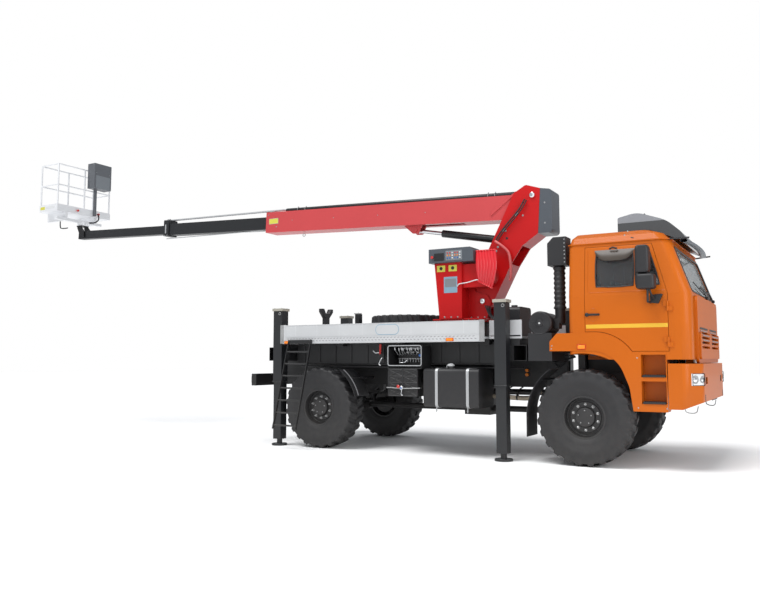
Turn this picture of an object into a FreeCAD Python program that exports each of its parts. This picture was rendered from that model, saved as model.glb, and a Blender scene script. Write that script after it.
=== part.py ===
"""A four by four truck with a slewing, two-arm telescopic lift and a work basket.

Axes: +X forward, +Y to the vehicle's left, +Z up, millimetres. X is counted from the front axle in every
sketch, and each body's Placement then carries it to the origin below the middle of the vehicle's box.
"""

import FreeCAD, Part
import math
import os
import re
import Sketcher

Vector = FreeCAD.Vector

# Driving dimensions, in millimetres and degrees
SIZES = {
    # where the vehicle stands
    "front_axle_x": 5280,
    "centre_plane_y": 96,
    # chassis
    "wheelbase": 4180,
    "track_half": 1025,
    "half_width": 1250,
    "rail_height": 220,
    "rail_flange": 80,
    "rail_wall": 8,
    "rail_outer_y": 430,
    "rail_top": 1200,
    "rail_front": 1150,
    "rail_tail": 5450,
    "sill_height": 160,
    "sill_width": 80,
    "sill_front": 700,
    # wheels
    "tyre_radius": 630,
    "tyre_width": 420,
    "rim_radius": 270,
    "lug_height": 24,
    "lug_count": 24,
    "lug_twist": 6.5,
    "crown_half": 12,
    "shoulder_drop": 15,
    "bead_half": 150,
    "flank_radius": 450,
    "rim_wall": 12,
    "hub_radius": 112,
    "hub_reach": 118,
    "spindle_radius": 60,
    "shaft_gap": 0.3,
    "axle_tube": 75,
    "diff_radius": 160,
    "kingpin_half": 840,
    "knuckle_ball": 120,
    "drum_radius": 195,
    # stabilisers
    "leg_x_front": 1115,
    "leg_x_rear": 4960,
    "beam_pitch": 215,
    "leg_tube": 170,
    "leg_wall": 9,
    "leg_tube_top": 2190,
    "leg_tube_foot": 1010,
    "leg_top": 1570,
    "pad_radius": 125,
    "pad_thick": 26,
    "beam_wide": 180,
    "beam_high": 200,
    "beam_reach": 1700,
    "housing_wall": 10,
    "housing_half": 1060,
    "slide_gap": 0.5,
    # deck
    "deck_front": 1350,
    "deck_rear": 4830,
    "deck_floor": 1700,
    "floor_thick": 30,
    "board_top": 1930,
    "board_foot": 1630,
    "board_thick": 25,
    "post_wide": 65,
    "post_proud": 6,
    "apron_front": 870,
    "apron_half": 1055,
    "apron_foot": 1720,
    "apron_thick": 20,
    "reserve_foot": 1700,
    "reserve_top": 2130,
    "reserve_near": 390,
    "reserve_wide": 480,
    "reserve_front": 960,
    "reserve_rear": 1290,
    # slewing column and arms
    "slew_x": 2130,
    "column_radius": 330,
    "slew_ring_radius": 410,
    "slew_ring_foot": 1930,
    "slew_ring_top": 1990,
    "base_pin_x": 1790,
    "base_pin_z": 2260,
    "arm_pin_radius": 45,
    "arm_length": 1789,
    "arm_angle": 62.7,
    "arm_half": 195,
    "cheek": 20,
    "boom_tilt": 2.4,
    "boom_length": 5030,
    "boom_root": 330,
    "boom_wide": 340,
    "boom_deep": 380,
    "boom_wall": 8,
    "mid_wide": 200,
    "mid_deep": 230,
    "mid_wall": 7,
    "mid_shown": 2560,
    "mid_length": 4850,
    "tip_wide": 150,
    "tip_deep": 175,
    "tip_shown": 2680,
    "tip_length": 5000,
    # wheels, rims and axles
    "rim_disc_y": 45,
    "hub_inner_y": 20,
    "bore_end": 85,
    "drum_near": 60,
    "drum_far": 130,
    "yoke_reach": 165,
    "yoke_wide": 90,
    "yoke_thick": 30,
    "kingpin_radius": 28,
    "spring_reach": 700,
    "spring_y": 385,
    "spring_wide": 76,
    "spring_top": 890,
    "leaf_thick": 22,
    "prop_radius": 45,
    "transfer_x": 1900,
    "transfer_size": 420,
    # engine and air filter
    "engine_front": 950,
    "engine_length": 1250,
    "engine_half": 320,
    "engine_foot": 800,
    "engine_top": 1560,
    # bumper, rear bar, ladder
    "bumper_front": 1440,
    "bumper_back": 1060,
    "bumper_foot": 770,
    "bumper_top": 1330,
    "bumper_wall": 8,
    "bar_front_x": 5600,
    "bar_rear_x": 5700,
    "bar_foot": 940,
    "bar_top": 1140,
    "jaw_reach": 110,
    "jaw_half": 60,
    "jaw_high": 110,
    "jaw_bore": 20,
    "ladder_x": 4490,
    "ladder_half": 217,
    "ladder_top": 1690,
    "ladder_foot": 310,
    "ladder_lean": 16,
    "ladder_rung": 14,
    "ladder_rail": 40,
    "rung_count": 7,
    # side fittings
    "tank_front": 1440,
    "tank_rear": 2300,
    "tank_foot": 700,
    "tank_top": 1250,
    "tank_deep": 560,
    "valve_front": 2330,
    "valve_rear": 2890,
    "valve_foot": 1245,
    "valve_top": 1585,
    "valve_deep": 320,
    "rack_foot": 840,
    "spare_x": 3400,
    "spare_y": 350,
    "rest_x": 4900,
    "rest_top": 2270,
    # cab
    "cab_back": 160,
    "cab_front": 1350,
    "cab_half": 1245,
    "cab_floor": 1380,
    "cab_belt": 2200,
    "cab_eave": 2890,
    "cab_roof": 3050,
    "cab_wall": 50,
    "cab_sheet": 6,
    "cab_corner": 120,
    "back_corner": 60,
    "rail_lip": 16,
    "shoulder_rise": 95,
    "shoulder_in": 45,
    "eave_half": 1160,
    "eave_front": 1110,
    "roof_half": 1000,
    "roof_front": 850,
    "tunnel_half": 400,
    "tunnel_top": 1600,
    "door_rear": 55,
    "door_front": 1085,
    "door_foot": 1480,
    "door_top": 2850,
    "door_gap": 5,
    "hinge_radius": 14,
    "hinge_high": 60,
    "window_rear": 200,
    "window_front": 1000,
    "window_foot": 2310,
    "window_top": 2760,
    "glass_thick": 6,
    "screen_half": 1040,
    "screen_foot": 2230,
    "screen_top": 2800,
    "arch_radius": 830,
    "arch_wide": 220,
    "arch_sheet": 40,
    "step_front": 1050,
    "step_rear": 745,
    # slewing column and arms, more
    "turret_half": 220,
    "turret_plate": 18,
    "console_front": 1790,
    "console_rear": 2540,
    "turret_rise": 610,
    "console_high": 220,
    "ram_seat_x": 1032,
    "ram_seat_z": 72,
    "ram_eye_x": 2030,
    "ram_eye_drop": 422,
    "ram_radius": 60,
    "rod_radius": 32,
    "ram_barrel": 1200,
    "rod_length": 1340,
    "ram_eye": 40,
    "boom_drop": 155,
    "head_collar": 140,
    "level_reach": 10360,
    "level_radius": 30,
    "hose_tube": 42,
    "turn_x": 120,
    "turn_radius": 50,
    "turn_foot": 220,
    "turn_top": 330,
    # small fittings
    "slot_half": 55,
    "post_rest_x": 4220,
    "bar_half": 1000,
    "guard_radius": 720,
    "guard_reach": 750,
    "guard_sheet": 8,
    "intake_rear": 500,
    "intake_front": 240,
    "intake_foot": 2660,
    "intake_y": 900,
    "intake_half": 120,
    "hose_radius": 70,
    "hose_ridge": 12,
    "bellows_foot": 2060,
    "bellows_count": 9,
    "canister_edge": 18,
    "filler_radius": 45,
    "filler_high": 35,
    "canister_x": 590,
    "canister_z": 1870,
    "canister_radius": 165,
    "canister_half": 230,
    # cab fittings
    "arch_top": 1735,
    "arch_flat": 450,
    "arch_knee": 640,
    "door_head": 900,
    "window_bar": 22,
    "glass_inset": 20,
    "glass_lap": 8,
    "roof_shrink": 60,
    "flap_half": 1000,
    "flap_thick": 40,
    "grille_block": 1720,
    "grille_out": 25,
    "bumper_curve": 110,
    "bumper_rake": 110,
    "port_y": 760,
    "port_half": 85,
    "port_foot": 1075,
    "port_high": 85,
    "grille_foot": 1580,
    "grille_pitch": 60,
    "grille_slot": 30,
    "lamp_y": 1090,
    "lamp_half": 100,
    "lamp_foot": 1060,
    "lamp_high": 150,
    "arch_back": 420,
    "arch_inner": 1490,
    "arch_crown_x": 420,
    "arch_bend": 430,
    "arch_foot_x": 640,
    "arch_foot": 735,
    "step_lift": 95,
    "step_pitch": 330,
    "step_high": 280,
    "flap_foot": 350,
    "flap_rubber": 10,
    "seat_back_x": 0,
    "seat_front_x": 560,
    "seat_top": 1880,
    "seat_head": 2560,
    "dash_rear": 950,
    "dash_top": 2200,
    "steer_radius": 220,
    "steer_grip": 15,
    "steer_lean": 40,
    "steer_y": 700,
    "mirror_x": 790,
    "mirror_thick": 90,
    "mirror_foot": 2450,
    "mirror_top": 2790,
    "mirror_low_foot": 2260,
    "mirror_low_top": 2420,
    "visor_rear": 440,
    "visor_front": 1270,
    "visor_drop": 2900,
    "visor_top": 3300,
    "visor_half": 950,
    # arms, more
    "arm_tail": 150,
    "arm_low": 150,
    "arm_high": 300,
    "shaft_boss": 12,
    "ram_slack": 2,
    "ear_gap": 66,
    "ear_slot": 850,
    "console_inner": 205,
    "console_wide": 370,
    "pedestal_front": 2020,
    "pedestal_rear": 2480,
    "pedestal_foot_rear": 2400,
    "pedestal_y": 490,
    "tube_inset": 22,
    "drum_front": 1500,
    "drum_foot": 2480,
    "drum_top": 2840,
    "drum_bend": 165,
    "drum_inner": 280,
    "drum_rib": 22,
    "drum_groove": 14,
    "rib_count": 5,
    "control_deep": 230,
    "control_wide": 460,
    # basket
    "basket_long": 1400,
    "basket_deep": 600,
    "basket_high": 1030,
    "floor_lift": 461.3,
    "basket_reach": 46.9,
    "rail_tube": 17,
    "cross_tube": 15,
    "toe_board": 150,
}


class Model:
    """The document, its sheet of sizes and the few ways in which the vehicle's bodies are made."""

    def __init__(self):
        self.doc = FreeCAD.newDocument("CherryPickerTruck")
        self.sheet = self.doc.addObject("Spreadsheet::Sheet", "Sizes")
        for row, (name, size) in enumerate(SIZES.items(), start=1):
            self.sheet.set(f"A{row}", name)
            self.sheet.set(f"B{row}", str(size))
            self.sheet.setAlias(f"B{row}", name)
        self.doc.recompute()
        self.nodes = []

    def formula(self, text):
        """A formula in the sheet's plain names, as the expression engine reads it."""
        return re.sub(r"[a-z_]\w*", lambda m: f"Sizes.{m[0]}" if m[0] in SIZES else m[0], str(text))

    def value(self, text):
        found = self.sheet.evalExpression(self.formula(text))
        return float(getattr(found, "Value", found))

    def bind(self, item, prop, text):
        item.setExpression(prop, self.formula(text))

    def place(self, item, at, turn=None):
        """Bind an object's Placement: a point in vehicle coordinates and, if given, (axis, angle)."""
        axis, angle = turn or ("0; 0; 1", "0")
        spot = f"vector(front_axle_x + {at[0]}; centre_plane_y + {at[1]}; {at[2]})"
        self.bind(item, "Placement", f"placement({spot}; rotation(vector({axis}); {angle}))")

    def node(self, item, label):
        item.Label = label
        self.nodes.append(item)
        return item

    def body(self, name, at=("0", "0", "0"), turn=None):
        body = self.doc.addObject("PartDesign::Body", name)
        self.place(body, at, turn)
        return body

    def sketch(self, body, plane, level):
        """An empty sketch on one of the body's origin planes, moved along X, Y or Z to level."""
        origin = [f for f in body.Origin.OriginFeatures if f.Role == plane][0]
        sketch = body.newObject("Sketcher::SketchObject", body.Name + "Sketch")
        sketch.AttachmentSupport = [(origin, "")]
        sketch.MapMode = "FlatFace"
        sign = "-1" if plane == "XZ_Plane" else "1"
        self.bind(sketch, "AttachmentOffset.Base.z", f"{sign} * ({level})")
        return sketch

    def outline(self, sketch, corners):
        """Close a polygon through corners. A corner with a third entry gets an arc of that radius."""
        spots = [Vector(self.value(c[0]), self.value(c[1]), 0) for c in corners]
        radii = [self.value(c[2]) if len(c) > 2 else 0 for c in corners]
        count = len(corners)
        cuts = []
        for i, spot in enumerate(spots):
            back = (spots[i - 1] - spot).normalize()
            ahead = (spots[(i + 1) % count] - spot).normalize()
            half = back.getAngle(ahead) / 2
            trim = radii[i] / math.tan(half) if radii[i] else 0
            turn = back.cross(ahead).z
            cuts.append((spot + back * trim, spot + ahead * trim, turn, (back + ahead), half))
        first = sketch.GeometryCount
        for i in range(count):
            line = Part.LineSegment(cuts[i][1], cuts[(i + 1) % count][0])
            sketch.addGeometry(line, False)
        for i, (start, end, turn, middle, half) in enumerate(cuts):
            before = first + (i - 1) % count
            after = first + i
            if not radii[i]:
                sketch.addConstraint(Sketcher.Constraint("Coincident", before, 2, after, 1))
                self.pin_point(sketch, after, 1, corners[i])
                continue
            centre = spots[i] + middle.normalize() * (radii[i] / math.sin(half))
            begin, finish = (start, end) if turn < 0 else (end, start)
            angles = [math.atan2(p.y - centre.y, p.x - centre.x) for p in (begin, finish)]
            ring = Part.Circle(centre, Vector(0, 0, 1), radii[i])
            arc = sketch.addGeometry(Part.ArcOfCircle(ring, angles[0], angles[1]), False)
            ends = (1, 2) if turn < 0 else (2, 1)
            sketch.addConstraint(Sketcher.Constraint("Tangent", before, 2, arc, ends[0]))
            sketch.addConstraint(Sketcher.Constraint("Tangent", after, 1, arc, ends[1]))
            held = sketch.addConstraint(Sketcher.Constraint("Radius", arc, radii[i]))
            self.bind(sketch, f"Constraints[{held}]", corners[i][2])
            mark = sketch.addGeometry(Part.Point(spots[i]), True)
            sketch.addConstraint(Sketcher.Constraint("PointOnObject", mark, 1, before))
            sketch.addConstraint(Sketcher.Constraint("PointOnObject", mark, 1, after))
            self.pin_point(sketch, mark, 1, corners[i])

    def pin_point(self, sketch, geometry, end, corner):
        for kind, text in (("DistanceX", corner[0]), ("DistanceY", corner[1])):
            size = self.value(text)
            held = sketch.addConstraint(Sketcher.Constraint(kind, -1, 1, geometry, end, size))
            self.bind(sketch, f"Constraints[{held}]", text)

    def ring(self, sketch, centre, radius):
        spot = Vector(self.value(centre[0]), self.value(centre[1]), 0)
        circle = sketch.addGeometry(Part.Circle(spot, Vector(0, 0, 1), self.value(radius)), False)
        held = sketch.addConstraint(Sketcher.Constraint("Radius", circle, self.value(radius)))
        self.bind(sketch, f"Constraints[{held}]", radius)
        self.pin_point(sketch, circle, 3, centre)

    def draw(self, sketch, shapes):
        """Shapes are lists of corners, or (centre, radius) for a circle."""
        for shape in shapes:
            if isinstance(shape, tuple):
                self.ring(sketch, *shape)
            else:
                self.outline(sketch, shape)

    def pad(self, body, plane, shapes, low, high):
        """Add the solid between two levels along the plane's normal."""
        level = low if plane != "XZ_Plane" else high
        sketch = self.sketch(body, plane, level)
        self.draw(sketch, shapes)
        pad = body.newObject("PartDesign::Pad", body.Name + "Pad")
        pad.Profile = sketch
        self.bind(pad, "Length", f"({high}) - ({low})")
        return pad

    def loft(self, body, plane, stations):
        """Add the straight-sided solid through outlines with the same corners, each with its level."""
        sections = []
        for level, corners in stations:
            sketch = self.sketch(body, plane, level)
            self.outline(sketch, corners)
            sections.append(sketch)
        loft = body.newObject("PartDesign::AdditiveLoft", body.Name + "Loft")
        loft.Profile = sections[0]
        loft.Sections = sections[1:]
        loft.Ruled = True
        return loft

    def pocket(self, body, plane, shapes, low, high):
        """Cut the space between two levels along the plane's normal, and make sure that it cut."""
        self.doc.recompute()
        before = body.Shape.Volume
        level = high if plane != "XZ_Plane" else low
        sketch = self.sketch(body, plane, level)
        self.draw(sketch, shapes)
        pocket = body.newObject("PartDesign::Pocket", body.Name + "Pocket")
        pocket.Profile = sketch
        self.bind(pocket, "Length", f"({high}) - ({low})")
        self.doc.recompute()
        if not body.Shape.Volume < before:
            raise RuntimeError(f"{body.Name}: a pocket cut nothing")
        return pocket

    def turned(self, body, corners, axis="H_Axis", plane="YZ_Plane"):
        """Add a full revolution of a profile about one of its sketch's axes."""
        sketch = self.sketch(body, plane, "0")
        self.outline(sketch, corners)
        feature = body.newObject("PartDesign::Revolution", body.Name + "Turned")
        feature.Profile = sketch
        feature.ReferenceAxis = (sketch, [axis])
        feature.Angle = 360
        return feature

    def box(self, low, high):
        """A Part::Box between two opposite corners in vehicle coordinates."""
        box = self.doc.addObject("Part::Box", "Block")
        for prop, a, b in zip(("Length", "Width", "Height"), low, high):
            self.bind(box, prop, f"({b}) - ({a})")
        self.place(box, low)
        return box

    def cylinder(self, at, radius, length, turn=None):
        rod = self.doc.addObject("Part::Cylinder", "Rod")
        self.bind(rod, "Radius", radius)
        self.bind(rod, "Height", length)
        self.place(rod, at, turn)
        return rod

    def fuse(self, items):
        joined = self.doc.addObject("Part::MultiFuse", "Joined")
        joined.Shapes = items
        joined.Refine = True
        return joined

    def cut(self, base, tool):
        left = self.doc.addObject("Part::Cut", "Cut")
        left.Base = base
        left.Tool = tool
        return left

    def common(self, first, second):
        shared = self.doc.addObject("Part::Common", "Common")
        shared.Base = first
        shared.Tool = second
        return shared

    def group(self, items):
        """Several solids that don't touch, kept as one node."""
        group = self.doc.addObject("Part::Compound", "Group")
        group.Links = items
        return group

    def export(self):
        self.doc.recompute()
        failed = [o.Label for o in self.doc.Objects if {"Invalid", "Error"} & set(o.State)]
        empty = [n.Label for n in self.nodes if n.Shape.isNull() or not n.Shape.isValid()]
        if failed or empty:
            raise RuntimeError(f"not recomputed: {failed}; no valid shape: {empty}")
        os.makedirs("parts", exist_ok=True)
        for node in self.nodes:
            node.Shape.exportStep(f"parts/{node.Label}.step")
        print(len(self.nodes), "nodes written")


ALONG_X = ("0; 1; 0", "90")
ALONG_Y = ("1; 0; 0", "-90")
RIGHT, LEFT = -1, 1
SIDE_NAMES = {RIGHT: "right", LEFT: "left"}


def span(side, inner, outer):
    """Low and high Y of something that reaches from inner to outer on one side."""
    return (inner, outer) if side == LEFT else (f"-({outer})", f"-({inner})")


def rectangle(low, high, radius=None):
    corners = [(low[0], low[1]), (high[0], low[1]), (high[0], high[1]), (low[0], high[1])]
    return [c + (radius,) for c in corners] if radius else corners


# Places that several sub-parts share, as formulas in the sheet's names
KNUCKLE_X = "(-base_pin_x + arm_length * cos(arm_angle))"
KNUCKLE_Z = "(base_pin_z + arm_length * sin(arm_angle))"
SILL_TOP = "(rail_top + sill_height)"
BEAM_FOOT = f"({SILL_TOP} + housing_wall + slide_gap)"
HOUSING_TOP = "(rail_top + sill_height + 2 * housing_wall + beam_high + 2 * slide_gap)"
LEG_Y = "(half_width - leg_tube / 2)"
LEG_HALF = "(leg_tube / 2 - leg_wall - slide_gap)"
REAR_AXLE_X = "(-wheelbase)"
RAIL_INNER_Y = "(rail_outer_y - rail_flange)"
RAIL_FOOT = "(rail_top - rail_height)"
ARM_TURN = ("0; 1; 0", "-arm_angle")
BOOM_TURN = ("0; 1; 0", "boom_tilt")
BOOM_AT = (KNUCKLE_X, "0", KNUCKLE_Z)


def leg_x(end, side):
    """The middle of a stabiliser leg: both beams of an end share one housing, the left one further from
    the deck."""
    shift = {"front": " + beam_pitch", "rear": " - beam_pitch"}[end] if side == LEFT else ""
    return f"(-leg_x_{end}{shift})"


def housing_span(end):
    """The two beams' middles of one end, the rearmost first."""
    sides = (RIGHT, LEFT) if end == "front" else (LEFT, RIGHT)
    return [leg_x(end, side) for side in sides]


def tyre_ring(model, y, radii, phase=0.0):
    """Points round the axle at one Y: the radii in turn, spread evenly over the pitch of one lug."""
    lugs = int(model.value("lug_count"))
    steps = lugs * len(radii)
    spots = []
    for i in range(steps):
        angle = 2 * math.pi * (i / steps) + phase
        radius = radii[i % len(radii)]
        spots.append((angle, Vector(radius * math.sin(angle), y, radius * math.cos(angle))))
    return spots


def skin(ring, next_ring, points, facets):
    """Triangles between two rings of points that turn the same way, in step with their angles."""
    first = len(points)
    points.extend(spot for _, spot in ring + next_ring)
    i = j = 0
    count, next_count = len(ring), len(next_ring)
    start = first + count
    while i < count or j < next_count:
        ahead = ring[0][0] + 2 * math.pi if i + 1 >= count else ring[i + 1][0]
        next_ahead = next_ring[0][0] + 2 * math.pi if j + 1 >= next_count else next_ring[j + 1][0]
        a = first + i % count
        b = start + j % next_count
        if j >= next_count or (i < count and ahead <= next_ahead):
            facets.append((a, first + (i + 1) % count, b))
            i += 1
        else:
            facets.append((a, start + (j + 1) % next_count, b))
            j += 1


def make_tyre(model):
    """One lugged tyre about the Y axis, as flat facets between rings of points.

    Each row has a lug in every pitch. The lugs lean back from the crown to the shoulder, and the two rows
    are half a pitch out of step.
    """
    top = model.value("tyre_radius")
    floor = model.value("tyre_radius - lug_height")
    half = model.value("tyre_width / 2")
    crown = model.value("crown_half")
    pitch = 2 * math.pi / model.value("lug_count")
    twist = math.radians(model.value("lug_twist"))
    lug = [top, top, floor, floor]
    flank = model.value("flank_radius")
    shoulder = model.value("tyre_radius - shoulder_drop")
    bead = model.value("rim_radius")
    bead_y = model.value("bead_half")
    rings = [
        tyre_ring(model, -bead_y, [bead]),
        tyre_ring(model, -half, [flank, flank]),
        tyre_ring(model, -half, [shoulder, shoulder, floor, floor], -twist - pitch / 4),
        tyre_ring(model, -crown, lug, -pitch / 4),
        tyre_ring(model, 0.0, [floor]),
        tyre_ring(model, crown, lug, pitch / 4),
        tyre_ring(model, half, [shoulder, shoulder, floor, floor], -twist + pitch / 4),
        tyre_ring(model, half, [flank, flank]),
        tyre_ring(model, bead_y, [bead]),
    ]
    points, facets = [], []
    for ring, next_ring in zip(rings, rings[1:] + rings[:1]):
        skin(ring, next_ring, points, facets)
    form = Part.Shape()
    form.makeShapeFromMesh((points, facets), model.value("slide_gap") / 100)
    solid = Part.Solid(form.Shells[0])
    tyre = model.doc.addObject("Part::Feature", "TyreForm")
    tyre.Shape = solid if solid.Volume > 0 else solid.reversed()
    return tyre


def make_rim(model):
    """A wheel about the Y axis, its outside towards +Y: barrel, dished disc and bored hub."""
    rim = model.doc.addObject("PartDesign::Body", "RimForm")
    inside = "rim_radius - rim_wall"
    seat = "(rim_radius * cos(180 / lug_count) - shaft_gap)"
    profile = [
        ("-bead_half - rim_wall", inside),
        ("-bead_half - rim_wall", f"{seat} + rim_wall"),
        ("-bead_half - rim_wall / 2", f"{seat} + rim_wall"),
        ("-bead_half", seat),
        ("bead_half", seat),
        ("bead_half + rim_wall / 2", f"{seat} + rim_wall"),
        ("bead_half + rim_wall", f"{seat} + rim_wall"),
        ("bead_half + rim_wall", inside),
        ("rim_disc_y + rim_wall", inside),
        ("rim_disc_y + rim_wall + hub_inner_y", "hub_radius"),
        ("hub_reach", "hub_radius - rim_wall"),
        ("hub_reach", "0"),
        ("bore_end", "0"),
        ("bore_end", "spindle_radius + shaft_gap"),
        ("-hub_inner_y", "spindle_radius + shaft_gap"),
        ("-hub_inner_y", "hub_radius"),
        ("hub_inner_y", "hub_radius"),
        ("rim_disc_y", inside),
    ]
    model.turned(rim, profile)
    return rim


def make_wheels(model):
    """Four road wheels and the spare: tyre and rim are nodes of their own."""
    tyre, rim = make_tyre(model), make_rim(model)
    for end, x in (("front", "0"), ("rear", REAR_AXLE_X)):
        for side in (RIGHT, LEFT):
            at = (x, f"{side} * track_half", "tyre_radius")
            turn = ("0; 0; 1", "0") if side == LEFT else ("0; 0; 1", "180")
            for form, name in ((tyre, "tyre"), (rim, "rim")):
                copy = model.group([form])
                model.place(copy, at, turn)
                model.node(copy, f"{name}_{end}_{SIDE_NAMES[side]}")
    spare = model.fuse([tyre, rim])
    at = ("-spare_x", "spare_y", "deck_floor + tyre_width / 2")
    model.place(spare, at, ("1; 0; 0", "90"))
    model.node(spare, "spare_wheel")


def make_axle(model, name, x, outer, nose_x):
    """A driven axle: tube with a round gear case and a nose, spring seats and two leaf springs.

    The outer half of the tube's outline is given from the middle outwards.
    """
    beam = model.body(name + "Beam", (x, "0", "tyre_radius"))
    half = [
        ("diff_radius * 0.4", "diff_radius"),
        ("diff_radius * 0.85", "diff_radius * 0.8"),
        ("diff_radius * 1.1", "axle_tube"),
    ] + outer
    profile = [(f"-({half[-1][0]})", "0")]
    profile += [(f"-({y})", r) for y, r in reversed(half)]
    profile += half
    profile += [(half[-1][0], "0")]
    model.turned(beam, profile)
    reach = "diff_radius + prop_radius * 2"
    nose = model.cylinder((nose_x, "0", "tyre_radius"), "prop_radius * 1.6", reach, ALONG_X)
    items = [beam, nose]
    for side in (RIGHT, LEFT):
        low, high = span(side, "spring_y - spring_wide / 2", "spring_y + spring_wide / 2")
        pack = model.body(f"{name}Spring")
        level = "tyre_radius + axle_tube * 2"
        top = "spring_top - leaf_thick"
        corners = [
            (f"{x} - spring_reach", top),
            (f"{x} - spring_reach * 0.55", f"{level} + leaf_thick"),
            (f"{x} - axle_tube", level),
            (f"{x} - axle_tube", "tyre_radius"),
            (f"{x} + axle_tube", "tyre_radius"),
            (f"{x} + axle_tube", level),
            (f"{x} + spring_reach * 0.55", f"{level} + leaf_thick"),
            (f"{x} + spring_reach", top),
            (f"{x} + spring_reach", "spring_top"),
            (f"{x} + spring_reach * 0.5", f"{level} + leaf_thick * 3"),
            (f"{x} - spring_reach * 0.5", f"{level} + leaf_thick * 3"),
            (f"{x} - spring_reach", "spring_top"),
        ]
        model.pad(pack, "XZ_Plane", [corners], low, high)
        items.append(pack)
    return model.fuse(items)


def make_running_gear(model):
    """Both axles with their springs, the steered knuckles, transfer case and propeller shafts."""
    rear = [
        ("kingpin_half + drum_near", "axle_tube"),
        ("kingpin_half + drum_near", "drum_radius"),
        ("kingpin_half + drum_far", "drum_radius"),
        ("kingpin_half + drum_far", "spindle_radius"),
        ("track_half + bore_end - shaft_gap", "spindle_radius"),
    ]
    model.node(make_axle(model, "RearAxle", REAR_AXLE_X, rear, REAR_AXLE_X), "rear_axle")
    front = [
        ("kingpin_half - knuckle_ball", "axle_tube"),
        ("kingpin_half - knuckle_ball * 0.75", "knuckle_ball * 0.7"),
        ("kingpin_half - knuckle_ball * 0.35", "knuckle_ball"),
        ("kingpin_half + knuckle_ball * 0.35", "knuckle_ball"),
        ("kingpin_half + knuckle_ball * 0.75", "knuckle_ball * 0.7"),
        ("kingpin_half + knuckle_ball", "knuckle_ball * 0.3"),
    ]
    axle = make_axle(model, "FrontAxle", "0", front, "-diff_radius - prop_radius * 2")
    ports = [
        model.cylinder(
            ("0", f"{side} * kingpin_half", "tyre_radius - yoke_reach"),
            "kingpin_radius + shaft_gap",
            "2 * yoke_reach",
        )
        for side in (RIGHT, LEFT)
    ]
    model.node(model.cut(model.cut(axle, ports[0]), ports[1]), "front_axle")
    for side in (RIGHT, LEFT):
        make_knuckle(model, side)
    make_driveline(model)


def make_knuckle(model, side):
    """A steered knuckle: kingpin, two yoke arms round the ball, brake drum and spindle."""
    at = ("0", f"{side} * kingpin_half", "tyre_radius")
    turn = ("0; 0; 1", "0") if side == LEFT else ("0; 0; 1", "180")
    drum = model.body("KnuckleDrum", at, turn)
    profile = [
        ("drum_near + yoke_wide", "0"),
        ("drum_near + yoke_wide", "drum_radius"),
        ("drum_far + yoke_thick", "drum_radius"),
        ("drum_far + yoke_thick", "spindle_radius"),
        ("track_half - kingpin_half + bore_end - shaft_gap", "spindle_radius"),
        ("track_half - kingpin_half + bore_end - shaft_gap", "0"),
    ]
    model.turned(drum, profile)
    items = [drum]
    for step in ("yoke_reach - yoke_thick", "-yoke_reach"):
        arm = model.body("KnuckleArm", at, turn)
        corners = [
            ("-yoke_wide / 2", "-yoke_wide / 2"),
            ("yoke_wide / 2", "-yoke_wide / 2"),
            ("yoke_wide / 2", "drum_near + yoke_wide"),
            ("-yoke_wide / 2", "drum_near + yoke_wide"),
        ]
        model.pad(arm, "XY_Plane", [corners], step, f"{step} + yoke_thick")
        items.append(arm)
    pin_foot = ("0", f"{side} * kingpin_half", "tyre_radius - yoke_reach")
    items.append(model.cylinder(pin_foot, "kingpin_radius", "2 * yoke_reach"))
    model.node(model.fuse(items), f"knuckle_{SIDE_NAMES[side]}")


def make_driveline(model):
    """The transfer case between the rails with a shaft to each axle."""
    low = "tyre_radius - prop_radius * 2"
    front = "-transfer_x + transfer_size / 2"
    rear = "-transfer_x - transfer_size / 2"
    case = model.box((rear, "-transfer_size / 2", low), (front, "transfer_size / 2", RAIL_FOOT))
    hanger = model.box(
        (rear, f"-{RAIL_INNER_Y}", RAIL_FOOT), (front, RAIL_INNER_Y, f"{RAIL_FOOT} + cab_wall")
    )
    nose = "diff_radius + prop_radius * 2"
    ahead = model.cylinder(
        (front, "0", "tyre_radius"), "prop_radius", f"-({nose}) - ({front})", ALONG_X
    )
    tail = f"({REAR_AXLE_X} + {nose})"
    behind = model.cylinder((tail, "0", "tyre_radius"), "prop_radius", f"({rear}) - {tail}", ALONG_X)
    engine_rear = "engine_front - engine_length"
    engine = model.box(
        (engine_rear, "-engine_half", "engine_foot"), ("engine_front", "engine_half", "engine_top")
    )
    drive_at = (front, "0", "engine_foot + prop_radius * 2")
    drive = model.cylinder(drive_at, "prop_radius", f"{engine_rear} - ({front})", ALONG_X)
    model.node(model.fuse([case, hanger, ahead, behind, drive, engine]), "engine_and_driveline")


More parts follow.
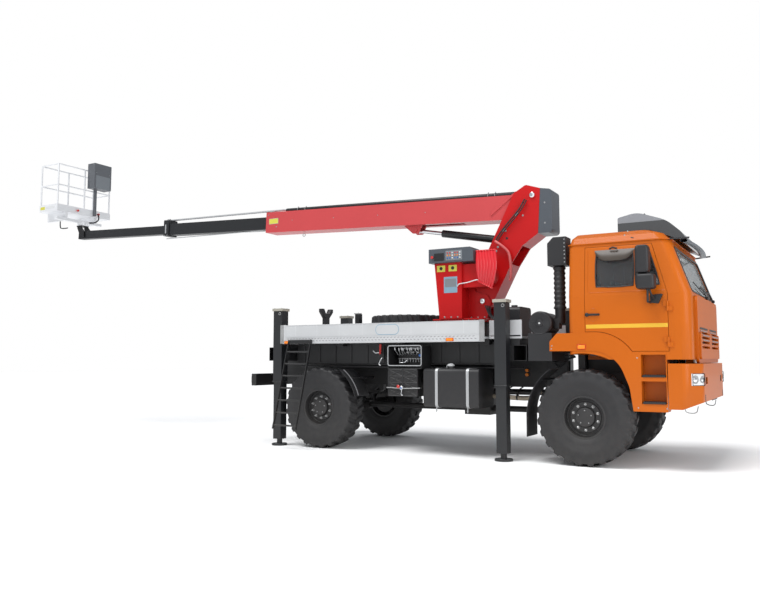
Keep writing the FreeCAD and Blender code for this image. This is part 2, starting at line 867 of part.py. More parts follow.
def make_chassis(model):
    """The ladder frame: two channel rails, cross members and spring hangers."""
    items = []
    for side in (RIGHT, LEFT):
        rail = model.body("Rail")
        outer = f"{side} * rail_outer_y"
        web = f"{side} * (rail_outer_y - rail_wall)"
        tip = f"{side} * {RAIL_INNER_Y}"
        channel = [
            (outer, RAIL_FOOT),
            (outer, "rail_top"),
            (tip, "rail_top"),
            (tip, "rail_top - rail_wall"),
            (web, "rail_top - rail_wall"),
            (web, f"{RAIL_FOOT} + rail_wall"),
            (tip, f"{RAIL_FOOT} + rail_wall"),
            (tip, RAIL_FOOT),
        ]
        model.pad(rail, "YZ_Plane", [channel], "-rail_tail", "rail_front")
        items.append(rail)
        for x in ("spring_reach", "-spring_reach", "-wheelbase + spring_reach", "-wheelbase - spring_reach"):
            low, high = span(side, "spring_y - spring_wide / 2", "spring_y + spring_wide / 2")
            hanger = model.box(
                (f"{x} - spring_wide / 2", low, "spring_top"), (f"{x} + spring_wide / 2", high, RAIL_FOOT)
            )
            items.append(hanger)
    for side in (RIGHT, LEFT):
        low, high = span(side, RAIL_INNER_Y, "rail_outer_y + ladder_rail")
        rear_mount = model.box(
            ("-cab_back - rail_flange", low, "rail_top"), ("-cab_back", high, "tunnel_top - ladder_rail")
        )
        low, high = span(side, RAIL_INNER_Y, "rail_outer_y")
        front_mount = model.box(
            ("engine_front", low, "rail_top"), ("engine_front + sill_width", high, "cab_floor")
        )
        items += [rear_mount, front_mount]
    web = "(rail_outer_y - rail_wall)"
    for x in (
        "rail_front", "-tank_front", "-valve_rear", "-wheelbase + spring_reach", "-rail_tail + rail_flange"
    ):
        member = model.box(
            (f"{x} - rail_flange", f"-{web}", f"{RAIL_FOOT} + rail_wall"), (x, web, "rail_top - rail_wall")
        )
        items.append(member)
    model.node(model.fuse(items + make_rear_bar(model)), "chassis_frame")


def make_subframe(model):
    """What carries the lift: two sills, two stabiliser housings, bearers and the fixed slewing column."""
    items = []
    for side in (RIGHT, LEFT):
        low, high = span(side, "rail_outer_y - sill_width", "rail_outer_y")
        items.append(model.box(("-rail_tail", low, "rail_top"), ("-sill_front", high, SILL_TOP)))
    for end in ("front", "rear"):
        housing = model.body(f"Housing{end.capitalize()}")
        half = "(beam_wide / 2 + slide_gap)"
        back, fore = housing_span(end)
        outer = rectangle(
            (f"{back} - {half} - housing_wall", SILL_TOP), (f"{fore} + {half} + housing_wall", HOUSING_TOP)
        )
        shapes = [outer]
        for x in (back, fore):
            shapes.append(
                rectangle(
                    (f"{x} - {half}", f"{SILL_TOP} + housing_wall"),
                    (f"{x} + {half}", f"{HOUSING_TOP} - housing_wall"),
                )
            )
        model.pad(housing, "XZ_Plane", shapes, "-housing_half", "housing_half")
        items.append(housing)
    column = model.cylinder(("-slew_x", "0", SILL_TOP), "column_radius", f"slew_ring_foot - {SILL_TOP}")
    flange_top = "(slew_ring_foot + (slew_ring_top - slew_ring_foot) / 2)"
    ring = model.cylinder(
        ("-slew_x", "0", "slew_ring_foot"), "slew_ring_radius", f"{flange_top} - slew_ring_foot"
    )
    base = model.box(
        ("-slew_x - slew_ring_radius", "-rail_outer_y", SILL_TOP),
        ("-slew_x + slew_ring_radius", "rail_outer_y", f"{SILL_TOP} + floor_thick"),
    )
    items += [column, ring, base]
    bearer_top = "(deck_floor - floor_thick)"
    for x in ("-deck_front", "-tank_rear - slew_ring_radius", "-spare_x - slew_ring_radius"):
        items.append(
            model.box(
                (f"{x} - sill_width", "-housing_half", f"{bearer_top} - sill_width"),
                (x, "housing_half", bearer_top),
            )
        )
        for side in (RIGHT, LEFT):
            low, high = span(side, "rail_outer_y - sill_width", "rail_outer_y")
            items.append(
                model.box((f"{x} - sill_width", low, SILL_TOP), (x, high, f"{bearer_top} - sill_width"))
            )
    for end in ("front", "rear"):
        back, fore = housing_span(end)
        items.append(model.box((back, "-housing_half", HOUSING_TOP), (fore, "housing_half", bearer_top)))
    model.node(model.fuse(items), "subframe")


def make_stabilisers(model):
    """Four beams with their leg tubes, and four legs with round pads, set down on the ground."""
    for end in ("front", "rear"):
        for side in (RIGHT, LEFT):
            x = leg_x(end, side)
            y = f"{side} * {LEG_Y}"
            tube = model.body("LegTube", (x, y, "0"))
            half = "leg_tube / 2"
            hollow = "leg_tube / 2 - leg_wall"
            shapes = [
                rectangle((f"-{half}", f"-{half}"), (half, half)),
                rectangle((f"-({hollow})", f"-({hollow})"), (hollow, hollow)),
            ]
            model.pad(tube, "XY_Plane", shapes, "leg_tube_foot", "leg_tube_top")
            cap = model.box(
                (f"{x} - leg_tube / 2 - leg_wall", f"{y} - leg_tube / 2 - leg_wall", "leg_tube_top"),
                (
                    f"{x} + leg_tube / 2 + leg_wall",
                    f"{y} + leg_tube / 2 + leg_wall",
                    "leg_tube_top + leg_wall",
                ),
            )
            low, high = span(side, "half_width - leg_tube - beam_reach", "half_width - leg_tube")
            beam = model.box(
                (f"{x} - beam_wide / 2", low, BEAM_FOOT),
                (f"{x} + beam_wide / 2", high, f"{BEAM_FOOT} + beam_high"),
            )
            name = f"{end}_{SIDE_NAMES[side]}"
            model.node(model.fuse([tube, cap, beam]), f"stabiliser_beam_{name}")
            leg = model.body("Leg", (x, y, "0"))
            bar = rectangle((f"-{LEG_HALF}", f"-{LEG_HALF}"), (LEG_HALF, LEG_HALF))
            model.pad(leg, "XY_Plane", [bar], "pad_thick * 4", "leg_top")
            pad = model.cylinder((x, y, "0"), "pad_radius", "pad_thick")
            neck = model.cylinder((x, y, "0"), "pad_radius * 0.35", "pad_thick * 4")
            model.node(model.fuse([leg, pad, neck]), f"stabiliser_leg_{name}")


def make_deck(model):
    """The pale deck: a floor with a round hole for the column and a side board along each edge."""
    floor = model.body("Floor")
    hole = (("-slew_x", "0"), "column_radius + door_gap")
    edge = "half_width - board_thick"
    sheet = rectangle(("-deck_rear", f"-({edge})"), ("-deck_front", edge))
    model.pad(floor, "XY_Plane", [sheet, hole], "deck_floor - floor_thick", "deck_floor")
    items = [floor]
    for side in (RIGHT, LEFT):
        low, high = span(side, edge, "half_width")
        items.append(model.box(("-deck_rear", low, "board_foot"), ("-deck_front", high, "board_top")))
    items.append(
        model.box(
            ("-deck_rear - board_thick", "-half_width", "board_foot"),
            ("-deck_rear", "half_width", "board_top"),
        )
    )
    for side in (RIGHT, LEFT):
        low, high = span(side, edge, "half_width + post_proud")
        for x in ("-deck_rear - board_thick", "-deck_front - post_wide"):
            items.append(
                model.box((x, low, "board_foot"), (f"{x} + post_wide", high, "board_top + post_proud"))
            )
        low, high = span(side, "apron_half - apron_thick", "apron_half")
        items.append(model.box(("-deck_front", low, "apron_foot"), ("-apron_front", high, "board_top")))
    items.append(
        model.box(
            ("-deck_front", "-apron_half", "deck_floor - floor_thick"),
            ("-apron_front", "apron_half", "deck_floor"),
        )
    )
    for side in (RIGHT, LEFT):
        low, high = span(side, "apron_half - apron_thick", "apron_half")
        items.append(
            model.box(("-deck_front", low, "deck_floor"), ("-deck_front + apron_thick", high, "apron_foot"))
        )
        items.append(
            model.box(("-apron_front - apron_thick", low, "deck_floor"), ("-apron_front", high, "apron_foot"))
        )
    model.node(model.fuse(items + make_rests(model)), "deck")


def make_rests(model):
    """The forked rest for the boom and the lower post in front of it, standing on the deck."""
    fork = model.body("Fork")
    corners = [
        ("-slot_half", "deck_floor"),
        ("slot_half", "deck_floor"),
        ("slot_half", "rest_top - slot_half * 3"),
        ("slot_half * 3", "rest_top - slot_half"),
        ("slot_half * 3", "rest_top"),
        ("slot_half * 2", "rest_top"),
        ("slot_half", "rest_top - slot_half * 1.5"),
        ("-slot_half", "rest_top - slot_half * 1.5"),
        ("-slot_half * 2", "rest_top"),
        ("-slot_half * 3", "rest_top"),
        ("-slot_half * 3", "rest_top - slot_half"),
        ("-slot_half", "rest_top - slot_half * 3"),
    ]
    model.pad(fork, "YZ_Plane", [corners], "-rest_x", "-rest_x + sill_width")
    post = model.box(
        ("-post_rest_x", "-slot_half", "deck_floor"),
        ("-post_rest_x + sill_width", "slot_half", "rest_top - slot_half * 2"),
    )
    return [fork, post]


def make_side_fittings(model):
    """Fuel tank with its straps, the lever box with the chock rack below it, the ladder and the mudguards."""
    edge = "half_width"
    tank = model.body("Tank")
    shape = rectangle(
        (f"-({edge} - door_gap)", "tank_foot"), (f"-({edge} - tank_deep)", "tank_top"), "slot_half"
    )
    model.pad(tank, "YZ_Plane", [shape], "-tank_rear", "-tank_front")
    straps = []
    for share in (0.22, 0.78):
        x = f"-tank_rear + (tank_rear - tank_front) * {share}"
        strap = model.body("Strap")
        outside = rectangle(
            (f"-({edge})", "tank_foot - door_gap"),
            (f"-({edge} - tank_deep - door_gap)", "tank_top + door_gap"),
            "slot_half + door_gap",
        )
        model.pad(strap, "YZ_Plane", [outside], x, f"{x} + ladder_rail")
        straps.append(strap)
        straps.append(
            model.box(
                (x, f"-({edge} - tank_deep)", "tank_foot + rail_height"),
                (f"{x} + ladder_rail", "-rail_outer_y", "tank_foot + rail_height * 2"),
            )
        )
    filler = model.cylinder(
        ("-(tank_front + tank_rear) / 2 - slot_half", f"-({edge} - tank_deep * 0.25)", "tank_top"),
        "filler_radius",
        "filler_high",
    )
    model.node(model.fuse([tank, filler] + straps), "fuel_tank")
    box = model.body("ValveCase")
    low, high = span(RIGHT, f"{edge} - valve_deep", edge)
    model.pad(
        box, "XZ_Plane", [rectangle(("-valve_rear", "valve_foot"), ("-valve_front", "valve_top"))], low, high
    )
    inner = rectangle(
        ("-valve_rear + housing_wall", "valve_foot + housing_wall"),
        ("-valve_front - housing_wall", "valve_top - housing_wall"),
    )
    model.pocket(box, "XZ_Plane", [inner], low, f"{high} - housing_wall")
    hanger = model.box(
        ("-valve_rear", high, "valve_foot"), ("-valve_front", "-rail_outer_y", "valve_foot + sill_width")
    )
    rack = model.box(
        ("-valve_rear", f"-({edge} - housing_wall)", "rack_foot"),
        ("-valve_front - sill_width", high, "valve_foot"),
    )
    model.node(model.fuse([box, hanger, rack]), "valve_box")
    make_ladder(model)
    make_mudguards(model)


def make_ladder(model):
    """The access ladder on the right: hooked under the side board, its foot standing out from the deck."""
    lean = ("1; 0; 0", "-ladder_lean")
    at = ("-ladder_x", "-half_width - ladder_rail / 2", "ladder_top")
    length = "(ladder_top - ladder_foot) / cos(ladder_lean)"
    items = []
    for side in (-1, 1):
        rail = model.body("LadderRail", at, lean)
        x = f"{side} * ladder_half"
        model.pad(
            rail,
            "XY_Plane",
            [
                rectangle(
                    (f"{x} - ladder_rung / 2", "-ladder_rail / 2"),
                    (f"{x} + ladder_rung / 2", "ladder_rail / 2"),
                ),
            ],
            f"-({length})",
            "0",
        )
        items.append(rail)
    rung = model.body("LadderRungs", at, lean)
    pitch = f"({length}) / (rung_count + 0.3)"
    sketch_level = "-ladder_half"
    first = model.pad(
        rung, "YZ_Plane", [(("0", f"-({pitch})"), "ladder_rung")], sketch_level, "ladder_half"
    )
    row = rung.newObject("PartDesign::LinearPattern", "RungRow")
    row.Originals = [first]
    down = [f for f in rung.Origin.OriginFeatures if f.Role == "Z_Axis"][0]
    row.Direction = (down, [""])
    row.Reversed = True
    model.bind(row, "Length", f"({pitch}) * (rung_count - 1)")
    model.bind(row, "Occurrences", "rung_count")
    rung.AllowCompound = True
    rung.Tip = row
    hook = model.box(
        ("-ladder_x - ladder_half", "-half_width - ladder_rail", "board_foot"),
        ("-ladder_x + ladder_half", "-half_width", "ladder_top"),
    )
    model.node(model.fuse(items + [rung, hook]), "ladder")


def make_rear_bar(model):
    """The rear under-run bar on two arms from the rails."""
    items = [model.box(("-bar_rear_x", "-bar_half", "bar_foot"), ("-bar_front_x", "bar_half", "bar_top"))]
    for side in (RIGHT, LEFT):
        low, high = span(side, "rail_outer_y - rail_flange", "rail_outer_y")
        items.append(model.box(("-bar_front_x", low, "bar_foot"), ("-rail_tail", high, "rail_top")))
    jaw = model.body("TowJaw")
    shape = rectangle(("-rail_tail - jaw_reach", "-jaw_half"), ("-rail_tail", "jaw_half"))
    hole = (("-rail_tail - jaw_reach * 0.6", "0"), "jaw_bore")
    for foot in ("(bar_top - jaw_high)", "(bar_top - cheek)"):
        model.pad(jaw, "XY_Plane", [shape, hole], foot, f"{foot} + cheek")
    jaw.AllowCompound = True
    items.append(jaw)
    return items


def guard(model, name, x, start, end, side, radius):
    """A mudguard: a curved sheet round a wheel between two angles from straight up, forward positive."""
    low, high = span(side, "track_half - tyre_width / 2", "track_half + tyre_width / 2")
    arc = model.doc.addObject("Part::Cylinder", name)
    model.bind(arc, "Radius", f"{radius} + guard_sheet")
    model.bind(arc, "Height", "tyre_width")
    model.bind(arc, "Angle", f"({end}) - ({start})")
    turn = f"rotation(vector(1; 0; 0); 90) * rotation(vector(0; 0; 1); 90 - ({end}))"
    spot = f"vector(front_axle_x + {x}; centre_plane_y + {high}; tyre_radius)"
    model.bind(arc, "Placement", f"placement({spot}; {turn})")
    bore = model.doc.addObject("Part::Cylinder", name + "Bore")
    model.bind(bore, "Radius", radius)
    model.bind(bore, "Height", "tyre_width")
    model.bind(bore, "Placement", f"placement({spot}; {turn})")
    return model.cut(arc, bore)


def make_mudguards(model):
    """Curved guards behind and ahead of the rear wheels and behind the front ones, each on a stay."""
    items = []
    for side in (RIGHT, LEFT):
        low, high = span(side, "rail_outer_y", "track_half + tyre_width / 4")
        for name, x, radius, start, end, stay in (
            ("GuardFront", "0", "guard_reach", "-90", "-35", "-50"),
            ("GuardRear", REAR_AXLE_X, "guard_radius", "35", "75", "50"),
        ):
            items.append(guard(model, name, x, start, end, side, radius))
            reach = f"({radius} + guard_sheet / 2)"
            at = (f"{x} + {reach} * sin({stay})", low, f"tyre_radius + {reach} * cos({stay})")
            items.append(model.cylinder(at, "ladder_rung", f"({high}) - ({low})", ALONG_Y))
        low, high = span(side, "track_half - tyre_width / 2", "track_half + tyre_width / 2")
        items.append(
            model.box(
                ("-guard_reach - flap_rubber", low, "flap_foot"),
                ("-guard_reach", high, "tyre_radius + flap_rubber * 4"),
            )
        )
    model.node(model.fuse(items), "mudguards")


def make_air_intake(model):
    """The raised air intake behind the cab, its ribbed hose and the filter canister on the right."""
    head = model.body("IntakeHead")
    corners = [
        ("-intake_rear", "intake_foot"),
        ("-intake_front", "intake_foot"),
        ("-intake_front", "cab_roof"),
        ("-intake_rear + slot_half * 1.5", "cab_roof"),
        ("-intake_rear", "cab_roof - slot_half * 1.5"),
    ]
    low, high = span(RIGHT, "intake_y - intake_half", "intake_y + intake_half")
    model.pad(head, "XZ_Plane", [corners], low, high)
    mid_x = "-(intake_front + intake_rear) / 2"
    hose = model.body("Bellows", (mid_x, "-intake_y", "0"))
    pitch = "((intake_foot - bellows_foot) / bellows_count)"
    outline = [("0", "canister_z"), ("hose_radius", "canister_z"), ("hose_radius", "bellows_foot")]
    for ridge in range(int(model.value("bellows_count"))):
        outline.append(("hose_radius + hose_ridge", f"bellows_foot + {pitch} * ({ridge} + 1 / 2)"))
        outline.append(("hose_radius", f"bellows_foot + {pitch} * ({ridge} + 1)"))
    outline.append(("0", "intake_foot"))
    model.turned(hose, outline, "V_Axis", "XZ_Plane")
    canister = model.body("Canister", ("-canister_x", "-intake_y", "canister_z"))
    outline = [
        ("-canister_half", "0"),
        ("-canister_half", "canister_radius - canister_edge"),
        ("-canister_half + canister_edge", "canister_radius"),
        ("-canister_half * 0.4", "canister_radius"),
        ("-canister_half * 0.36", "canister_radius - canister_edge / 2"),
        ("canister_half - canister_edge", "canister_radius - canister_edge / 2"),
        ("canister_half", "canister_radius - canister_edge * 2"),
        ("canister_half", "0"),
    ]
    model.turned(canister, outline)
    duct = model.box(
        ("-canister_x", "-intake_y - hose_radius", "canister_z - hose_radius"),
        (mid_x, "-intake_y + hose_radius", "canister_z + hose_radius"),
    )
    shelf = model.box(
        ("-canister_x - canister_radius", "-intake_y - canister_half", f"{SILL_TOP}"),
        ("-canister_x + canister_radius", "-rail_outer_y", "canister_z - canister_radius * 0.8"),
    )
    foot = model.box(
        ("-sill_front + slide_gap", "-rail_outer_y", "rail_top"),
        ("-canister_x + canister_radius", f"-{RAIL_INNER_Y}", "canister_z - canister_radius * 0.8"),
    )
    intake = model.fuse([head, hose, canister, duct, shelf, foot])
    model.node(model.group([intake, model.fuse(make_reserve(model))]), "air_intake")


def make_reserve(model):
    """The oil reserve that stands ahead of the turret on the deck's front part."""
    tank = model.body("Reserve")
    shape = rectangle(
        ("-reserve_near - reserve_wide", "reserve_foot"), ("-reserve_near", "reserve_top"), "slot_half"
    )
    model.pad(tank, "YZ_Plane", [shape], "-reserve_rear", "-reserve_front")
    cap = model.cylinder(
        ("-(reserve_rear + reserve_front) / 2", "-reserve_near - reserve_wide / 2", "reserve_top"),
        "filler_radius",
        "filler_high",
    )
    return [tank, cap]


def cab_plan(back, front, half, inset):
    """The cab's plan at one height, moved in by inset: the front corners are rounder than the back ones."""
    return [
        (f"-({back}) + {inset}", f"-({half}) + {inset}", f"back_corner - {inset}"),
        (f"{front} - {inset}", f"-({half}) + {inset}", f"cab_corner - {inset}"),
        (f"{front} - {inset}", f"{half} - {inset}", f"cab_corner - {inset}"),
        (f"-({back}) + {inset}", f"{half} - {inset}", f"back_corner - {inset}"),
    ]


def cab_upper(model, inset, name):
    """The tapered form of the cab from the belt to the eaves, moved in from the outside by inset."""
    high = model.body(name)
    stations = [
        ("cab_belt", cab_plan("cab_back", "cab_front", "cab_half", inset)),
        (f"cab_eave - {inset} / 4", cab_plan("cab_back", "eave_front", "eave_half", inset)),
    ]
    model.loft(high, "XY_Plane", stations)
    return high


def cab_form(model, inset, name):
    """The cab's closed form, moved in from the outside by inset: straight below, tapered above."""
    low = model.body(name + "Low")
    plan = cab_plan("cab_back", "cab_front", "cab_half", inset)
    model.pad(low, "XY_Plane", [plan], f"cab_floor + {inset}", "cab_belt")
    return model.fuse([low, cab_upper(model, inset, name)])


# The bend that the door's foot and the wheel arch share, kept short enough for the slope below it
ARCH_DROP = "(arch_top - door_foot)"
ARCH_RUN = "(arch_knee - arch_flat)"
DOOR_BEND = f"(0.9 * sqrt({ARCH_DROP} ^ 2 + {ARCH_RUN} ^ 2) / tan(atan({ARCH_DROP} / {ARCH_RUN}) / 2))"


def door_prism(model, side, gap, name):
    """A prism through one cab side along the door's outline, drawn in by gap on every edge."""
    body = model.body(name)
    corners = [
        (f"door_rear + {gap}", f"arch_top + {gap}"),
        (f"arch_flat + {gap}", f"arch_top + {gap}", DOOR_BEND),
        (f"arch_knee + {gap}", f"door_foot + {gap}"),
        (f"door_front - {gap}", f"door_foot + {gap}"),
        (f"door_front - {gap}", f"cab_belt + {gap}"),
        (f"door_head - {gap}", f"door_top - {gap}"),
        (f"door_rear + {gap}", f"door_top - {gap}"),
    ]
    low, high = span(side, "eave_half - cab_wall * 2", "cab_half + cab_wall")
    model.pad(body, "XZ_Plane", [corners], low, high)
    return body


def window_prism(model, side, gap, name):
    """The two windows of a door: a square pane and a quarter pane behind the sloping pillar."""
    panes = []
    low, high = span(side, "eave_half - cab_wall * 2", "cab_half + cab_wall")
    split = "window_rear + (window_front - window_rear) * 0.6"
    slope = "(window_front - window_rear) * 0.16"
    for corners in (
        [
            (f"window_rear + {gap}", f"window_foot + {gap}"),
            (f"{split} - {gap}", f"window_foot + {gap}"),
            (f"{split} - {gap}", f"window_top - {gap}"),
            (f"window_rear + {gap}", f"window_top - {gap}"),
        ],
        [
            (f"{split} + window_bar + {gap}", f"window_foot + {gap}"),
            (f"window_front - {gap}", f"window_foot + {gap}"),
            (f"window_front - {slope} - {gap}", f"window_top - {gap}"),
            (f"{split} + window_bar + {gap}", f"window_top - {gap}"),
        ],
    ):
        body = model.body(name)
        model.pad(body, "XZ_Plane", [corners], low, high)
        panes.append(body)
    return model.fuse(panes)


def screen_prism(model, gap, name):
    body = model.body(name)
    shape = rectangle(
        (f"-screen_half + {gap}", f"screen_foot + {gap}"),
        (f"screen_half - {gap}", f"screen_top - {gap}"),
        "slot_half",
    )
    model.pad(body, "YZ_Plane", [shape], "eave_front / 2", "cab_front + cab_wall")
    return body


def arch_prism(model, name):
    """The open space round a front wheel, from side to side of the cab."""
    return model.cylinder(
        ("0", "-half_width - cab_wall", "tyre_radius"),
        "arch_radius",
        "2 * half_width + 2 * cab_wall",
        ALONG_Y,
    )


def door_hinges(model, side):
    """Two outside hinges of one door: knuckles and leaves of the shell, then those of the door above them."""
    axis_x = "(door_front - door_gap / 2)"
    axis_y = f"{side} * (cab_half + hinge_radius + slide_gap)"
    low, high = span(side, "cab_half - door_gap", "cab_half + hinge_radius")
    fixed, turning = [], []
    for foot in ("(door_foot + slot_half)", "(cab_belt - slot_half * 4)"):
        upper = f"({foot} + hinge_high + slide_gap)"
        fixed.append(model.cylinder((axis_x, axis_y, foot), "hinge_radius", "hinge_high"))
        fixed.append(model.box((axis_x, low, foot), ("door_front + slot_half", high, f"{foot} + hinge_high")))
        turning.append(model.cylinder((axis_x, axis_y, upper), "hinge_radius", "hinge_high"))
        turning.append(
            model.box(("door_front - slot_half", low, upper), (axis_x, high, f"{upper} + hinge_high"))
        )
    return fixed, turning


def make_cab(model):
    """The hollow cab: welded shell, two doors and panes, all cut from the same pair of nested forms."""
    outside = cab_form(model, "0", "CabOutside")
    inside = cab_form(model, "cab_wall", "CabInside")
    walls = model.cut(outside, inside)
    pane_outer = cab_upper(model, "glass_inset", "PaneOutside")
    pane_inner = cab_upper(model, "(glass_inset + glass_thick)", "PaneInside")
    shell = walls
    for side in (RIGHT, LEFT):
        name = SIDE_NAMES[side]
        shell = model.cut(shell, door_prism(model, side, "0", f"DoorWay{name}"))
        leaf = model.common(walls, door_prism(model, side, "door_gap", f"DoorLeaf{name}"))
        leaf = model.cut(leaf, window_prism(model, side, "0", f"WindowHole{name}"))
        glass = model.cut(
            model.common(pane_outer, window_prism(model, side, "-glass_lap", f"Pane{name}")), pane_inner
        )
        shell_hinges, leaf_hinges = door_hinges(model, side)
        shell = model.fuse([shell] + shell_hinges)
        model.node(model.fuse([model.cut(leaf, glass)] + leaf_hinges), f"door_{name}")
        model.node(glass, f"door_glass_{name}")
    shell = model.cut(shell, screen_prism(model, "0", "ScreenHole"))
    screen = model.cut(model.common(pane_outer, screen_prism(model, "-glass_lap", "ScreenPane")), pane_inner)
    shell = model.cut(shell, screen)
    shell = model.cut(shell, arch_prism(model, "ArchSpace"))
    shell = model.cut(shell, make_arches(model))
    for side in (RIGHT, LEFT):
        low, high = span(side, "half_width - arch_wide + arch_sheet", "half_width")
        step_space = model.box(
            ("step_rear", low, "arch_foot"), ("step_front", high, "arch_foot + step_lift + step_pitch + step_high")
        )
        shell = model.cut(shell, step_space)
    well = model.box(
        ("-cab_back - cab_wall", "-tunnel_half", "cab_floor - cab_wall"),
        ("engine_front + cab_wall", "tunnel_half", "tunnel_top - cab_sheet"),
    )
    shell = model.cut(shell, well)
    cover_out = model.box(
        ("-cab_back + cab_wall / 2", "-tunnel_half - cab_sheet", "cab_floor"),
        ("engine_front + cab_wall + cab_sheet", "tunnel_half + cab_sheet", "tunnel_top"),
    )
    cover_in = model.box(
        ("-cab_back", "-tunnel_half", "cab_floor - cab_wall"),
        ("engine_front + cab_wall", "tunnel_half", "tunnel_top - cab_sheet"),
    )
    model.node(model.fuse([shell, model.cut(cover_out, cover_in)]), "cab_shell")
    model.node(screen, "windscreen")
    make_roof(model)
    make_cab_front(model)
    make_cab_inside(model)
    make_mirrors(model)


def roof_stations(inset, foot):
    """The roof's plans at its foot, shoulder and top, moved in by inset."""
    return [
        (foot, cab_plan("cab_back", "eave_front", "eave_half", inset)),
        (
            f"cab_eave + shoulder_rise - {inset} / 2",
            cab_plan(
                "cab_back - shoulder_in / 2", "eave_front - shoulder_in * 2", "eave_half - shoulder_in", inset
            ),
        ),
        (f"cab_roof - {inset}", cab_plan("cab_back - roof_shrink", "roof_front", "roof_half", inset)),
    ]


def make_roof(model):
    """The raised roof pressing with its drip rail, hollow underneath."""
    forms = []
    for inset, name, foot in (
        ("0", "RoofOutside", "cab_eave"), ("cab_sheet", "RoofInside", "cab_eave - cab_sheet")
    ):
        form = model.body(name)
        model.loft(form, "XY_Plane", roof_stations(inset, foot))
        forms.append(form)
    rail = model.body("DripRail")
    ring = [
        cab_plan("cab_back + rail_lip", "eave_front + rail_lip", "eave_half + rail_lip", "0"),
        cab_plan("cab_back", "eave_front", "eave_half", "(cab_sheet / 2)"),
    ]
    model.pad(rail, "XY_Plane", ring, "cab_eave", "cab_eave + cab_sheet * 2")
    model.node(model.fuse([model.cut(*forms), rail]), "cab_roof")


def bumper_plan(inset):
    """The bumper's plan, moved in by inset, with broad round corners."""
    return [
        ("bumper_back", f"-half_width + {inset}"),
        (f"bumper_front - slot_half * 3 - {inset} / 2", f"-half_width + {inset}", "bumper_curve"),
        (f"bumper_front - {inset}", f"-half_width + slot_half * 4 + {inset} / 2", "bumper_curve"),
        (f"bumper_front - {inset}", f"half_width - slot_half * 4 - {inset} / 2", "bumper_curve"),
        (f"bumper_front - slot_half * 3 - {inset} / 2", f"half_width - {inset}", "bumper_curve"),
        ("bumper_back", f"half_width - {inset}"),
    ]


def make_cab_front(model):
    """The front flap with its raised grille, the raked bumper with its openings and the headlamps."""
    flap = model.body("Flap")
    panel = rectangle(
        ("-flap_half", "bumper_top + door_gap"), ("flap_half", "screen_foot - cab_wall"), "slot_half * 1.5"
    )
    model.pad(flap, "YZ_Plane", [panel], "cab_front", "cab_front + flap_thick")
    block = rectangle(
        ("-flap_half + slot_half", "bumper_top + slot_half"),
        ("flap_half - slot_half", "grille_block"),
        "slot_half",
    )
    model.pad(flap, "YZ_Plane", [block], "cab_front", "cab_front + flap_thick + grille_out")
    slots = []
    for row in (-1, 0, 1, 2):
        foot = f"grille_foot + {row} * grille_pitch"
        for near, far in (("-flap_half * 0.85", "-flap_half * 0.1"), ("flap_half * 0.1", "flap_half * 0.85")):
            slots.append(rectangle((near, foot), (far, f"{foot} + grille_slot"), "grille_slot * 0.4"))
    model.pocket(flap, "YZ_Plane", slots, "cab_front", "cab_front + flap_thick + grille_out")
    model.node(flap, "cab_front")
    bumper = model.body("Bumper")
    model.pad(bumper, "XY_Plane", [bumper_plan("0")], "bumper_foot", "bumper_top")
    model.pocket(bumper, "XY_Plane", [bumper_plan("bumper_wall")], "bumper_foot", "bumper_top - bumper_wall")
    rake = [
        ("bumper_front - slot_half * 4", "bumper_foot - slot_half"),
        ("bumper_front + slot_half", "bumper_foot - slot_half"),
        ("bumper_front + slot_half", "bumper_foot + bumper_rake"),
        ("bumper_front - slot_half * 4", "bumper_foot"),
    ]
    model.pocket(bumper, "XZ_Plane", [rake], "-half_width", "half_width")
    holes = []
    for side in (RIGHT, LEFT):
        for y, half, foot, high in (
            ("lamp_y", "lamp_half", "lamp_foot", "lamp_high"),
            ("port_y", "port_half", "port_foot", "port_high"),
        ):
            holes.append(
                rectangle((f"{side} * {y} - {half}", foot), (f"{side} * {y} + {half}", f"{foot} + {high}"))
            )
    model.pocket(bumper, "YZ_Plane", holes, "bumper_front - slot_half * 3.5", "bumper_front + bumper_wall")
    stays = []
    for side in (RIGHT, LEFT):
        low, high = span(side, "rail_outer_y - rail_flange", "rail_outer_y")
        stays.append(
            model.box(("rail_front", low, RAIL_FOOT), ("bumper_front - bumper_wall", high, "rail_top"))
        )
    model.node(model.fuse([bumper] + stays), "bumper")
    core = model.body("LampCore")
    model.pad(core, "XY_Plane", [bumper_plan("(bumper_wall / 2)")], "bumper_foot", "bumper_top")
    units = []
    for side in (RIGHT, LEFT):
        y = f"{side} * lamp_y"
        unit = model.body("Lamp")
        shape = rectangle(
            (f"{y} - lamp_half + slide_gap", "lamp_foot + slide_gap"),
            (f"{y} + lamp_half - slide_gap", "lamp_foot + lamp_high - slide_gap"),
            "slot_half / 3",
        )
        model.pad(unit, "YZ_Plane", [shape], "bumper_front - slot_half * 3.4", "bumper_front")
        units.append(model.common(unit, core))
    model.node(model.group(units), "lamps")


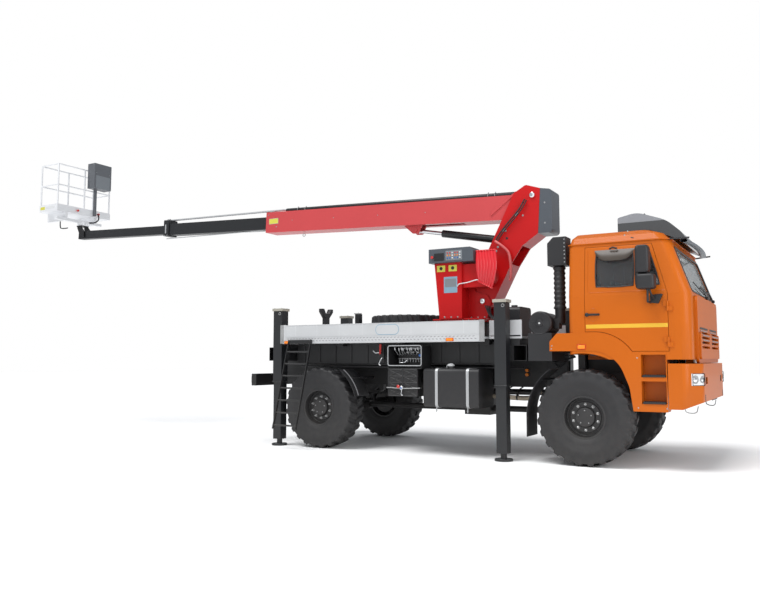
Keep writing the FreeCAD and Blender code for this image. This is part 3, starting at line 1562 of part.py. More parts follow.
def make_arches(model):
    """The broad wheel arches of the front wheels with the two steps below each door."""
    items = []
    for side in (RIGHT, LEFT):
        low, high = span(side, "half_width - arch_wide", "half_width")
        arch = model.body("Arch")
        corners = [
            ("-arch_back", "arch_inner"),
            ("arch_crown_x", "arch_inner", "arch_bend"),
            ("arch_foot_x - arch_sheet", "tyre_radius + arch_sheet * 10", "arch_bend"),
            ("arch_foot_x", "arch_foot"),
            ("step_front", "arch_foot"),
            ("step_front", "door_foot - door_gap * 2"),
            ("arch_knee", "door_foot - door_gap * 2"),
            ("arch_flat", "arch_top - door_gap * 2", DOOR_BEND),
            ("-arch_back + arch_sheet * 2.5", "arch_top - door_gap * 2", "arch_sheet"),
            ("-arch_back", "arch_top - arch_sheet * 3", "arch_sheet"),
        ]
        model.pad(arch, "XZ_Plane", [corners], low, high)
        swing = rectangle(
            ("arch_foot_x - arch_sheet * 2", "arch_foot - arch_sheet"),
            ("arch_foot_x + arch_sheet * 2.2", "tyre_radius + arch_sheet * 16"),
        )
        model.pocket(
            arch, "XZ_Plane", [swing], *span(side, "half_width - arch_wide", "half_width - arch_sheet")
        )
        for foot in ("arch_foot + step_lift", "arch_foot + step_lift + step_pitch"):
            opening = rectangle(("step_rear", foot), ("step_front - arch_sheet / 4", f"{foot} + step_high"))
            depth = span(side, "half_width - arch_wide + arch_sheet", "half_width")
            model.pocket(arch, "XZ_Plane", [opening], *depth)
        items.append(arch)
    arches = model.group(items)
    model.node(arches, "wheel_arches")
    return arches


def make_cab_inside(model):
    """Two seats on plinths, the dashboard and the steering wheel."""
    seats = []
    floor = "cab_floor + cab_wall"
    for side in (RIGHT, LEFT):
        low, high = span(side, "tunnel_half + slot_half", "half_width - arch_wide - slot_half / 2")
        seat = model.body("Seat")
        corners = [
            ("seat_back_x + slot_half", floor),
            ("seat_front_x - slot_half", floor),
            ("seat_front_x", "seat_top - slot_half * 2"),
            ("seat_front_x", "seat_top", "slot_half / 2"),
            ("seat_back_x + slot_half * 3", "seat_top"),
            ("seat_back_x + slot_half", "seat_head", "slot_half / 2"),
            ("seat_back_x", "seat_head", "slot_half / 2"),
            ("seat_back_x", "seat_top - slot_half * 2"),
        ]
        model.pad(seat, "XZ_Plane", [corners], low, high)
        seats.append(seat)
    dash = model.body("Dash")
    corners = [
        ("dash_rear", "dash_top - slot_half * 4"),
        ("cab_front - cab_wall", "dash_top - slot_half * 6"),
        ("cab_front - cab_wall", "dash_top - slot_half"),
        ("dash_rear + slot_half", "dash_top"),
    ]
    model.pad(
        dash, "XZ_Plane", [corners], "-cab_half + cab_corner + slot_half", "cab_half - cab_corner - slot_half"
    )
    hub = ("dash_rear - slot_half * 3", "steer_y", "dash_top + slot_half")
    tilt = ("0; 1; 0", "-steer_lean")
    wheel = model.body("SteeringRim", hub, tilt)
    section = [
        (f"steer_radius + steer_grip * {across}", f"steer_grip * {up}")
        for across, up in (
            (-1, -0.4), (-0.4, -1), (0.4, -1), (1, -0.4), (1, 0.4), (0.4, 1), (-0.4, 1), (-1, 0.4)
        )
    ]
    model.turned(wheel, section, "V_Axis", "XZ_Plane")
    boss = model.cylinder(hub, "steer_grip * 2", "steer_grip * 2", tilt)
    back = "rotation(vector(0; 1; 0); 180 - steer_lean)"
    column = model.doc.addObject("Part::Cylinder", "SteeringColumn")
    model.bind(column, "Radius", "steer_grip * 1.5")
    model.bind(column, "Height", "slot_half * 6")
    spot = f"vector(front_axle_x + {hub[0]}; centre_plane_y + {hub[1]}; {hub[2]})"
    model.bind(column, "Placement", f"placement({spot}; {back})")
    spokes = []
    for turn in ("0", "120", "240"):
        spoke = model.doc.addObject("Part::Cylinder", "Spoke")
        model.bind(spoke, "Radius", "steer_grip * 0.7")
        model.bind(spoke, "Height", "steer_radius")
        lean = "rotation(vector(0; 1; 0); -steer_lean)"
        lie = f"{lean} * rotation(vector(0; 0; 1); {turn}) * rotation(vector(0; 1; 0); 90)"
        model.bind(spoke, "Placement", f"placement({spot}; {lie})")
        spokes.append(spoke)
    board = model.fuse([dash, wheel, boss, column] + spokes)
    model.node(model.group(seats + [board]), "cab_interior")


def make_mirrors(model):
    """Two mirrors on an upright arm at each door, and the pale sun visor over the windscreen."""
    for side in (RIGHT, LEFT):
        items = []
        low, high = span(side, "cab_half + slot_half * 1.5", "cab_half + slot_half * 4.5")
        for foot, top in (("mirror_foot", "mirror_top"), ("mirror_low_foot", "mirror_low_top")):
            head = model.body("MirrorHead")
            shape = rectangle((low, foot), (high, top), "slot_half / 3")
            model.pad(head, "YZ_Plane", [shape], "mirror_x", "mirror_x + mirror_thick")
            items.append(head)
        arm_y = f"{side} * (cab_half + slot_half * 3)"
        arm_x = "mirror_x + mirror_thick"
        foot = "cab_belt - slot_half * 2"
        items.append(model.cylinder((arm_x, arm_y, foot), "ladder_rung", f"mirror_top - ({foot})"))
        low, high = span(side, "cab_half", "cab_half + slot_half * 3")
        items.append(model.cylinder((arm_x, low, foot), "ladder_rung", f"({high}) - ({low})", ALONG_Y))
        model.node(model.fuse(items), f"mirror_{SIDE_NAMES[side]}")
    visor = model.body("Visor")
    corners = [
        ("visor_rear", "cab_roof"),
        ("roof_front", "cab_roof"),
        ("visor_front - slot_half", "visor_drop"),
        ("visor_front", "visor_drop + slot_half / 2"),
        ("visor_front - slot_half", "visor_drop + slot_half * 2"),
        ("visor_front - slot_half * 4", "visor_top - slot_half * 2.4", "slot_half * 8"),
        ("roof_front - slot_half * 3", "visor_top", "slot_half * 6"),
        ("visor_rear", "visor_top - slot_half", "slot_half / 2"),
    ]
    model.pad(visor, "XZ_Plane", [corners], "-visor_half", "visor_half")
    roof = model.body("RoofUnder")
    below = ("cab_belt", cab_plan("cab_back", "eave_front", "eave_half", "0"))
    model.loft(roof, "XY_Plane", [below] + roof_stations("0", "cab_eave"))
    model.node(model.cut(visor, roof), "sun_visor")


LEVEL_X = f"({KNUCKLE_X} - level_reach * cos(boom_tilt) - boom_drop * sin(boom_tilt))"
LEVEL_Z = f"({KNUCKLE_Z} + level_reach * sin(boom_tilt) - boom_drop * cos(boom_tilt))"
ARM_AT = ("-base_pin_x", "0", "base_pin_z")
TURN_X = f"({LEVEL_X} - turn_x)"
CONSOLE_FOOT = "(base_pin_z + turret_rise)"


def make_turret(model):
    """The slewing column: turning ring, base plate, two cheeks with a box between them, and the console."""
    ring_foot = "(slew_ring_foot + (slew_ring_top - slew_ring_foot) / 2 + slide_gap)"
    ring = model.cylinder(("-slew_x", "0", ring_foot), "slew_ring_radius", f"slew_ring_top - {ring_foot}")
    plate = model.body("TurretPlate", ("-slew_x", "0", "0"))
    reach = "slew_ring_radius + turret_plate * 2"
    sheet = rectangle((f"-({reach})", f"-({reach})"), (reach, reach), "slot_half * 2")
    model.pad(plate, "XY_Plane", [sheet], "slew_ring_top", "slew_ring_top + turret_plate")
    top = "slew_ring_top + turret_plate"
    items = [ring, plate]
    pin_x = "slew_x - base_pin_x"
    for side in (RIGHT, LEFT):
        low, high = span(side, "turret_half - turret_plate", "turret_half")
        cheek = model.body("TurretCheek", ("-slew_x", "0", "0"))
        corners = [
            ("-slew_ring_radius", top),
            ("slew_ring_radius", top),
            (f"{pin_x} + slot_half * 2.5", "base_pin_z"),
            (f"{pin_x} + slot_half * 1.5", "base_pin_z + slot_half * 2", "slot_half"),
            (f"{pin_x} - slot_half * 2", "base_pin_z + slot_half * 3", "slot_half"),
            ("slot_half * 2", CONSOLE_FOOT),
            ("-slot_half * 7", CONSOLE_FOOT),
            ("-slot_half * 6", "base_pin_z + slot_half * 2"),
        ]
        model.pad(cheek, "XZ_Plane", [corners], low, high)
        model.pocket(cheek, "XZ_Plane", [((pin_x, "base_pin_z"), "arm_pin_radius + shaft_gap")], low, high)
        items.append(cheek)
    box = model.body("TurretBox", ("-slew_x", "0", "0"))
    corners = [
        ("-slew_ring_radius + turret_plate", top),
        ("-slot_half * 2", top),
        ("-slot_half * 2", f"{CONSOLE_FOOT} - slot_half"),
        ("-slot_half * 6.5", f"{CONSOLE_FOOT} - slot_half"),
        ("-slot_half * 5.5", "base_pin_z + slot_half * 2"),
    ]
    inner = "turret_half - turret_plate"
    model.pad(box, "XZ_Plane", [corners], f"-({inner})", inner)
    pedestal = model.body("Pedestal")
    corners = [
        ("-pedestal_foot_rear", top),
        ("-pedestal_front", top),
        ("-pedestal_front", CONSOLE_FOOT),
        ("-pedestal_rear", CONSOLE_FOOT),
    ]
    model.pad(pedestal, "XZ_Plane", [corners], "-pedestal_y", "-turret_half")
    model.node(model.fuse(items + [box, pedestal] + make_hose_drum(model)), "turret")
    console = model.body("Console")
    corners = [
        ("-console_rear", CONSOLE_FOOT),
        ("-console_front", CONSOLE_FOOT),
        ("-console_front", f"{CONSOLE_FOOT} + console_high - slot_half"),
        ("-console_front - slot_half", f"{CONSOLE_FOOT} + console_high"),
        ("-console_rear", f"{CONSOLE_FOOT} + console_high"),
    ]
    model.pad(console, "XZ_Plane", [corners], "-console_inner - console_wide", "-console_inner")
    model.node(console, "turret_console")


def make_hose_drum(model):
    """The ribbed guide that leads the hoses from the pedestal round to the lower arm."""
    plates = []
    pitch = "(drum_rib + drum_groove)"
    far = f"-drum_inner - {pitch} * rib_count + drum_groove + drum_rib / 2"
    spans = [("drum_groove", far, "-drum_inner - drum_rib / 2")]
    for rib in range(int(model.value("rib_count"))):
        near = f"-drum_inner - {pitch} * {rib}"
        spans.append(("0", f"{near} - drum_rib", near))
    for inset, low, high in spans:
        plate = model.body("DrumPlate")
        corners = [
            ("-pedestal_front - slot_half / 2", f"drum_foot + {inset}"),
            (f"-drum_front - {inset}", f"drum_foot + {inset}", f"drum_bend - {inset}"),
            (f"-drum_front - {inset}", f"drum_top - {inset}", f"drum_bend - {inset}"),
            ("-pedestal_front - slot_half / 2", f"drum_top - {inset}"),
        ]
        model.pad(plate, "XZ_Plane", [corners], low, high)
        plates.append(plate)
    return plates


def make_lower_boom(model):
    """The lower arm: two cheeks joined by webs, its base pin, knuckle pin and the ram's seat pin."""
    items = []
    for side in (RIGHT, LEFT):
        low, high = span(side, "arm_half - cheek", "arm_half")
        side_plate = model.body("ArmCheek", ARM_AT, ARM_TURN)
        corners = [
            ("-arm_tail", "-arm_low * 0.6"),
            ("-arm_tail * 0.5", "-arm_low", "slot_half"),
            ("arm_length * 0.4", "-arm_low"),
            ("arm_length * 0.58", "-arm_low * 1.25"),
            ("arm_length * 0.73", "-arm_low * 2.2"),
            ("arm_length * 1.08", "-arm_low * 0.35"),
            ("arm_length * 1.06", "arm_high * 0.6", "slot_half"),
            ("arm_length * 0.955", "arm_high", "slot_half"),
            ("arm_length * 0.37", "arm_high * 0.96"),
            ("-arm_tail * 0.5", "arm_low", "slot_half"),
            ("-arm_tail", "arm_low * 0.6"),
        ]
        model.pad(side_plate, "XZ_Plane", [corners], low, high)
        items.append(side_plate)
    inner = "arm_half - cheek"
    webs = [
        [
            ("0", "-arm_low"),
            ("arm_length * 0.4", "-arm_low"),
            ("arm_length * 0.4", "-arm_low + cheek"),
            ("0", "-arm_low + cheek"),
        ],
        [
            ("0", "arm_low + cheek"),
            ("arm_length * 0.37", "arm_high * 0.96 - cheek * 2"),
            ("arm_length * 0.37", "arm_high * 0.96 - cheek"),
            ("0", "arm_low + cheek * 2"),
        ],
        [
            ("arm_length * 0.58", "-arm_low * 1.25"),
            ("arm_length * 0.73", "-arm_low * 2.2"),
            ("arm_length * 0.73 + cheek", "-arm_low * 2.2 + cheek"),
            ("arm_length * 0.58 + cheek / 2", "-arm_low * 1.25 + cheek"),
        ],
    ]
    for corners in webs:
        web = model.body("ArmWeb", ARM_AT, ARM_TURN)
        model.pad(web, "XZ_Plane", [corners], f"-({inner})", inner)
        items.append(web)
    pins = model.body("ArmPins", ARM_AT, ARM_TURN)
    pins.AllowCompound = True
    for centre, radius, reach in (
        (("0", "0"), "arm_pin_radius", "turret_half + shaft_boss"),
        (("arm_length", "0"), "arm_pin_radius", "arm_half + shaft_boss"),
        (("ram_seat_x", "ram_seat_z"), "level_radius", "arm_half"),
    ):
        model.pad(pins, "XZ_Plane", [(centre, radius)], f"-({reach})", reach)
    boss = model.body("ArmBoss", ARM_AT, ARM_TURN)
    model.pad(boss, "XZ_Plane", [(("0", "0"), "arm_pin_radius * 1.8")], f"-({inner})", inner)
    items += [pins, boss]
    model.node(model.fuse(items), "lower_boom")
    cover = model.body("HeadCover", ARM_AT, ARM_TURN)
    corners = [
        ("arm_length * 0.73 + slide_gap", "-arm_low * 2.2 - slide_gap"),
        ("arm_length * 1.08 + slide_gap", "-arm_low * 0.35 - slide_gap"),
        ("arm_length * 1.11", "-arm_low * 1.5", "slot_half"),
        ("arm_length * 0.785", "-arm_low * 3.5", "slot_half"),
    ]
    model.pad(cover, "XZ_Plane", [corners], "-arm_half + door_gap", "arm_half - door_gap")
    model.node(cover, "boom_head_cover")


def make_ram(model):
    """The boom's ram: a barrel on the arm's seat pin and a rod whose eye stands at the boom's bracket."""
    seat_x = "(-base_pin_x + ram_seat_x * cos(arm_angle) - ram_seat_z * sin(arm_angle))"
    seat_z = "(base_pin_z + ram_seat_x * sin(arm_angle) + ram_seat_z * cos(arm_angle))"
    eye_x = f"({KNUCKLE_X} - ram_eye_x * cos(boom_tilt) - ram_eye_drop * sin(boom_tilt))"
    eye_z = f"({KNUCKLE_Z} + ram_eye_x * sin(boom_tilt) - ram_eye_drop * cos(boom_tilt))"
    slope = f"atan(({eye_z} - {seat_z}) / ({seat_x} - {eye_x}))"
    length = f"sqrt(({eye_z} - {seat_z}) ^ 2 + ({seat_x} - {eye_x}) ^ 2)"
    turn = ("0; 1; 0", slope)
    at = (seat_x, "0", seat_z)
    gap = "shaft_gap"
    barrel = model.body("Barrel", at, turn)
    model.turned(
        barrel,
        [
            ("-ram_barrel", f"rod_radius + {gap}"),
            ("-ram_eye * 1.2", f"rod_radius + {gap}"),
            ("-ram_eye * 1.2", "0"),
            ("-ram_eye * 0.2", "0"),
            ("-ram_eye * 0.2", "ram_radius * 0.7"),
            ("-ram_eye * 1.3", "ram_radius"),
            ("-ram_barrel", "ram_radius"),
        ],
        "H_Axis",
        "XZ_Plane",
    )
    eye = model.body("BarrelEye", at, turn)
    model.pad(eye, "XZ_Plane", [(("0", "0"), "ram_eye * 1.2")], "-ram_radius", "ram_radius")
    bore = model.body("BarrelBore", at, turn)
    model.pad(bore, "XZ_Plane", [(("0", "0"), f"level_radius + {gap}")], "-ram_radius * 2", "ram_radius * 2")
    model.node(model.cut(model.fuse([barrel, eye]), bore), "ram_barrel")
    rod = model.body("Rod", at, turn)
    model.turned(
        rod,
        [
            (f"-({length}) + ram_eye * 0.5", "0"),
            (f"-({length}) + rod_length", "0"),
            (f"-({length}) + rod_length", "rod_radius"),
            (f"-({length}) + ram_eye * 0.5", "rod_radius"),
        ],
        "H_Axis",
        "XZ_Plane",
    )
    tip = model.body("RodEye", at, turn)
    centre = (f"-({length})", "0")
    model.pad(tip, "XZ_Plane", [(centre, "ram_eye")], "-ram_radius", "ram_radius")
    hole = model.body("RodBore", at, turn)
    model.pad(hole, "XZ_Plane", [(centre, "level_radius - ram_slack")], "-ram_radius * 2", "ram_radius * 2")
    model.node(model.cut(model.fuse([rod, tip]), hole), "ram_rod")


def boom_box(model, name, wide, deep, wall, near, far):
    """A rectangular boom tube between two distances from the knuckle pin."""
    tube = model.body(name, BOOM_AT, BOOM_TURN)
    shapes = [
        rectangle((f"-{wide} / 2", f"-boom_drop - {deep} / 2"), (f"{wide} / 2", f"-boom_drop + {deep} / 2")),
        rectangle(
            (f"-({wide} / 2 - {wall})", f"-boom_drop - {deep} / 2 + {wall}"),
            (f"{wide} / 2 - {wall}", f"-boom_drop + {deep} / 2 - {wall}"),
        ),
    ]
    model.pad(tube, "YZ_Plane", shapes, f"-({far})", f"-({near})")
    return tube


def make_upper_boom(model):
    """The telescopic boom: base section with root cheeks and ram bracket, and two sections inside it."""
    end = "(boom_root + boom_length - boom_root * 0.7)"
    base = boom_box(model, "BoomBase", "boom_wide", "boom_deep", "boom_wall", "boom_root", end)
    items = [base]
    for side in (RIGHT, LEFT):
        low, high = span(side, "boom_wide / 2 - boom_wall - cheek", "boom_wide / 2 - boom_wall")
        cheek = model.body("BoomCheek", BOOM_AT, BOOM_TURN)
        corners = [
            ("-boom_root * 2.5", "-boom_drop - boom_deep / 2 + boom_wall"),
            ("-boom_root * 0.6", "-boom_drop - boom_deep / 2 + boom_wall"),
            ("arm_pin_radius * 1.7", "-arm_pin_radius * 1.7", "arm_pin_radius * 1.3"),
            ("arm_pin_radius * 1.7", "arm_pin_radius * 1.7", "arm_pin_radius * 1.3"),
            ("-arm_pin_radius * 3", "arm_pin_radius * 2", "arm_pin_radius"),
            ("-boom_root", "-boom_drop + boom_deep / 2 - boom_wall"),
            ("-boom_root * 2.5", "-boom_drop + boom_deep / 2 - boom_wall"),
        ]
        model.pad(cheek, "XZ_Plane", [corners], low, high)
        model.pocket(cheek, "XZ_Plane", [(("0", "0"), "arm_pin_radius + shaft_gap")], low, high)
        items.append(cheek)
        low, high = span(side, "ear_gap", "ear_gap + cheek")
        ear = model.body("RamEar", BOOM_AT, BOOM_TURN)
        foot = "-boom_drop - boom_deep / 2"
        corners = [
            ("-ram_eye_x - slot_half * 4", foot),
            ("-ram_eye_x - slot_half", "-ram_eye_drop - slot_half", "slot_half / 2"),
            ("-ram_eye_x + slot_half", "-ram_eye_drop - slot_half", "slot_half / 2"),
            ("-ram_eye_x + slot_half * 2", foot),
        ]
        model.pad(ear, "XZ_Plane", [corners], low, high)
        low, high = span(side, "ear_gap", "ear_gap + cheek + shaft_boss")
        model.pad(ear, "XZ_Plane", [(("-ram_eye_x", "-ram_eye_drop"), "level_radius")], low, high)
        items.append(ear)
    collar = model.body("BoomCollar", BOOM_AT, BOOM_TURN)
    shapes = [
        rectangle(
            ("-boom_wide / 2 + slide_gap", "-boom_drop - boom_deep / 2 + slide_gap"),
            ("boom_wide / 2 - slide_gap", "-boom_drop + boom_deep / 2 - slide_gap"),
        ),
        rectangle(
            ("-mid_wide / 2 - slide_gap", "-boom_drop - mid_deep / 2 - slide_gap"),
            ("mid_wide / 2 + slide_gap", "-boom_drop + mid_deep / 2 + slide_gap"),
        ),
    ]
    model.pad(collar, "YZ_Plane", shapes, f"-({end})", f"-({end}) + head_collar")
    slot = rectangle(("-ram_eye_x - ram_eye * 1.5", "-ear_gap"), ("-ram_eye_x + ear_slot", "ear_gap"))
    model.pocket(
        base, "XY_Plane", [slot], "-boom_drop - boom_deep / 2", "-boom_drop - boom_deep / 2 + boom_wall"
    )
    model.node(model.fuse(items + [collar]), "upper_boom")
    hose = model.body("HoseTube", BOOM_AT, BOOM_TURN)
    centre = ("0", "-boom_drop + boom_deep / 2 + hose_tube")
    model.pad(hose, "YZ_Plane", [(centre, "hose_tube")], "-boom_length * 0.95", "-boom_root")
    model.node(hose, "boom_hose_tube")
    mid_end = f"({end} + mid_shown)"
    middle = boom_box(
        model, "BoomMiddle", "mid_wide", "mid_deep", "mid_wall", f"{mid_end} - mid_length", mid_end
    )
    head = model.body("MiddleHead", BOOM_AT, BOOM_TURN)
    shapes = [
        rectangle(
            ("-mid_wide / 2 - cheek", "-boom_drop - mid_deep / 2 - cheek"),
            ("mid_wide / 2 + cheek", "-boom_drop + mid_deep / 2 + cheek * 4"),
            "cheek",
        ),
        rectangle(
            ("-tip_wide / 2 - slide_gap", "-boom_drop - tip_deep / 2 - slide_gap"),
            ("tip_wide / 2 + slide_gap", "-boom_drop + tip_deep / 2 + slide_gap"),
        ),
    ]
    model.pad(head, "YZ_Plane", shapes, f"-({mid_end} + head_collar)", f"-({mid_end})")
    model.node(model.fuse([middle, head]), "boom_section_2")
    tip_end = f"({mid_end} + head_collar + tip_shown)"
    tip = boom_box(model, "BoomTip", "tip_wide", "tip_deep", "mid_wall", f"{tip_end} - tip_length", tip_end)
    level = model.body("LevelPin", BOOM_AT, BOOM_TURN)
    reach = "tip_wide / 2 + door_gap + cheek"
    model.pad(level, "XZ_Plane", [(("-level_reach", "-boom_drop"), "level_radius")], f"-({reach})", reach)
    model.node(model.fuse([tip, level]), "boom_section_3")


def make_basket(model):
    """The basket's levelling mount, the turning bracket, the tube basket and its control box."""
    items = []
    for side in (RIGHT, LEFT):
        low, high = span(side, "tip_wide / 2 + door_gap", "tip_wide / 2 + door_gap + cheek")
        cheek = model.body("MountCheek", (LEVEL_X, "0", LEVEL_Z))
        corners = [
            ("-slot_half", "-slot_half"),
            ("slot_half", "-slot_half"),
            ("slot_half", "slot_half * 1.5"),
            ("-turn_x + turn_radius", "turn_foot"),
            ("-turn_x - turn_radius", "turn_foot"),
            ("-turn_x - turn_radius", "turn_foot - slot_half"),
        ]
        model.pad(cheek, "XZ_Plane", [corners], low, high)
        model.pocket(cheek, "XZ_Plane", [(("0", "0"), "level_radius + shaft_gap")], low, high)
        items.append(cheek)
    seat = model.body("MountSeat", (LEVEL_X, "0", LEVEL_Z))
    reach = "tip_wide / 2 + door_gap + cheek"
    plate = rectangle(("-turn_x - turn_radius * 1.5", f"-({reach})"), ("-turn_x + turn_radius * 1.5", reach))
    model.pad(seat, "XY_Plane", [plate], "turn_foot - cheek", "turn_foot")
    pin = model.cylinder(
        (TURN_X, "0", f"{LEVEL_Z} + turn_foot - cheek"), "turn_radius", "turn_top - turn_foot"
    )
    model.node(model.fuse(items + [seat, pin]), "basket_mount")
    rise = f"({LEVEL_Z} + turn_foot)"
    sleeve = model.cylinder((TURN_X, "0", f"{rise} + slide_gap"), "turn_radius * 1.5", "turn_top - turn_foot")
    bore = model.cylinder(
        (TURN_X, "0", rise), "turn_radius + shaft_gap", "turn_top - turn_foot - cheek + slide_gap"
    )
    floor = f"({LEVEL_Z} + floor_lift)"
    near = f"({TURN_X} + basket_reach)"
    far = f"({near} - basket_deep)"
    half = "basket_long / 2"
    beam = model.box(
        (f"{TURN_X} - turn_radius", f"-({half})", f"{rise} + turn_top - turn_foot - slot_half"),
        (f"{TURN_X} + turn_radius", "basket_long / 3", f"{rise} + turn_top - turn_foot"),
    )
    risers = [
        model.box(
            (far, y, f"{rise} + turn_top - turn_foot - slot_half"),
            (f"{TURN_X} + turn_radius", f"{y} + slot_half", floor),
        )
        for y in (f"-({half}) * 0.7", "basket_long * 0.2")
    ]
    base = model.box((far, f"-({half})", floor), (near, half, f"{floor} + cheek"))
    items = [model.cut(model.fuse([sleeve, beam]), bore), base] + risers
    boards = model.body("ToeBoards")
    outer = rectangle((far, f"-({half})"), (near, half))
    inner = rectangle(
        (f"{far} + slot_half / 16", f"-({half}) + slot_half / 16"),
        (f"{near} - slot_half / 16", f"{half} - slot_half / 16"),
    )
    model.pad(boards, "XY_Plane", [outer, inner], floor, f"{floor} + toe_board")
    items.append(boards)
    edge_x = (f"{far} + tube_inset", f"{near} - tube_inset")
    edge_y = (f"-({half}) + tube_inset", f"{half} - tube_inset")
    for x in edge_x:
        for y in edge_y + ("0",):
            items.append(model.cylinder((x, y, floor), "rail_tube", "basket_high"))
    for z in (f"{floor} + basket_high", f"{floor} + basket_high * 0.56"):
        for x in edge_x:
            items.append(
                model.cylinder((x, edge_y[0], z), "cross_tube", "basket_long - 2 * tube_inset", ALONG_Y)
            )
        for y in edge_y:
            items.append(
                model.cylinder((edge_x[0], y, z), "cross_tube", "basket_deep - 2 * tube_inset", ALONG_X)
            )
    model.node(model.fuse(items), "basket")
    control = model.box(
        (near, "slot_half", f"{floor} + basket_high * 0.6"),
        (f"{near} + control_deep", "slot_half + control_wide", f"{floor} + basket_high + toe_board"),
    )
    stem = model.box(
        (near, "slot_half * 4", f"{floor} + cheek"),
        (f"{near} + slot_half", "slot_half * 5", f"{floor} + basket_high * 0.6"),
    )
    model.node(model.fuse([control, stem]), "basket_control_box")


def main():
    model = Model()
    make_wheels(model)
    make_running_gear(model)
    make_chassis(model)
    make_subframe(model)
    make_stabilisers(model)
    make_deck(model)
    make_side_fittings(model)
    make_air_intake(model)
    make_cab(model)
    make_turret(model)
    make_lower_boom(model)
    make_ram(model)
    make_upper_boom(model)
    make_basket(model)
    model.export()


if __name__ == "__main__":
    main()
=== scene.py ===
"""Looks of a cherry picker truck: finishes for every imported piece, and the small pieces on top of them."""

import logging
import math
from dataclasses import dataclass, field
from enum import Enum
from functools import cache
from itertools import product

import bmesh
import bpy
import numpy as np
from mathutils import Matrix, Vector
from mathutils.bvhtree import BVHTree


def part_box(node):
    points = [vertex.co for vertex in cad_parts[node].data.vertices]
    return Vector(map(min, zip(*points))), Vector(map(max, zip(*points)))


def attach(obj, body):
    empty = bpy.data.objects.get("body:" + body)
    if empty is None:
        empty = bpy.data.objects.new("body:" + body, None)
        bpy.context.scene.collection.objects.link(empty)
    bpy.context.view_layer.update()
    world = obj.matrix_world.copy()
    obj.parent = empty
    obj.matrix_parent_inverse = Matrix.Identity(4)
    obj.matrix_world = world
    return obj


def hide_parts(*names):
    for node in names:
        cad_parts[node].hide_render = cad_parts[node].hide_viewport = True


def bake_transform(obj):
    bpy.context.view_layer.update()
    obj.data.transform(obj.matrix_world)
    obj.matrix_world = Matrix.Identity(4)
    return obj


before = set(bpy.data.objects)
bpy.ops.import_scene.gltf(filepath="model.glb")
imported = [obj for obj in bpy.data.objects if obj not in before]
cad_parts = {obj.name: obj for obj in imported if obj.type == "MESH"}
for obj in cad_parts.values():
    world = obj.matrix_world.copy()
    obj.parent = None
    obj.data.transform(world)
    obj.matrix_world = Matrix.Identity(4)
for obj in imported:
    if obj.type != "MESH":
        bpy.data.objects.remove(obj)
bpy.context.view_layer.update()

LOG = logging.getLogger("cherry_picker_truck")
Point = tuple[float, float, float]
Flat = tuple[float, float]
Route = tuple[Point, ...]
Outline = tuple[Flat, ...]
Array = np.ndarray
Flats = Array | Outline
Places = Array | Route
Names = tuple[str, ...]
Socket = bpy.types.NodeSocket


def axle_origin() -> Vector:
    """The ground point midway between the front wheels, from which the pieces below are measured.

    Returns:
        The point in the row frame, in metres.
    """
    low_left, high_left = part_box("tyre_front_left")
    low_right, high_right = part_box("tyre_front_right")
    x = (low_left.x + high_left.x) / 2
    y = (low_left.y + high_left.y + low_right.y + high_right.y) / 4
    return Vector((x, y, 0.0))


ORIGIN = axle_origin()
DOWN = (0.0, 0.0, -1.0)
BACK = (-1.0, 0.0, 0.0)
SUNK = 0.002
SHARP = 35.0


class Side(Enum):
    """One side of the vehicle, with the sign of its Y."""

    RIGHT = -1
    LEFT = 1

    @property
    def word(self) -> str:
        """The side's name as it stands in node names."""
        return self.name.lower()

    @property
    def inward(self) -> Point:
        """The direction from this side to the vehicle's middle."""
        return (0.0, -float(self.value), 0.0)

    @property
    def turn(self) -> Array:
        """The 3 by 3 matrix that turns Z outward on this side."""
        return Axis.Y.turn() @ np.diag([1.0, float(self.value), float(self.value)])

    def at(self, *places: Point) -> Array:
        """Places given for the left side, brought to this one.

        Args:
            places: The places.

        Returns:
            Them as rows of an array.
        """
        return np.array(places) * (1.0, self.value, 1.0)


class Axis(Enum):
    """A row axis, with the turn that brings a form's own Z onto it."""

    X = "X"
    Y = "Y"
    Z = "Z"

    def turn(self) -> Array:
        """The turn from a form's own frame, built along Z, to one built along this axis.

        Returns:
            The 3 by 3 matrix.
        """
        if self is Axis.X:
            return np.array([[0.0, 0.0, 1.0], [0.0, 1.0, 0.0], [-1.0, 0.0, 0.0]])
        if self is Axis.Y:
            return np.array([[1.0, 0.0, 0.0], [0.0, 0.0, 1.0], [0.0, -1.0, 0.0]])
        return np.eye(3)

    @property
    def across(self) -> tuple[int, int, int]:
        """The numbers of the other two axes, then of this one."""
        return {Axis.X: (1, 2, 0), Axis.Y: (0, 2, 1), Axis.Z: (0, 1, 2)}[self]


CORNERS = tuple(product(("front", "rear"), Side))
DUST = (0.3, 0.27, 0.23, 1.0)
DUST_TOP = 1.4
BUMP_STRENGTH = 0.35
BUMP_DEPTH = 0.002
GLOW_STRENGTH = 0.25


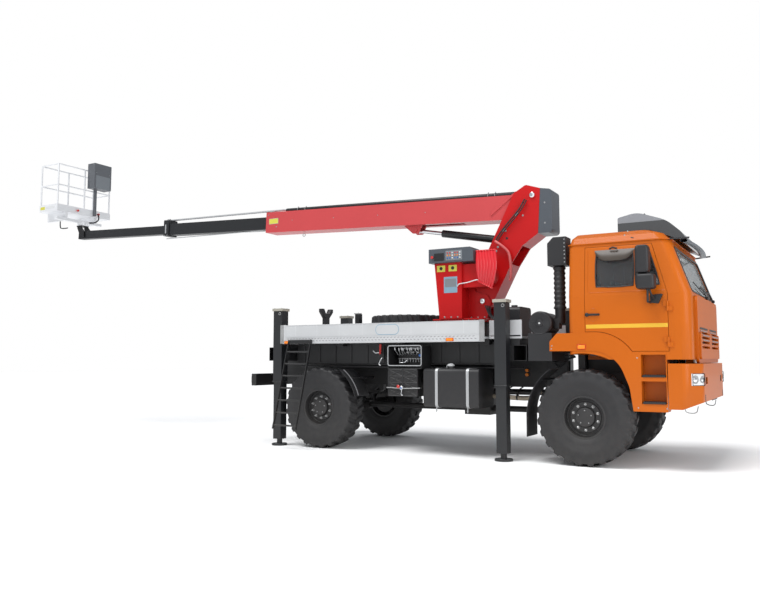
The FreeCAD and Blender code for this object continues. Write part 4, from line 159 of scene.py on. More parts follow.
def weathering_group() -> bpy.types.NodeTree:
    """The effect that most finishes share: mottled colour, dust that settles low down, and a fine grain.

    The colour is the base, darkened by up to Mottle where a soft noise is low, then mixed with the dust
    colour by Dust times another noise times a share that falls from one at the ground to zero at 1.4 m.
    The roughness rises with the same dust. The height is a finer noise times Grain.

    Returns:
        The shader node group.
    """
    name = "Weathering"
    if name in bpy.data.node_groups:
        return bpy.data.node_groups[name]
    tree = bpy.data.node_groups.new(name, "ShaderNodeTree")
    face = tree.interface
    sockets = {
        "Base": ("NodeSocketColor", (0.5, 0.5, 0.5, 1.0)),
        "Dust Color": ("NodeSocketColor", DUST),
        "Dust": ("NodeSocketFloat", 0.2),
        "Mottle": ("NodeSocketFloat", 0.1),
        "Rough": ("NodeSocketFloat", 0.4),
        "Scale": ("NodeSocketFloat", 4.0),
        "Grain": ("NodeSocketFloat", 0.1),
    }
    for label, (kind, value) in sockets.items():
        socket = face.new_socket(name=label, in_out="INPUT", socket_type=kind)
        socket.default_value = value
    outputs = (("Color", "NodeSocketColor"), ("Roughness", "NodeSocketFloat"), ("Height", "NodeSocketFloat"))
    for label, kind in outputs:
        face.new_socket(name=label, in_out="OUTPUT", socket_type=kind)
    nodes, links = tree.nodes, tree.links
    given = nodes.new("NodeGroupInput")
    out = nodes.new("NodeGroupOutput")
    where = nodes.new("ShaderNodeTexCoord")
    split = nodes.new("ShaderNodeSeparateXYZ")
    links.new(where.outputs["Object"], split.inputs[0])
    fall = nodes.new("ShaderNodeMapRange")
    fill(fall, {"From Min": 0.0, "From Max": DUST_TOP, "To Min": 1.0, "To Max": 0.0})
    links.new(split.outputs["Z"], fall.inputs["Value"])

    def noise(factor: float, detail: float) -> Socket:
        """A noise on Object coordinates whose scale is the input Scale times a factor.

        Args:
            factor: The factor.
            detail: The noise's detail.

        Returns:
            Its value socket.
        """
        multiply = nodes.new("ShaderNodeMath")
        multiply.operation = "MULTIPLY"
        links.new(given.outputs["Scale"], multiply.inputs[0])
        multiply.inputs[1].default_value = factor
        texture = nodes.new("ShaderNodeTexNoise")
        texture.inputs["Detail"].default_value = detail
        links.new(where.outputs["Object"], texture.inputs["Vector"])
        links.new(multiply.outputs[0], texture.inputs["Scale"])
        return texture.outputs["Fac"]

    def math_node(kind: str, first: Socket, second: Socket) -> Socket:
        """A sum or product of two sockets, kept between zero and one.

        Args:
            kind: Which of Blender's operations it is.
            first: One socket.
            second: The other.

        Returns:
            The result's socket.
        """
        node = nodes.new("ShaderNodeMath")
        node.operation = kind
        node.use_clamp = True
        links.new(first, node.inputs[0])
        links.new(second, node.inputs[1])
        return node.outputs[0]

    soft, patchy, fine = noise(0.6, 3.0), noise(2.2, 6.0), noise(40.0, 4.0)
    dark = math_node("MULTIPLY", soft, given.outputs["Mottle"])
    keep = nodes.new("ShaderNodeMath")
    keep.operation = "SUBTRACT"
    keep.inputs[0].default_value = 1.0
    links.new(dark, keep.inputs[1])
    shade = nodes.new("ShaderNodeMix")
    shade.data_type = "RGBA"
    shade.blend_type = "MULTIPLY"
    shade.inputs[0].default_value = 1.0
    links.new(given.outputs["Base"], shade.inputs[6])
    links.new(keep.outputs[0], shade.inputs[7])
    settle = math_node("MULTIPLY", math_node("MULTIPLY", patchy, fall.outputs[0]), given.outputs["Dust"])
    dusty = nodes.new("ShaderNodeMix")
    dusty.data_type = "RGBA"
    links.new(settle, dusty.inputs[0])
    links.new(shade.outputs[2], dusty.inputs[6])
    links.new(given.outputs["Dust Color"], dusty.inputs[7])
    links.new(dusty.outputs[2], out.inputs["Color"])
    worn = math_node("ADD", given.outputs["Rough"], settle)
    links.new(worn, out.inputs["Roughness"])
    links.new(math_node("MULTIPLY", fine, given.outputs["Grain"]), out.inputs["Height"])
    return tree


def fill(node: bpy.types.Node, values: dict[str, object]) -> None:
    """Gives a node's inputs their plain values, by name."""
    for label, value in values.items():
        node.inputs[label].default_value = value


@dataclass(frozen=True)
class Finish:
    """One surface finish, made once and shared.

    Attributes:
        scale: Size of the patches, in cycles a metre.
        glow: Colour of its own light, if it has any.
        shine: How strongly the paint itself mirrors, one half for plain dielectrics.
        slot: The name of a material slot for pieces in this finish; not used.
        split: Height in the row frame above which the colour changes, if it does.
        above: The colour above it; on the sun visor this pale colour is a painted reflection of the sky.
    """

    name: str
    colour: tuple[float, float, float]
    rough: float = 0.4
    metal: float = 0.0
    coat: float = 0.0
    dust: float = 0.15
    mottle: float = 0.12
    scale: float = 3.0
    grain: float = 0.15
    alpha: float = 1.0
    glow: tuple[float, float, float] | None = None
    shine: float = 0.5
    slot: str = "frame_black"
    split: float | None = None
    above: tuple[float, float, float] = (0.0, 0.0, 0.0)

    def material(self) -> bpy.types.Material:
        """The node material of this finish.

        Returns:
            The material, from the file if it was made before.
        """
        found = bpy.data.materials.get(self.name)
        if found:
            return found
        made = bpy.data.materials.new(self.name)
        made.use_nodes = True
        nodes, links = made.node_tree.nodes, made.node_tree.links
        shader = nodes["Principled BSDF"]
        group = nodes.new("ShaderNodeGroup")
        group.node_tree = weathering_group()
        fill(group, {"Base": (*self.colour, 1.0), "Dust": self.dust, "Mottle": self.mottle})
        fill(group, {"Rough": self.rough, "Scale": self.scale, "Grain": self.grain})
        if self.split is not None:
            links.new(self.two_zones(nodes, links), group.inputs["Base"])
        links.new(group.outputs["Color"], shader.inputs["Base Color"])
        links.new(group.outputs["Roughness"], shader.inputs["Roughness"])
        fill(shader, {"Metallic": self.metal, "Coat Weight": self.coat, "Alpha": self.alpha})
        fill(shader, {"Specular IOR Level": self.shine})
        bump = nodes.new("ShaderNodeBump")
        fill(bump, {"Strength": BUMP_STRENGTH, "Distance": BUMP_DEPTH})
        links.new(group.outputs["Height"], bump.inputs["Height"])
        links.new(bump.outputs["Normal"], shader.inputs["Normal"])
        if self.glow:
            fill(shader, {"Emission Color": (*self.glow, 1.0), "Emission Strength": GLOW_STRENGTH})
        made.diffuse_color = (*self.colour, self.alpha)
        return made

    def two_zones(self, nodes: bpy.types.Nodes, links: bpy.types.NodeLinks) -> Socket:
        """The colour below and above the split: their mix jumps where the height passes it.

        Args:
            nodes: The material's nodes.
            links: Its links.

        Returns:
            The socket that gives the colour.
        """
        where, parts = nodes.new("ShaderNodeTexCoord"), nodes.new("ShaderNodeSeparateXYZ")
        higher, mix = nodes.new("ShaderNodeMath"), nodes.new("ShaderNodeMix")
        links.new(where.outputs["Object"], parts.inputs[0])
        higher.operation = "GREATER_THAN"
        higher.inputs[1].default_value = self.split
        links.new(parts.outputs["Z"], higher.inputs[0])
        mix.data_type = "RGBA"
        mix.inputs[6].default_value = (*self.colour, 1.0)
        mix.inputs[7].default_value = (*self.above, 1.0)
        links.new(higher.outputs[0], mix.inputs[0])
        return mix.outputs[2]


ORANGE = Finish(
    "Cab orange paint", (0.49, 0.104, 0.001), slot="cab_orange", rough=0.42, coat=0.05, dust=0.06,
    mottle=0.08, shine=0.22,
)
STEP_RED = Finish(
    "Step recess paint", (0.5, 0.055, 0.006), slot="cab_orange", rough=0.5, dust=0.08, shine=0.25,
)
RED = Finish("Turret red paint", (0.52, 0.006, 0.007), slot="boom_red", rough=0.34, coat=0.05, shine=0.25)
ROSE = Finish(
    "Upper boom paint", (0.55, 0.062, 0.066), slot="boom_red", rough=0.36, coat=0.1, mottle=0.1,
    shine=0.35,
)
BLACK = Finish("Frame black paint", (0.009, 0.009, 0.01), rough=0.48, dust=0.12)
SATIN_BLACK = Finish(
    "Boom black paint", (0.009, 0.01, 0.012), slot="boom_black", rough=0.42, coat=0.05, dust=0.04,
)
PLASTIC = Finish(
    "Black plastic", (0.012, 0.012, 0.014), slot="fairing_black", rough=0.5, dust=0.1, grain=0.5,
    scale=8.0,
)
GREY_PLASTIC = Finish("Grey cover plastic", (0.072, 0.084, 0.1), slot="cover_grey", rough=0.38, grain=0.3)
BOX_GREY = Finish("Control box grey", (0.12, 0.128, 0.142), slot="cover_grey", rough=0.42)
DECK = Finish(
    "Deck grey", (0.59, 0.6, 0.61), slot="deck_grey", rough=0.42, metal=0.2, mottle=0.2, dust=0.1,
    split=1.945, above=(0.014, 0.014, 0.016),
)
ALUMINIUM = Finish(
    "Basket aluminium", (0.88, 0.89, 0.91), slot="ladder_metal", rough=0.42, metal=0.25, mottle=0.15,
    dust=0.0,
)
STEEL = Finish("Bare steel", (0.46, 0.46, 0.46), slot="leg_metal", rough=0.32, metal=0.9, mottle=0.2)
CHROME = Finish(
    "Polished rod", (0.8, 0.81, 0.83), slot="rod_chrome", rough=0.1, metal=1.0, mottle=0.03, dust=0.0,
    grain=0.0,
)
TYRE = Finish("Tyre rubber", (0.013, 0.013, 0.015), slot="tyre", rough=0.6, dust=0.1, grain=0.6, scale=7.0)
RIM = Finish("Rim black", (0.013, 0.013, 0.015), slot="rim_grey", rough=0.42, dust=0.16)
CAP = Finish("Leg cap plate", (0.4, 0.38, 0.32), slot="deck_grey", rough=0.55, mottle=0.3)
GLASS = Finish(
    "Window glass", (0.05, 0.06, 0.065), slot="glass", rough=0.04, alpha=0.42, dust=0.0, grain=0.0,
    mottle=0.05,
)
# Pale grey-green glass colour: a painted reflection of the sky on the leaning windscreen.
SCREEN_GLASS_PAINTED_REFLECTION = Finish(
    "Windscreen glass", (0.55, 0.6, 0.6), slot="glass", rough=0.03, alpha=0.5, dust=0.0, grain=0.0,
    mottle=0.05,
)
YELLOW = Finish("Yellow stripe", (0.7, 0.4, 0.018), slot="lamp", coat=0.2)
AMBER = Finish(
    "Amber lens", (0.85, 0.22, 0.01), slot="lamp", rough=0.15, coat=0.5, glow=(0.9, 0.25, 0.02),
    dust=0.05,
)
LENS = Finish("Clear lens", (0.72, 0.74, 0.75), slot="lamp", rough=0.08, coat=0.6, dust=0.05)
LABEL_YELLOW = Finish("Blank yellow label", (0.66, 0.62, 0.08), slot="cover_grey")
LABEL_BLUE = Finish("Blank blue label", (0.22, 0.36, 0.46), slot="cover_grey")
LABEL_GREY = Finish("Blank grey panel", (0.2, 0.22, 0.24), slot="cover_grey")
TRIM = Finish("Cab trim", (0.045, 0.045, 0.05), slot="cab_trim", rough=0.7, grain=0.5)
# Dark smoked plastic below 3.17 m; above it a pale grey painted reflection of the sky on the visor's top.
VISOR_PAINTED_REFLECTION = Finish(
    "Smoked visor", (0.022, 0.024, 0.027), slot="fairing_black", rough=0.16, coat=0.6, dust=0.0,
    split=3.17, above=(0.2, 0.21, 0.23),
)
REFLECTOR = Finish("Red reflector", (0.55, 0.02, 0.015), slot="lamp", rough=0.2, coat=0.5)
BLUE_KNOB = Finish("Blue knob", (0.02, 0.12, 0.42), slot="fairing_black", rough=0.3)
SMOKED = Finish("Smoked plastic", (0.06, 0.045, 0.034), slot="fairing_black", alpha=0.9, dust=0.0, grain=0.0)
GRILLE_BAR = Finish("Grille bar grey", (0.24, 0.24, 0.25), slot="cover_grey", rough=0.45)
WORN_ZINC = Finish(
    "Worn zinc", (0.42, 0.42, 0.42), slot="deck_grey", rough=0.55, metal=0.4, mottle=0.55, scale=9.0,
    grain=0.6,
)
# Dark grey marks: painted shade inside the pressings of the deck boards' strip.
PRESSED_MARK_SHADE = Finish("Pressed mark grey", (0.25, 0.25, 0.26), slot="deck_grey", rough=0.6)
PALE_LINE = Finish("Pale line", (0.72, 0.73, 0.74), slot="deck_grey")
PALE_RIM = Finish("Pale box rim", (0.36, 0.37, 0.38), slot="cover_grey", rough=0.42)
STRAP = Finish("Strap steel", (0.5, 0.51, 0.52), slot="leg_metal", rough=0.42, metal=0.5, mottle=0.25)
LEVER = Finish("Lever steel", (0.62, 0.63, 0.64), slot="leg_metal", rough=0.28, metal=0.7)
WARM_STEEL = Finish("Silencer steel", (0.42, 0.36, 0.28), slot="leg_metal", rough=0.42, metal=0.7, mottle=0.3)
AMBER_CAP = Finish("Orange cap", (0.8, 0.22, 0.012), slot="lamp", rough=0.35)
# Pale grey tube along the rear guards' edges: a painted highlight where light catches them.
GUARD_EDGE_HIGHLIGHT = Finish("Worn guard edge", (0.2, 0.2, 0.21), rough=0.55, mottle=0.4)
FINE_BLACK = Finish("Deep black edge", (0.006, 0.006, 0.007), grain=0.3)
GUARD_RED = Finish("Hose fan red", (0.66, 0.01, 0.02), slot="boom_red", rough=0.3, coat=0.3, mottle=0.1)
GUARD_PINK = Finish("Hose guard paint", (0.62, 0.12, 0.12), slot="boom_red", rough=0.42, mottle=0.2)

NODE_FINISHES: dict[Finish, Names] = {
    ORANGE: ("cab_shell", "cab_roof", "cab_front", "door_left", "door_right", "bumper", "wheel_arches"),
    BLACK: (
        "chassis_frame", "subframe", "front_axle", "rear_axle", "engine_and_driveline", "knuckle_left",
        "knuckle_right", "valve_box", "ladder", "basket_mount",
    ),
    PLASTIC: ("mudguards", "air_intake", "mirror_left", "mirror_right", "fuel_tank"),
    SATIN_BLACK: (
        "boom_section_2", "boom_section_3", "boom_hose_tube", "ram_barrel",
        *(f"stabiliser_{kind}_{end}_{side.word}" for kind in ("beam", "leg") for end, side in CORNERS),
    ),
    RED: ("turret", "lower_boom"),
    ROSE: ("upper_boom",),
    GREY_PLASTIC: ("turret_console", "boom_head_cover"),
    BOX_GREY: ("basket_control_box",),
    DECK: ("deck",),
    ALUMINIUM: ("basket",),
    CHROME: ("ram_rod",),
    TYRE: ("spare_wheel", *(f"tyre_{end}_{side.word}" for end, side in CORNERS)),
    RIM: tuple(f"rim_{end}_{side.word}" for end, side in CORNERS),
    GLASS: ("door_glass_left", "door_glass_right"),
    SCREEN_GLASS_PAINTED_REFLECTION: ("windscreen",),
    LENS: ("lamps",),
    TRIM: ("cab_interior",),
    VISOR_PAINTED_REFLECTION: ("sun_visor",),
}


@dataclass
class Form:
    """A mesh that grows piece by piece, in metres from the axle origin, and becomes one object at the end.

    Attributes:
        points: Arrays of points, one for each piece added.
        count: How many points there are so far.
    """

    name: str
    points: list[Array] = field(default_factory=list)
    faces: list[list[int]] = field(default_factory=list)
    count: int = 0

    def add(self, points: Array, faces: list[list[int]]) -> None:
        """Adds points and the faces that join them, numbered from zero.

        Args:
            points: An array of points, three numbers each.
            faces: Point numbers of each face.
        """
        self.points.append(np.asarray(points, float))
        self.faces.extend([i + self.count for i in face] for face in faces)
        self.count += len(points)

    def grid(self, points: Array, closed_u: bool = False, closed_v: bool = False) -> None:
        """Adds a sheet of quads over an array of points.

        Args:
            points: An array of rows by columns by three.
            closed_u: Whether the last row joins the first.
            closed_v: Whether the last column joins the first.
        """
        rows, columns = points.shape[:2]
        steps_u = np.arange(rows if closed_u else rows - 1)
        steps_v = np.arange(columns if closed_v else columns - 1)
        i, j = np.meshgrid(steps_u, steps_v, indexing="ij")
        a = i * columns + j
        b = i * columns + (j + 1) % columns
        c = ((i + 1) % rows) * columns + (j + 1) % columns
        d = ((i + 1) % rows) * columns + j
        quads = np.stack([a, b, c, d], axis=-1).reshape(-1, 4)
        self.add(points.reshape(-1, 3), quads.tolist())

    def box(self, low: Point, high: Point) -> None:
        """Adds a box between two corners.

        Args:
            low: The corner with the lowest coordinates.
            high: The corner with the highest.
        """
        low_array, high_array = np.minimum(low, high), np.maximum(low, high)
        corners = np.array([[x, y, z] for x in (0, 1) for y in (0, 1) for z in (0, 1)])
        points = low_array + corners * (high_array - low_array)
        self.add(points, [[0, 1, 3, 2], [4, 6, 7, 5], [0, 4, 5, 1], [2, 3, 7, 6], [0, 2, 6, 4], [1, 5, 7, 3]])

    def prism(self, outline: Flats, axis: Axis, low: float, high: float) -> None:
        """Adds a prism: an outline in the plane across an axis, drawn out along it.

        Args:
            outline: Corners in the other two coordinates, in X, Y, Z order.
            axis: The axis along which it is drawn out.
            low: Where it starts along the axis.
            high: Where it ends.
        """
        n = len(outline)
        points = np.concatenate([ring_path(outline, axis, level) for level in (low, high)])
        sides = [[i, (i + 1) % n, n + (i + 1) % n, n + i] for i in range(n)]
        self.add(points, sides + [list(range(n))[::-1], list(range(n, 2 * n))])

    def slab(self, outline: Flats, side: Side, inner: float, outer: float) -> None:
        """Adds a plate that stands on a side of the vehicle.

        Args:
            outline: Its corners as X and Z.
            side: The side.
            inner: How far from the vehicle's middle it starts.
            outer: How far from the middle it ends.
        """
        self.prism(outline, Axis.Y, side.value * inner, side.value * outer)

    def knob(self, profile: Outline, place: Point, side: Side, segments: int) -> None:
        """Adds a turned form that points outward on a side.

        Args:
            profile: Pairs of a height outward and a radius.
            place: Where height zero stands, given for the left side.
            side: The side.
            segments: How many flats it has.
        """
        self.lathe(profile, side.at(place)[0], side.turn, segments)

    def hose(self, corners: Places, radius: float, sides: int, steps: int = 8) -> None:
        """Adds a round bar along a smooth path through given points.

        Args:
            corners: The points.
            radius: The bar's radius.
            sides: How many flats it has round.
            steps: How many points each stretch of the path gets.
        """
        self.tube(smooth_path(corners, steps), radius, sides)

    def loop(self, outline: Flats, axis: Axis, level: float, radius: float, sides: int) -> None:
        """Adds a closed ring of round bar along a flat outline.

        Args:
            outline: Pairs of the other two coordinates.
            axis: The axis that the ring lies across.
            level: Where it lies along the axis.
            radius: The bar's radius.
            sides: How many flats it has round.
        """
        self.tube(ring_path(outline, axis, level), radius, sides, closed=True)

    def lathe(
        self, profile: Outline, centre: Point | Array, axis: Axis | Array, segments: int
    ) -> None:
        """Adds a turned form.

        Args:
            profile: Pairs of a height along the axis and a radius, from one end to the other.
            centre: Where height zero stands.
            axis: A row axis, or a 3 by 3 matrix that turns Z onto another direction.
            segments: How many flats it has.
        """
        turn = axis.turn() if isinstance(axis, Axis) else axis
        angle = np.linspace(0, 2 * np.pi, segments, endpoint=False)
        heights, radii = np.array(profile)[:, :, None].transpose(1, 0, 2)
        rows = np.stack([radii * np.cos(angle), radii * np.sin(angle), heights + 0 * angle], -1)
        rows = rows @ turn.T + np.asarray(centre)
        start = self.count
        self.grid(rows, closed_v=True)
        last = (len(profile) - 1) * segments
        self.faces.append([start + i for i in range(segments)][::-1])
        self.faces.append([start + last + i for i in range(segments)])

    def tube(
        self, path: Places, radius: float | Array, sides: int = 10, closed: bool = False
    ) -> None:
        """Adds a round bar along a path.

        Each ring stands across the path's own direction there, and keeps its turn from the ring before.

        Args:
            path: The points of its middle line.
            radius: Its radius, or one for each point.
            sides: How many flats it has round.
            closed: Whether the last point joins the first.
        """
        spots = np.asarray(path, float)
        n = len(spots)
        if closed:
            ahead = np.roll(spots, -1, 0) - np.roll(spots, 1, 0)
        else:
            ahead = np.gradient(spots, axis=0)
        ahead /= np.linalg.norm(ahead, axis=1)[:, None]
        up = np.array([0.0, 0.0, 1.0]) if abs(ahead[0][2]) < 0.9 else np.array([1.0, 0.0, 0.0])
        angle = np.linspace(0, 2 * np.pi, sides, endpoint=False)
        radii = np.broadcast_to(np.asarray(radius, float), (n,))
        rows = np.zeros((n, sides, 3))
        for i in range(n):
            across = np.cross(ahead[i], up)
            across /= np.linalg.norm(across)
            up = np.cross(across, ahead[i])
            rows[i] = spots[i] + radii[i] * (np.cos(angle)[:, None] * across + np.sin(angle)[:, None] * up)
        start = self.count
        self.grid(rows, closed_u=closed, closed_v=True)
        if not closed:
            self.faces.append([start + i for i in range(sides)][::-1])
            self.faces.append([start + (n - 1) * sides + i for i in range(sides)])

    def make(
        self, finish: Finish, body: str, bevel: float = 0.0, sharp: float = SHARP, stands_for: Names = ()
    ) -> None:
        """Makes the object and lets it ride on a body of the frame.

        Args:
            finish: Its finish.
            body: The body that it moves with.
            bevel: Width of the rounding of its edges, zero for none.
            sharp: The angle in degrees above which an edge stays sharp.
            stands_for: CAD nodes that this object is shown in place of.
        """
        made = self.mesh_object(finish, sharp)
        if bevel:
            soften(made, bevel)
        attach(made, body)
        if stands_for:
            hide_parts(*stands_for)

    def mesh_object(self, finish: Finish, sharp: float = SHARP) -> bpy.types.Object:
        """The object itself, on no body yet.

        Args:
            finish: Its finish.
            sharp: The angle in degrees above which an edge stays sharp.

        Returns:
            The object.
        """
        mesh = bpy.data.meshes.new(self.name)
        mesh.from_pydata((np.concatenate(self.points) + np.asarray(ORIGIN)).tolist(), [], self.faces)
        outward = bmesh.new()
        outward.from_mesh(mesh)
        bmesh.ops.recalc_face_normals(outward, faces=outward.faces)
        outward.to_mesh(mesh)
        outward.free()
        mesh.polygons.foreach_set("use_smooth", np.ones(len(mesh.polygons), bool))
        mesh.set_sharp_from_angle(angle=math.radians(sharp))
        mesh.materials.append(finish.material())
        made = bpy.data.objects.new(self.name, mesh)
        bpy.context.scene.collection.objects.link(made)
        LOG.info("made %s with %d faces", self.name, len(self.faces))
        return made


def soften(item: bpy.types.Object, width: float, weld: bool = False) -> None:
    """Rounds an object's edges with modifiers, so that they catch the light.

    Args:
        item: The object.
        width: Width of the rounding, in metres.
        weld: Whether its points are joined first.
    """
    if weld:
        joined = item.modifiers.new("Join", "WELD")
        joined.merge_threshold = 0.0001
    edge = item.modifiers.new("Edge", "BEVEL")
    edge.width = width
    edge.segments = 2
    edge.limit_method = "ANGLE"
    edge.angle_limit = math.radians(30)
    edge.harden_normals = True


def arc(centre: Point, radius: float, start: float, end: float, axis: Axis, count: int = 16) -> Array:
    """Points on an arc: the cosine and sine of evenly spaced angles, times the radius.

    Args:
        centre: The arc's centre.
        radius: Its radius.
        start: The angle where it starts, in degrees from the first of the other two axes.
        end: The angle where it ends.
        axis: The axis that it lies across.
        count: How many points it has.

    Returns:
        The points.
    """
    angle = np.radians(np.linspace(start, end, count))
    flat = np.stack([np.cos(angle) * radius, np.sin(angle) * radius], -1)
    return ring_path(flat, axis, 0.0) + np.asarray(centre)


def smooth_path(corners: Places, steps: int = 8) -> Array:
    """A smooth path through given points, each stretch a cubic whose ends lean along the neighbours' chord.

    Args:
        corners: The points it runs through.
        steps: How many points each stretch gets.

    Returns:
        The points of the path.
    """
    spots = np.asarray(corners, float)
    padded = np.concatenate([[2 * spots[0] - spots[1]], spots, [2 * spots[-1] - spots[-2]]])
    t = np.linspace(0, 1, steps, endpoint=False)[:, None]
    path = []
    for before, start, end, after in zip(padded, padded[1:], padded[2:], padded[3:]):
        path.append(
            0.5 * (2 * start + (end - before) * t + (2 * before - 5 * start + 4 * end - after) * t**2
                   + (3 * start - before - 3 * end + after) * t**3)
        )
    return np.concatenate(path + [spots[-1:]])


def rounded(low: Flat, high: Flat, radius: float, steps: int = 4) -> Array:
    """The corners of a flat rectangle whose corners are rounded.

    Each corner's points are its centre plus the radius times the cosine and sine of its quarter turn.

    Args:
        low: Its lower left corner.
        high: Its upper right corner.
        radius: Radius of the rounding.
        steps: How many flats each rounding gets.

    Returns:
        The outline, anticlockwise.
    """
    corner = np.repeat(np.arange(4), steps + 1)
    angle = np.pi / 2 * (corner + np.tile(np.arange(steps + 1) / steps, 4))
    x = np.where((corner == 0) | (corner == 3), high[0] - radius, low[0] + radius)
    z = np.where(corner < 2, high[1] - radius, low[1] + radius)
    return np.stack([x + radius * np.cos(angle), z + radius * np.sin(angle)], -1)


def facing(normal: Array) -> Array:
    """The matrix that turns Z onto a direction, with X kept level.

    Args:
        normal: The direction.

    Returns:
        The 3 by 3 matrix.
    """
    out = np.asarray(normal, float) / np.linalg.norm(normal)
    level = np.cross([0.0, 0.0, 1.0], out) if abs(out[2]) < 0.95 else np.array([1.0, 0.0, 0.0])
    level /= np.linalg.norm(level)
    return np.stack([level, np.cross(out, level), out], axis=1)


@dataclass
class Kit:
    """One group of small pieces on one body: a form for each finish, all made at the end.

    Attributes:
        name: What the pieces' names start with.
        forms: The forms so far, one for each finish.
    """

    name: str
    body: str
    forms: dict[Finish, Form] = field(default_factory=dict)

    def __getitem__(self, finish: Finish) -> Form:
        """The form in a finish, new if there is none yet."""
        if finish not in self.forms:
            slug = finish.name.lower().replace(" ", "_")
            self.forms[finish] = Form(f"{self.name}_{slug}")
        return self.forms[finish]

    def done(self, bevel: float = 0.0) -> None:
        """Makes every form.

        Args:
            bevel: Width of the rounding of their edges.
        """
        for finish, form in self.forms.items():
            form.make(finish, self.body, bevel=bevel)


@dataclass(frozen=True)
class Skin:
    """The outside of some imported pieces, on which small fittings are seated.

    Attributes:
        nodes: The pieces' names.
    """

    nodes: Names

    def touch(self, start: Point, toward: Point) -> tuple[Array, Array]:
        """The nearest place met from a point in a direction.

        Args:
            start: Where the search starts.
            toward: Its direction.

        Returns:
            The place and the outward normal there.
        """
        origin, direction = Vector(start) + ORIGIN, Vector(toward).normalized()
        nearest = None
        for name in self.nodes:
            spot, normal, _, far = skin_tree(name).ray_cast(origin, direction)
            if spot is not None and (nearest is None or far < nearest[2]):
                nearest = (spot, normal, far)
        if nearest is None:
            raise LookupError(f"nothing of {self.nodes} is met from {start}")
        spot, normal, _ = nearest
        if normal.dot(direction) > 0:
            normal = -normal
        return np.array(spot - ORIGIN), np.array(normal)

    def plate(
        self, form: Form, start: Point, toward: Point, size: Flat, thick: float, radius: float,
        roll: float = 0.0,
    ) -> None:
        """Seats a flat plate with rounded corners where the search meets the skin.

        Args:
            form: The form that it is added to.
            start: Where the search starts.
            toward: Its direction.
            size: Width and height.
            thick: Thickness.
            radius: Radius of the corners.
            roll: How far it is turned on the skin, in degrees.
        """
        spot, normal = self.touch(start, toward)
        turn = facing(normal)
        half = (size[0] / 2, size[1] / 2)
        flat = rounded((-half[0], -half[1]), half, min(radius, *half))
        lean = math.radians(roll)
        flat = flat @ np.array([[math.cos(lean), math.sin(lean)], [-math.sin(lean), math.cos(lean)]])
        slab = Form("slab")
        slab.prism(flat, Axis.Z, -SUNK, thick)
        form.add(slab.points[0] @ turn.T + spot, slab.faces)

    def stud(self, form: Form, start: Point, toward: Point, radius: float, high: float) -> None:
        """Seats a bolt head on its washer where the search meets the skin.

        Args:
            form: The form that it is added to.
            start: Where the search starts.
            toward: Its direction.
            radius: Radius of the head.
            high: Height of the head.
        """
        washer = radius * 1.5
        self.cap(form, start, toward, ((-SUNK, washer), (high * 0.25, washer), (high * 0.3, radius)), 16)
        self.cap(form, start, toward, ((high * 0.25, radius), (high * 0.85, radius), (high, radius * 0.8)), 6)

    def cap(self, form: Form, start: Point, toward: Point, profile: Outline, segments: int) -> None:
        """Seats a turned form where the search meets the skin.

        Args:
            form: The form that it is added to.
            start: Where the search starts.
            toward: Its direction.
            profile: Pairs of a height over the skin and a radius.
            segments: How many flats it has.
        """
        spot, normal = self.touch(start, toward)
        form.lathe(profile, spot, facing(normal), segments)


@cache
def skin_tree(name: str) -> BVHTree:
    """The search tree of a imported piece's faces.

    Args:
        name: The piece's name.

    Returns:
        The tree, in the row frame.
    """
    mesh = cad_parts[name].data
    corners = [tuple(v.co) for v in mesh.vertices]
    return BVHTree.FromPolygons(corners, [tuple(p.vertices) for p in mesh.polygons])


def ring_path(outline: Flats, axis: Axis, level: float) -> Array:
    """A flat outline placed in space across an axis.

    Args:
        outline: Pairs of the other two coordinates.
        axis: The axis that it lies across.
        level: Where it lies along the axis.

    Returns:
        The points.
    """
    points = np.full((len(outline), 3), level, float)
    points[:, axis.across[:2]] = np.asarray(outline, float)
    return points


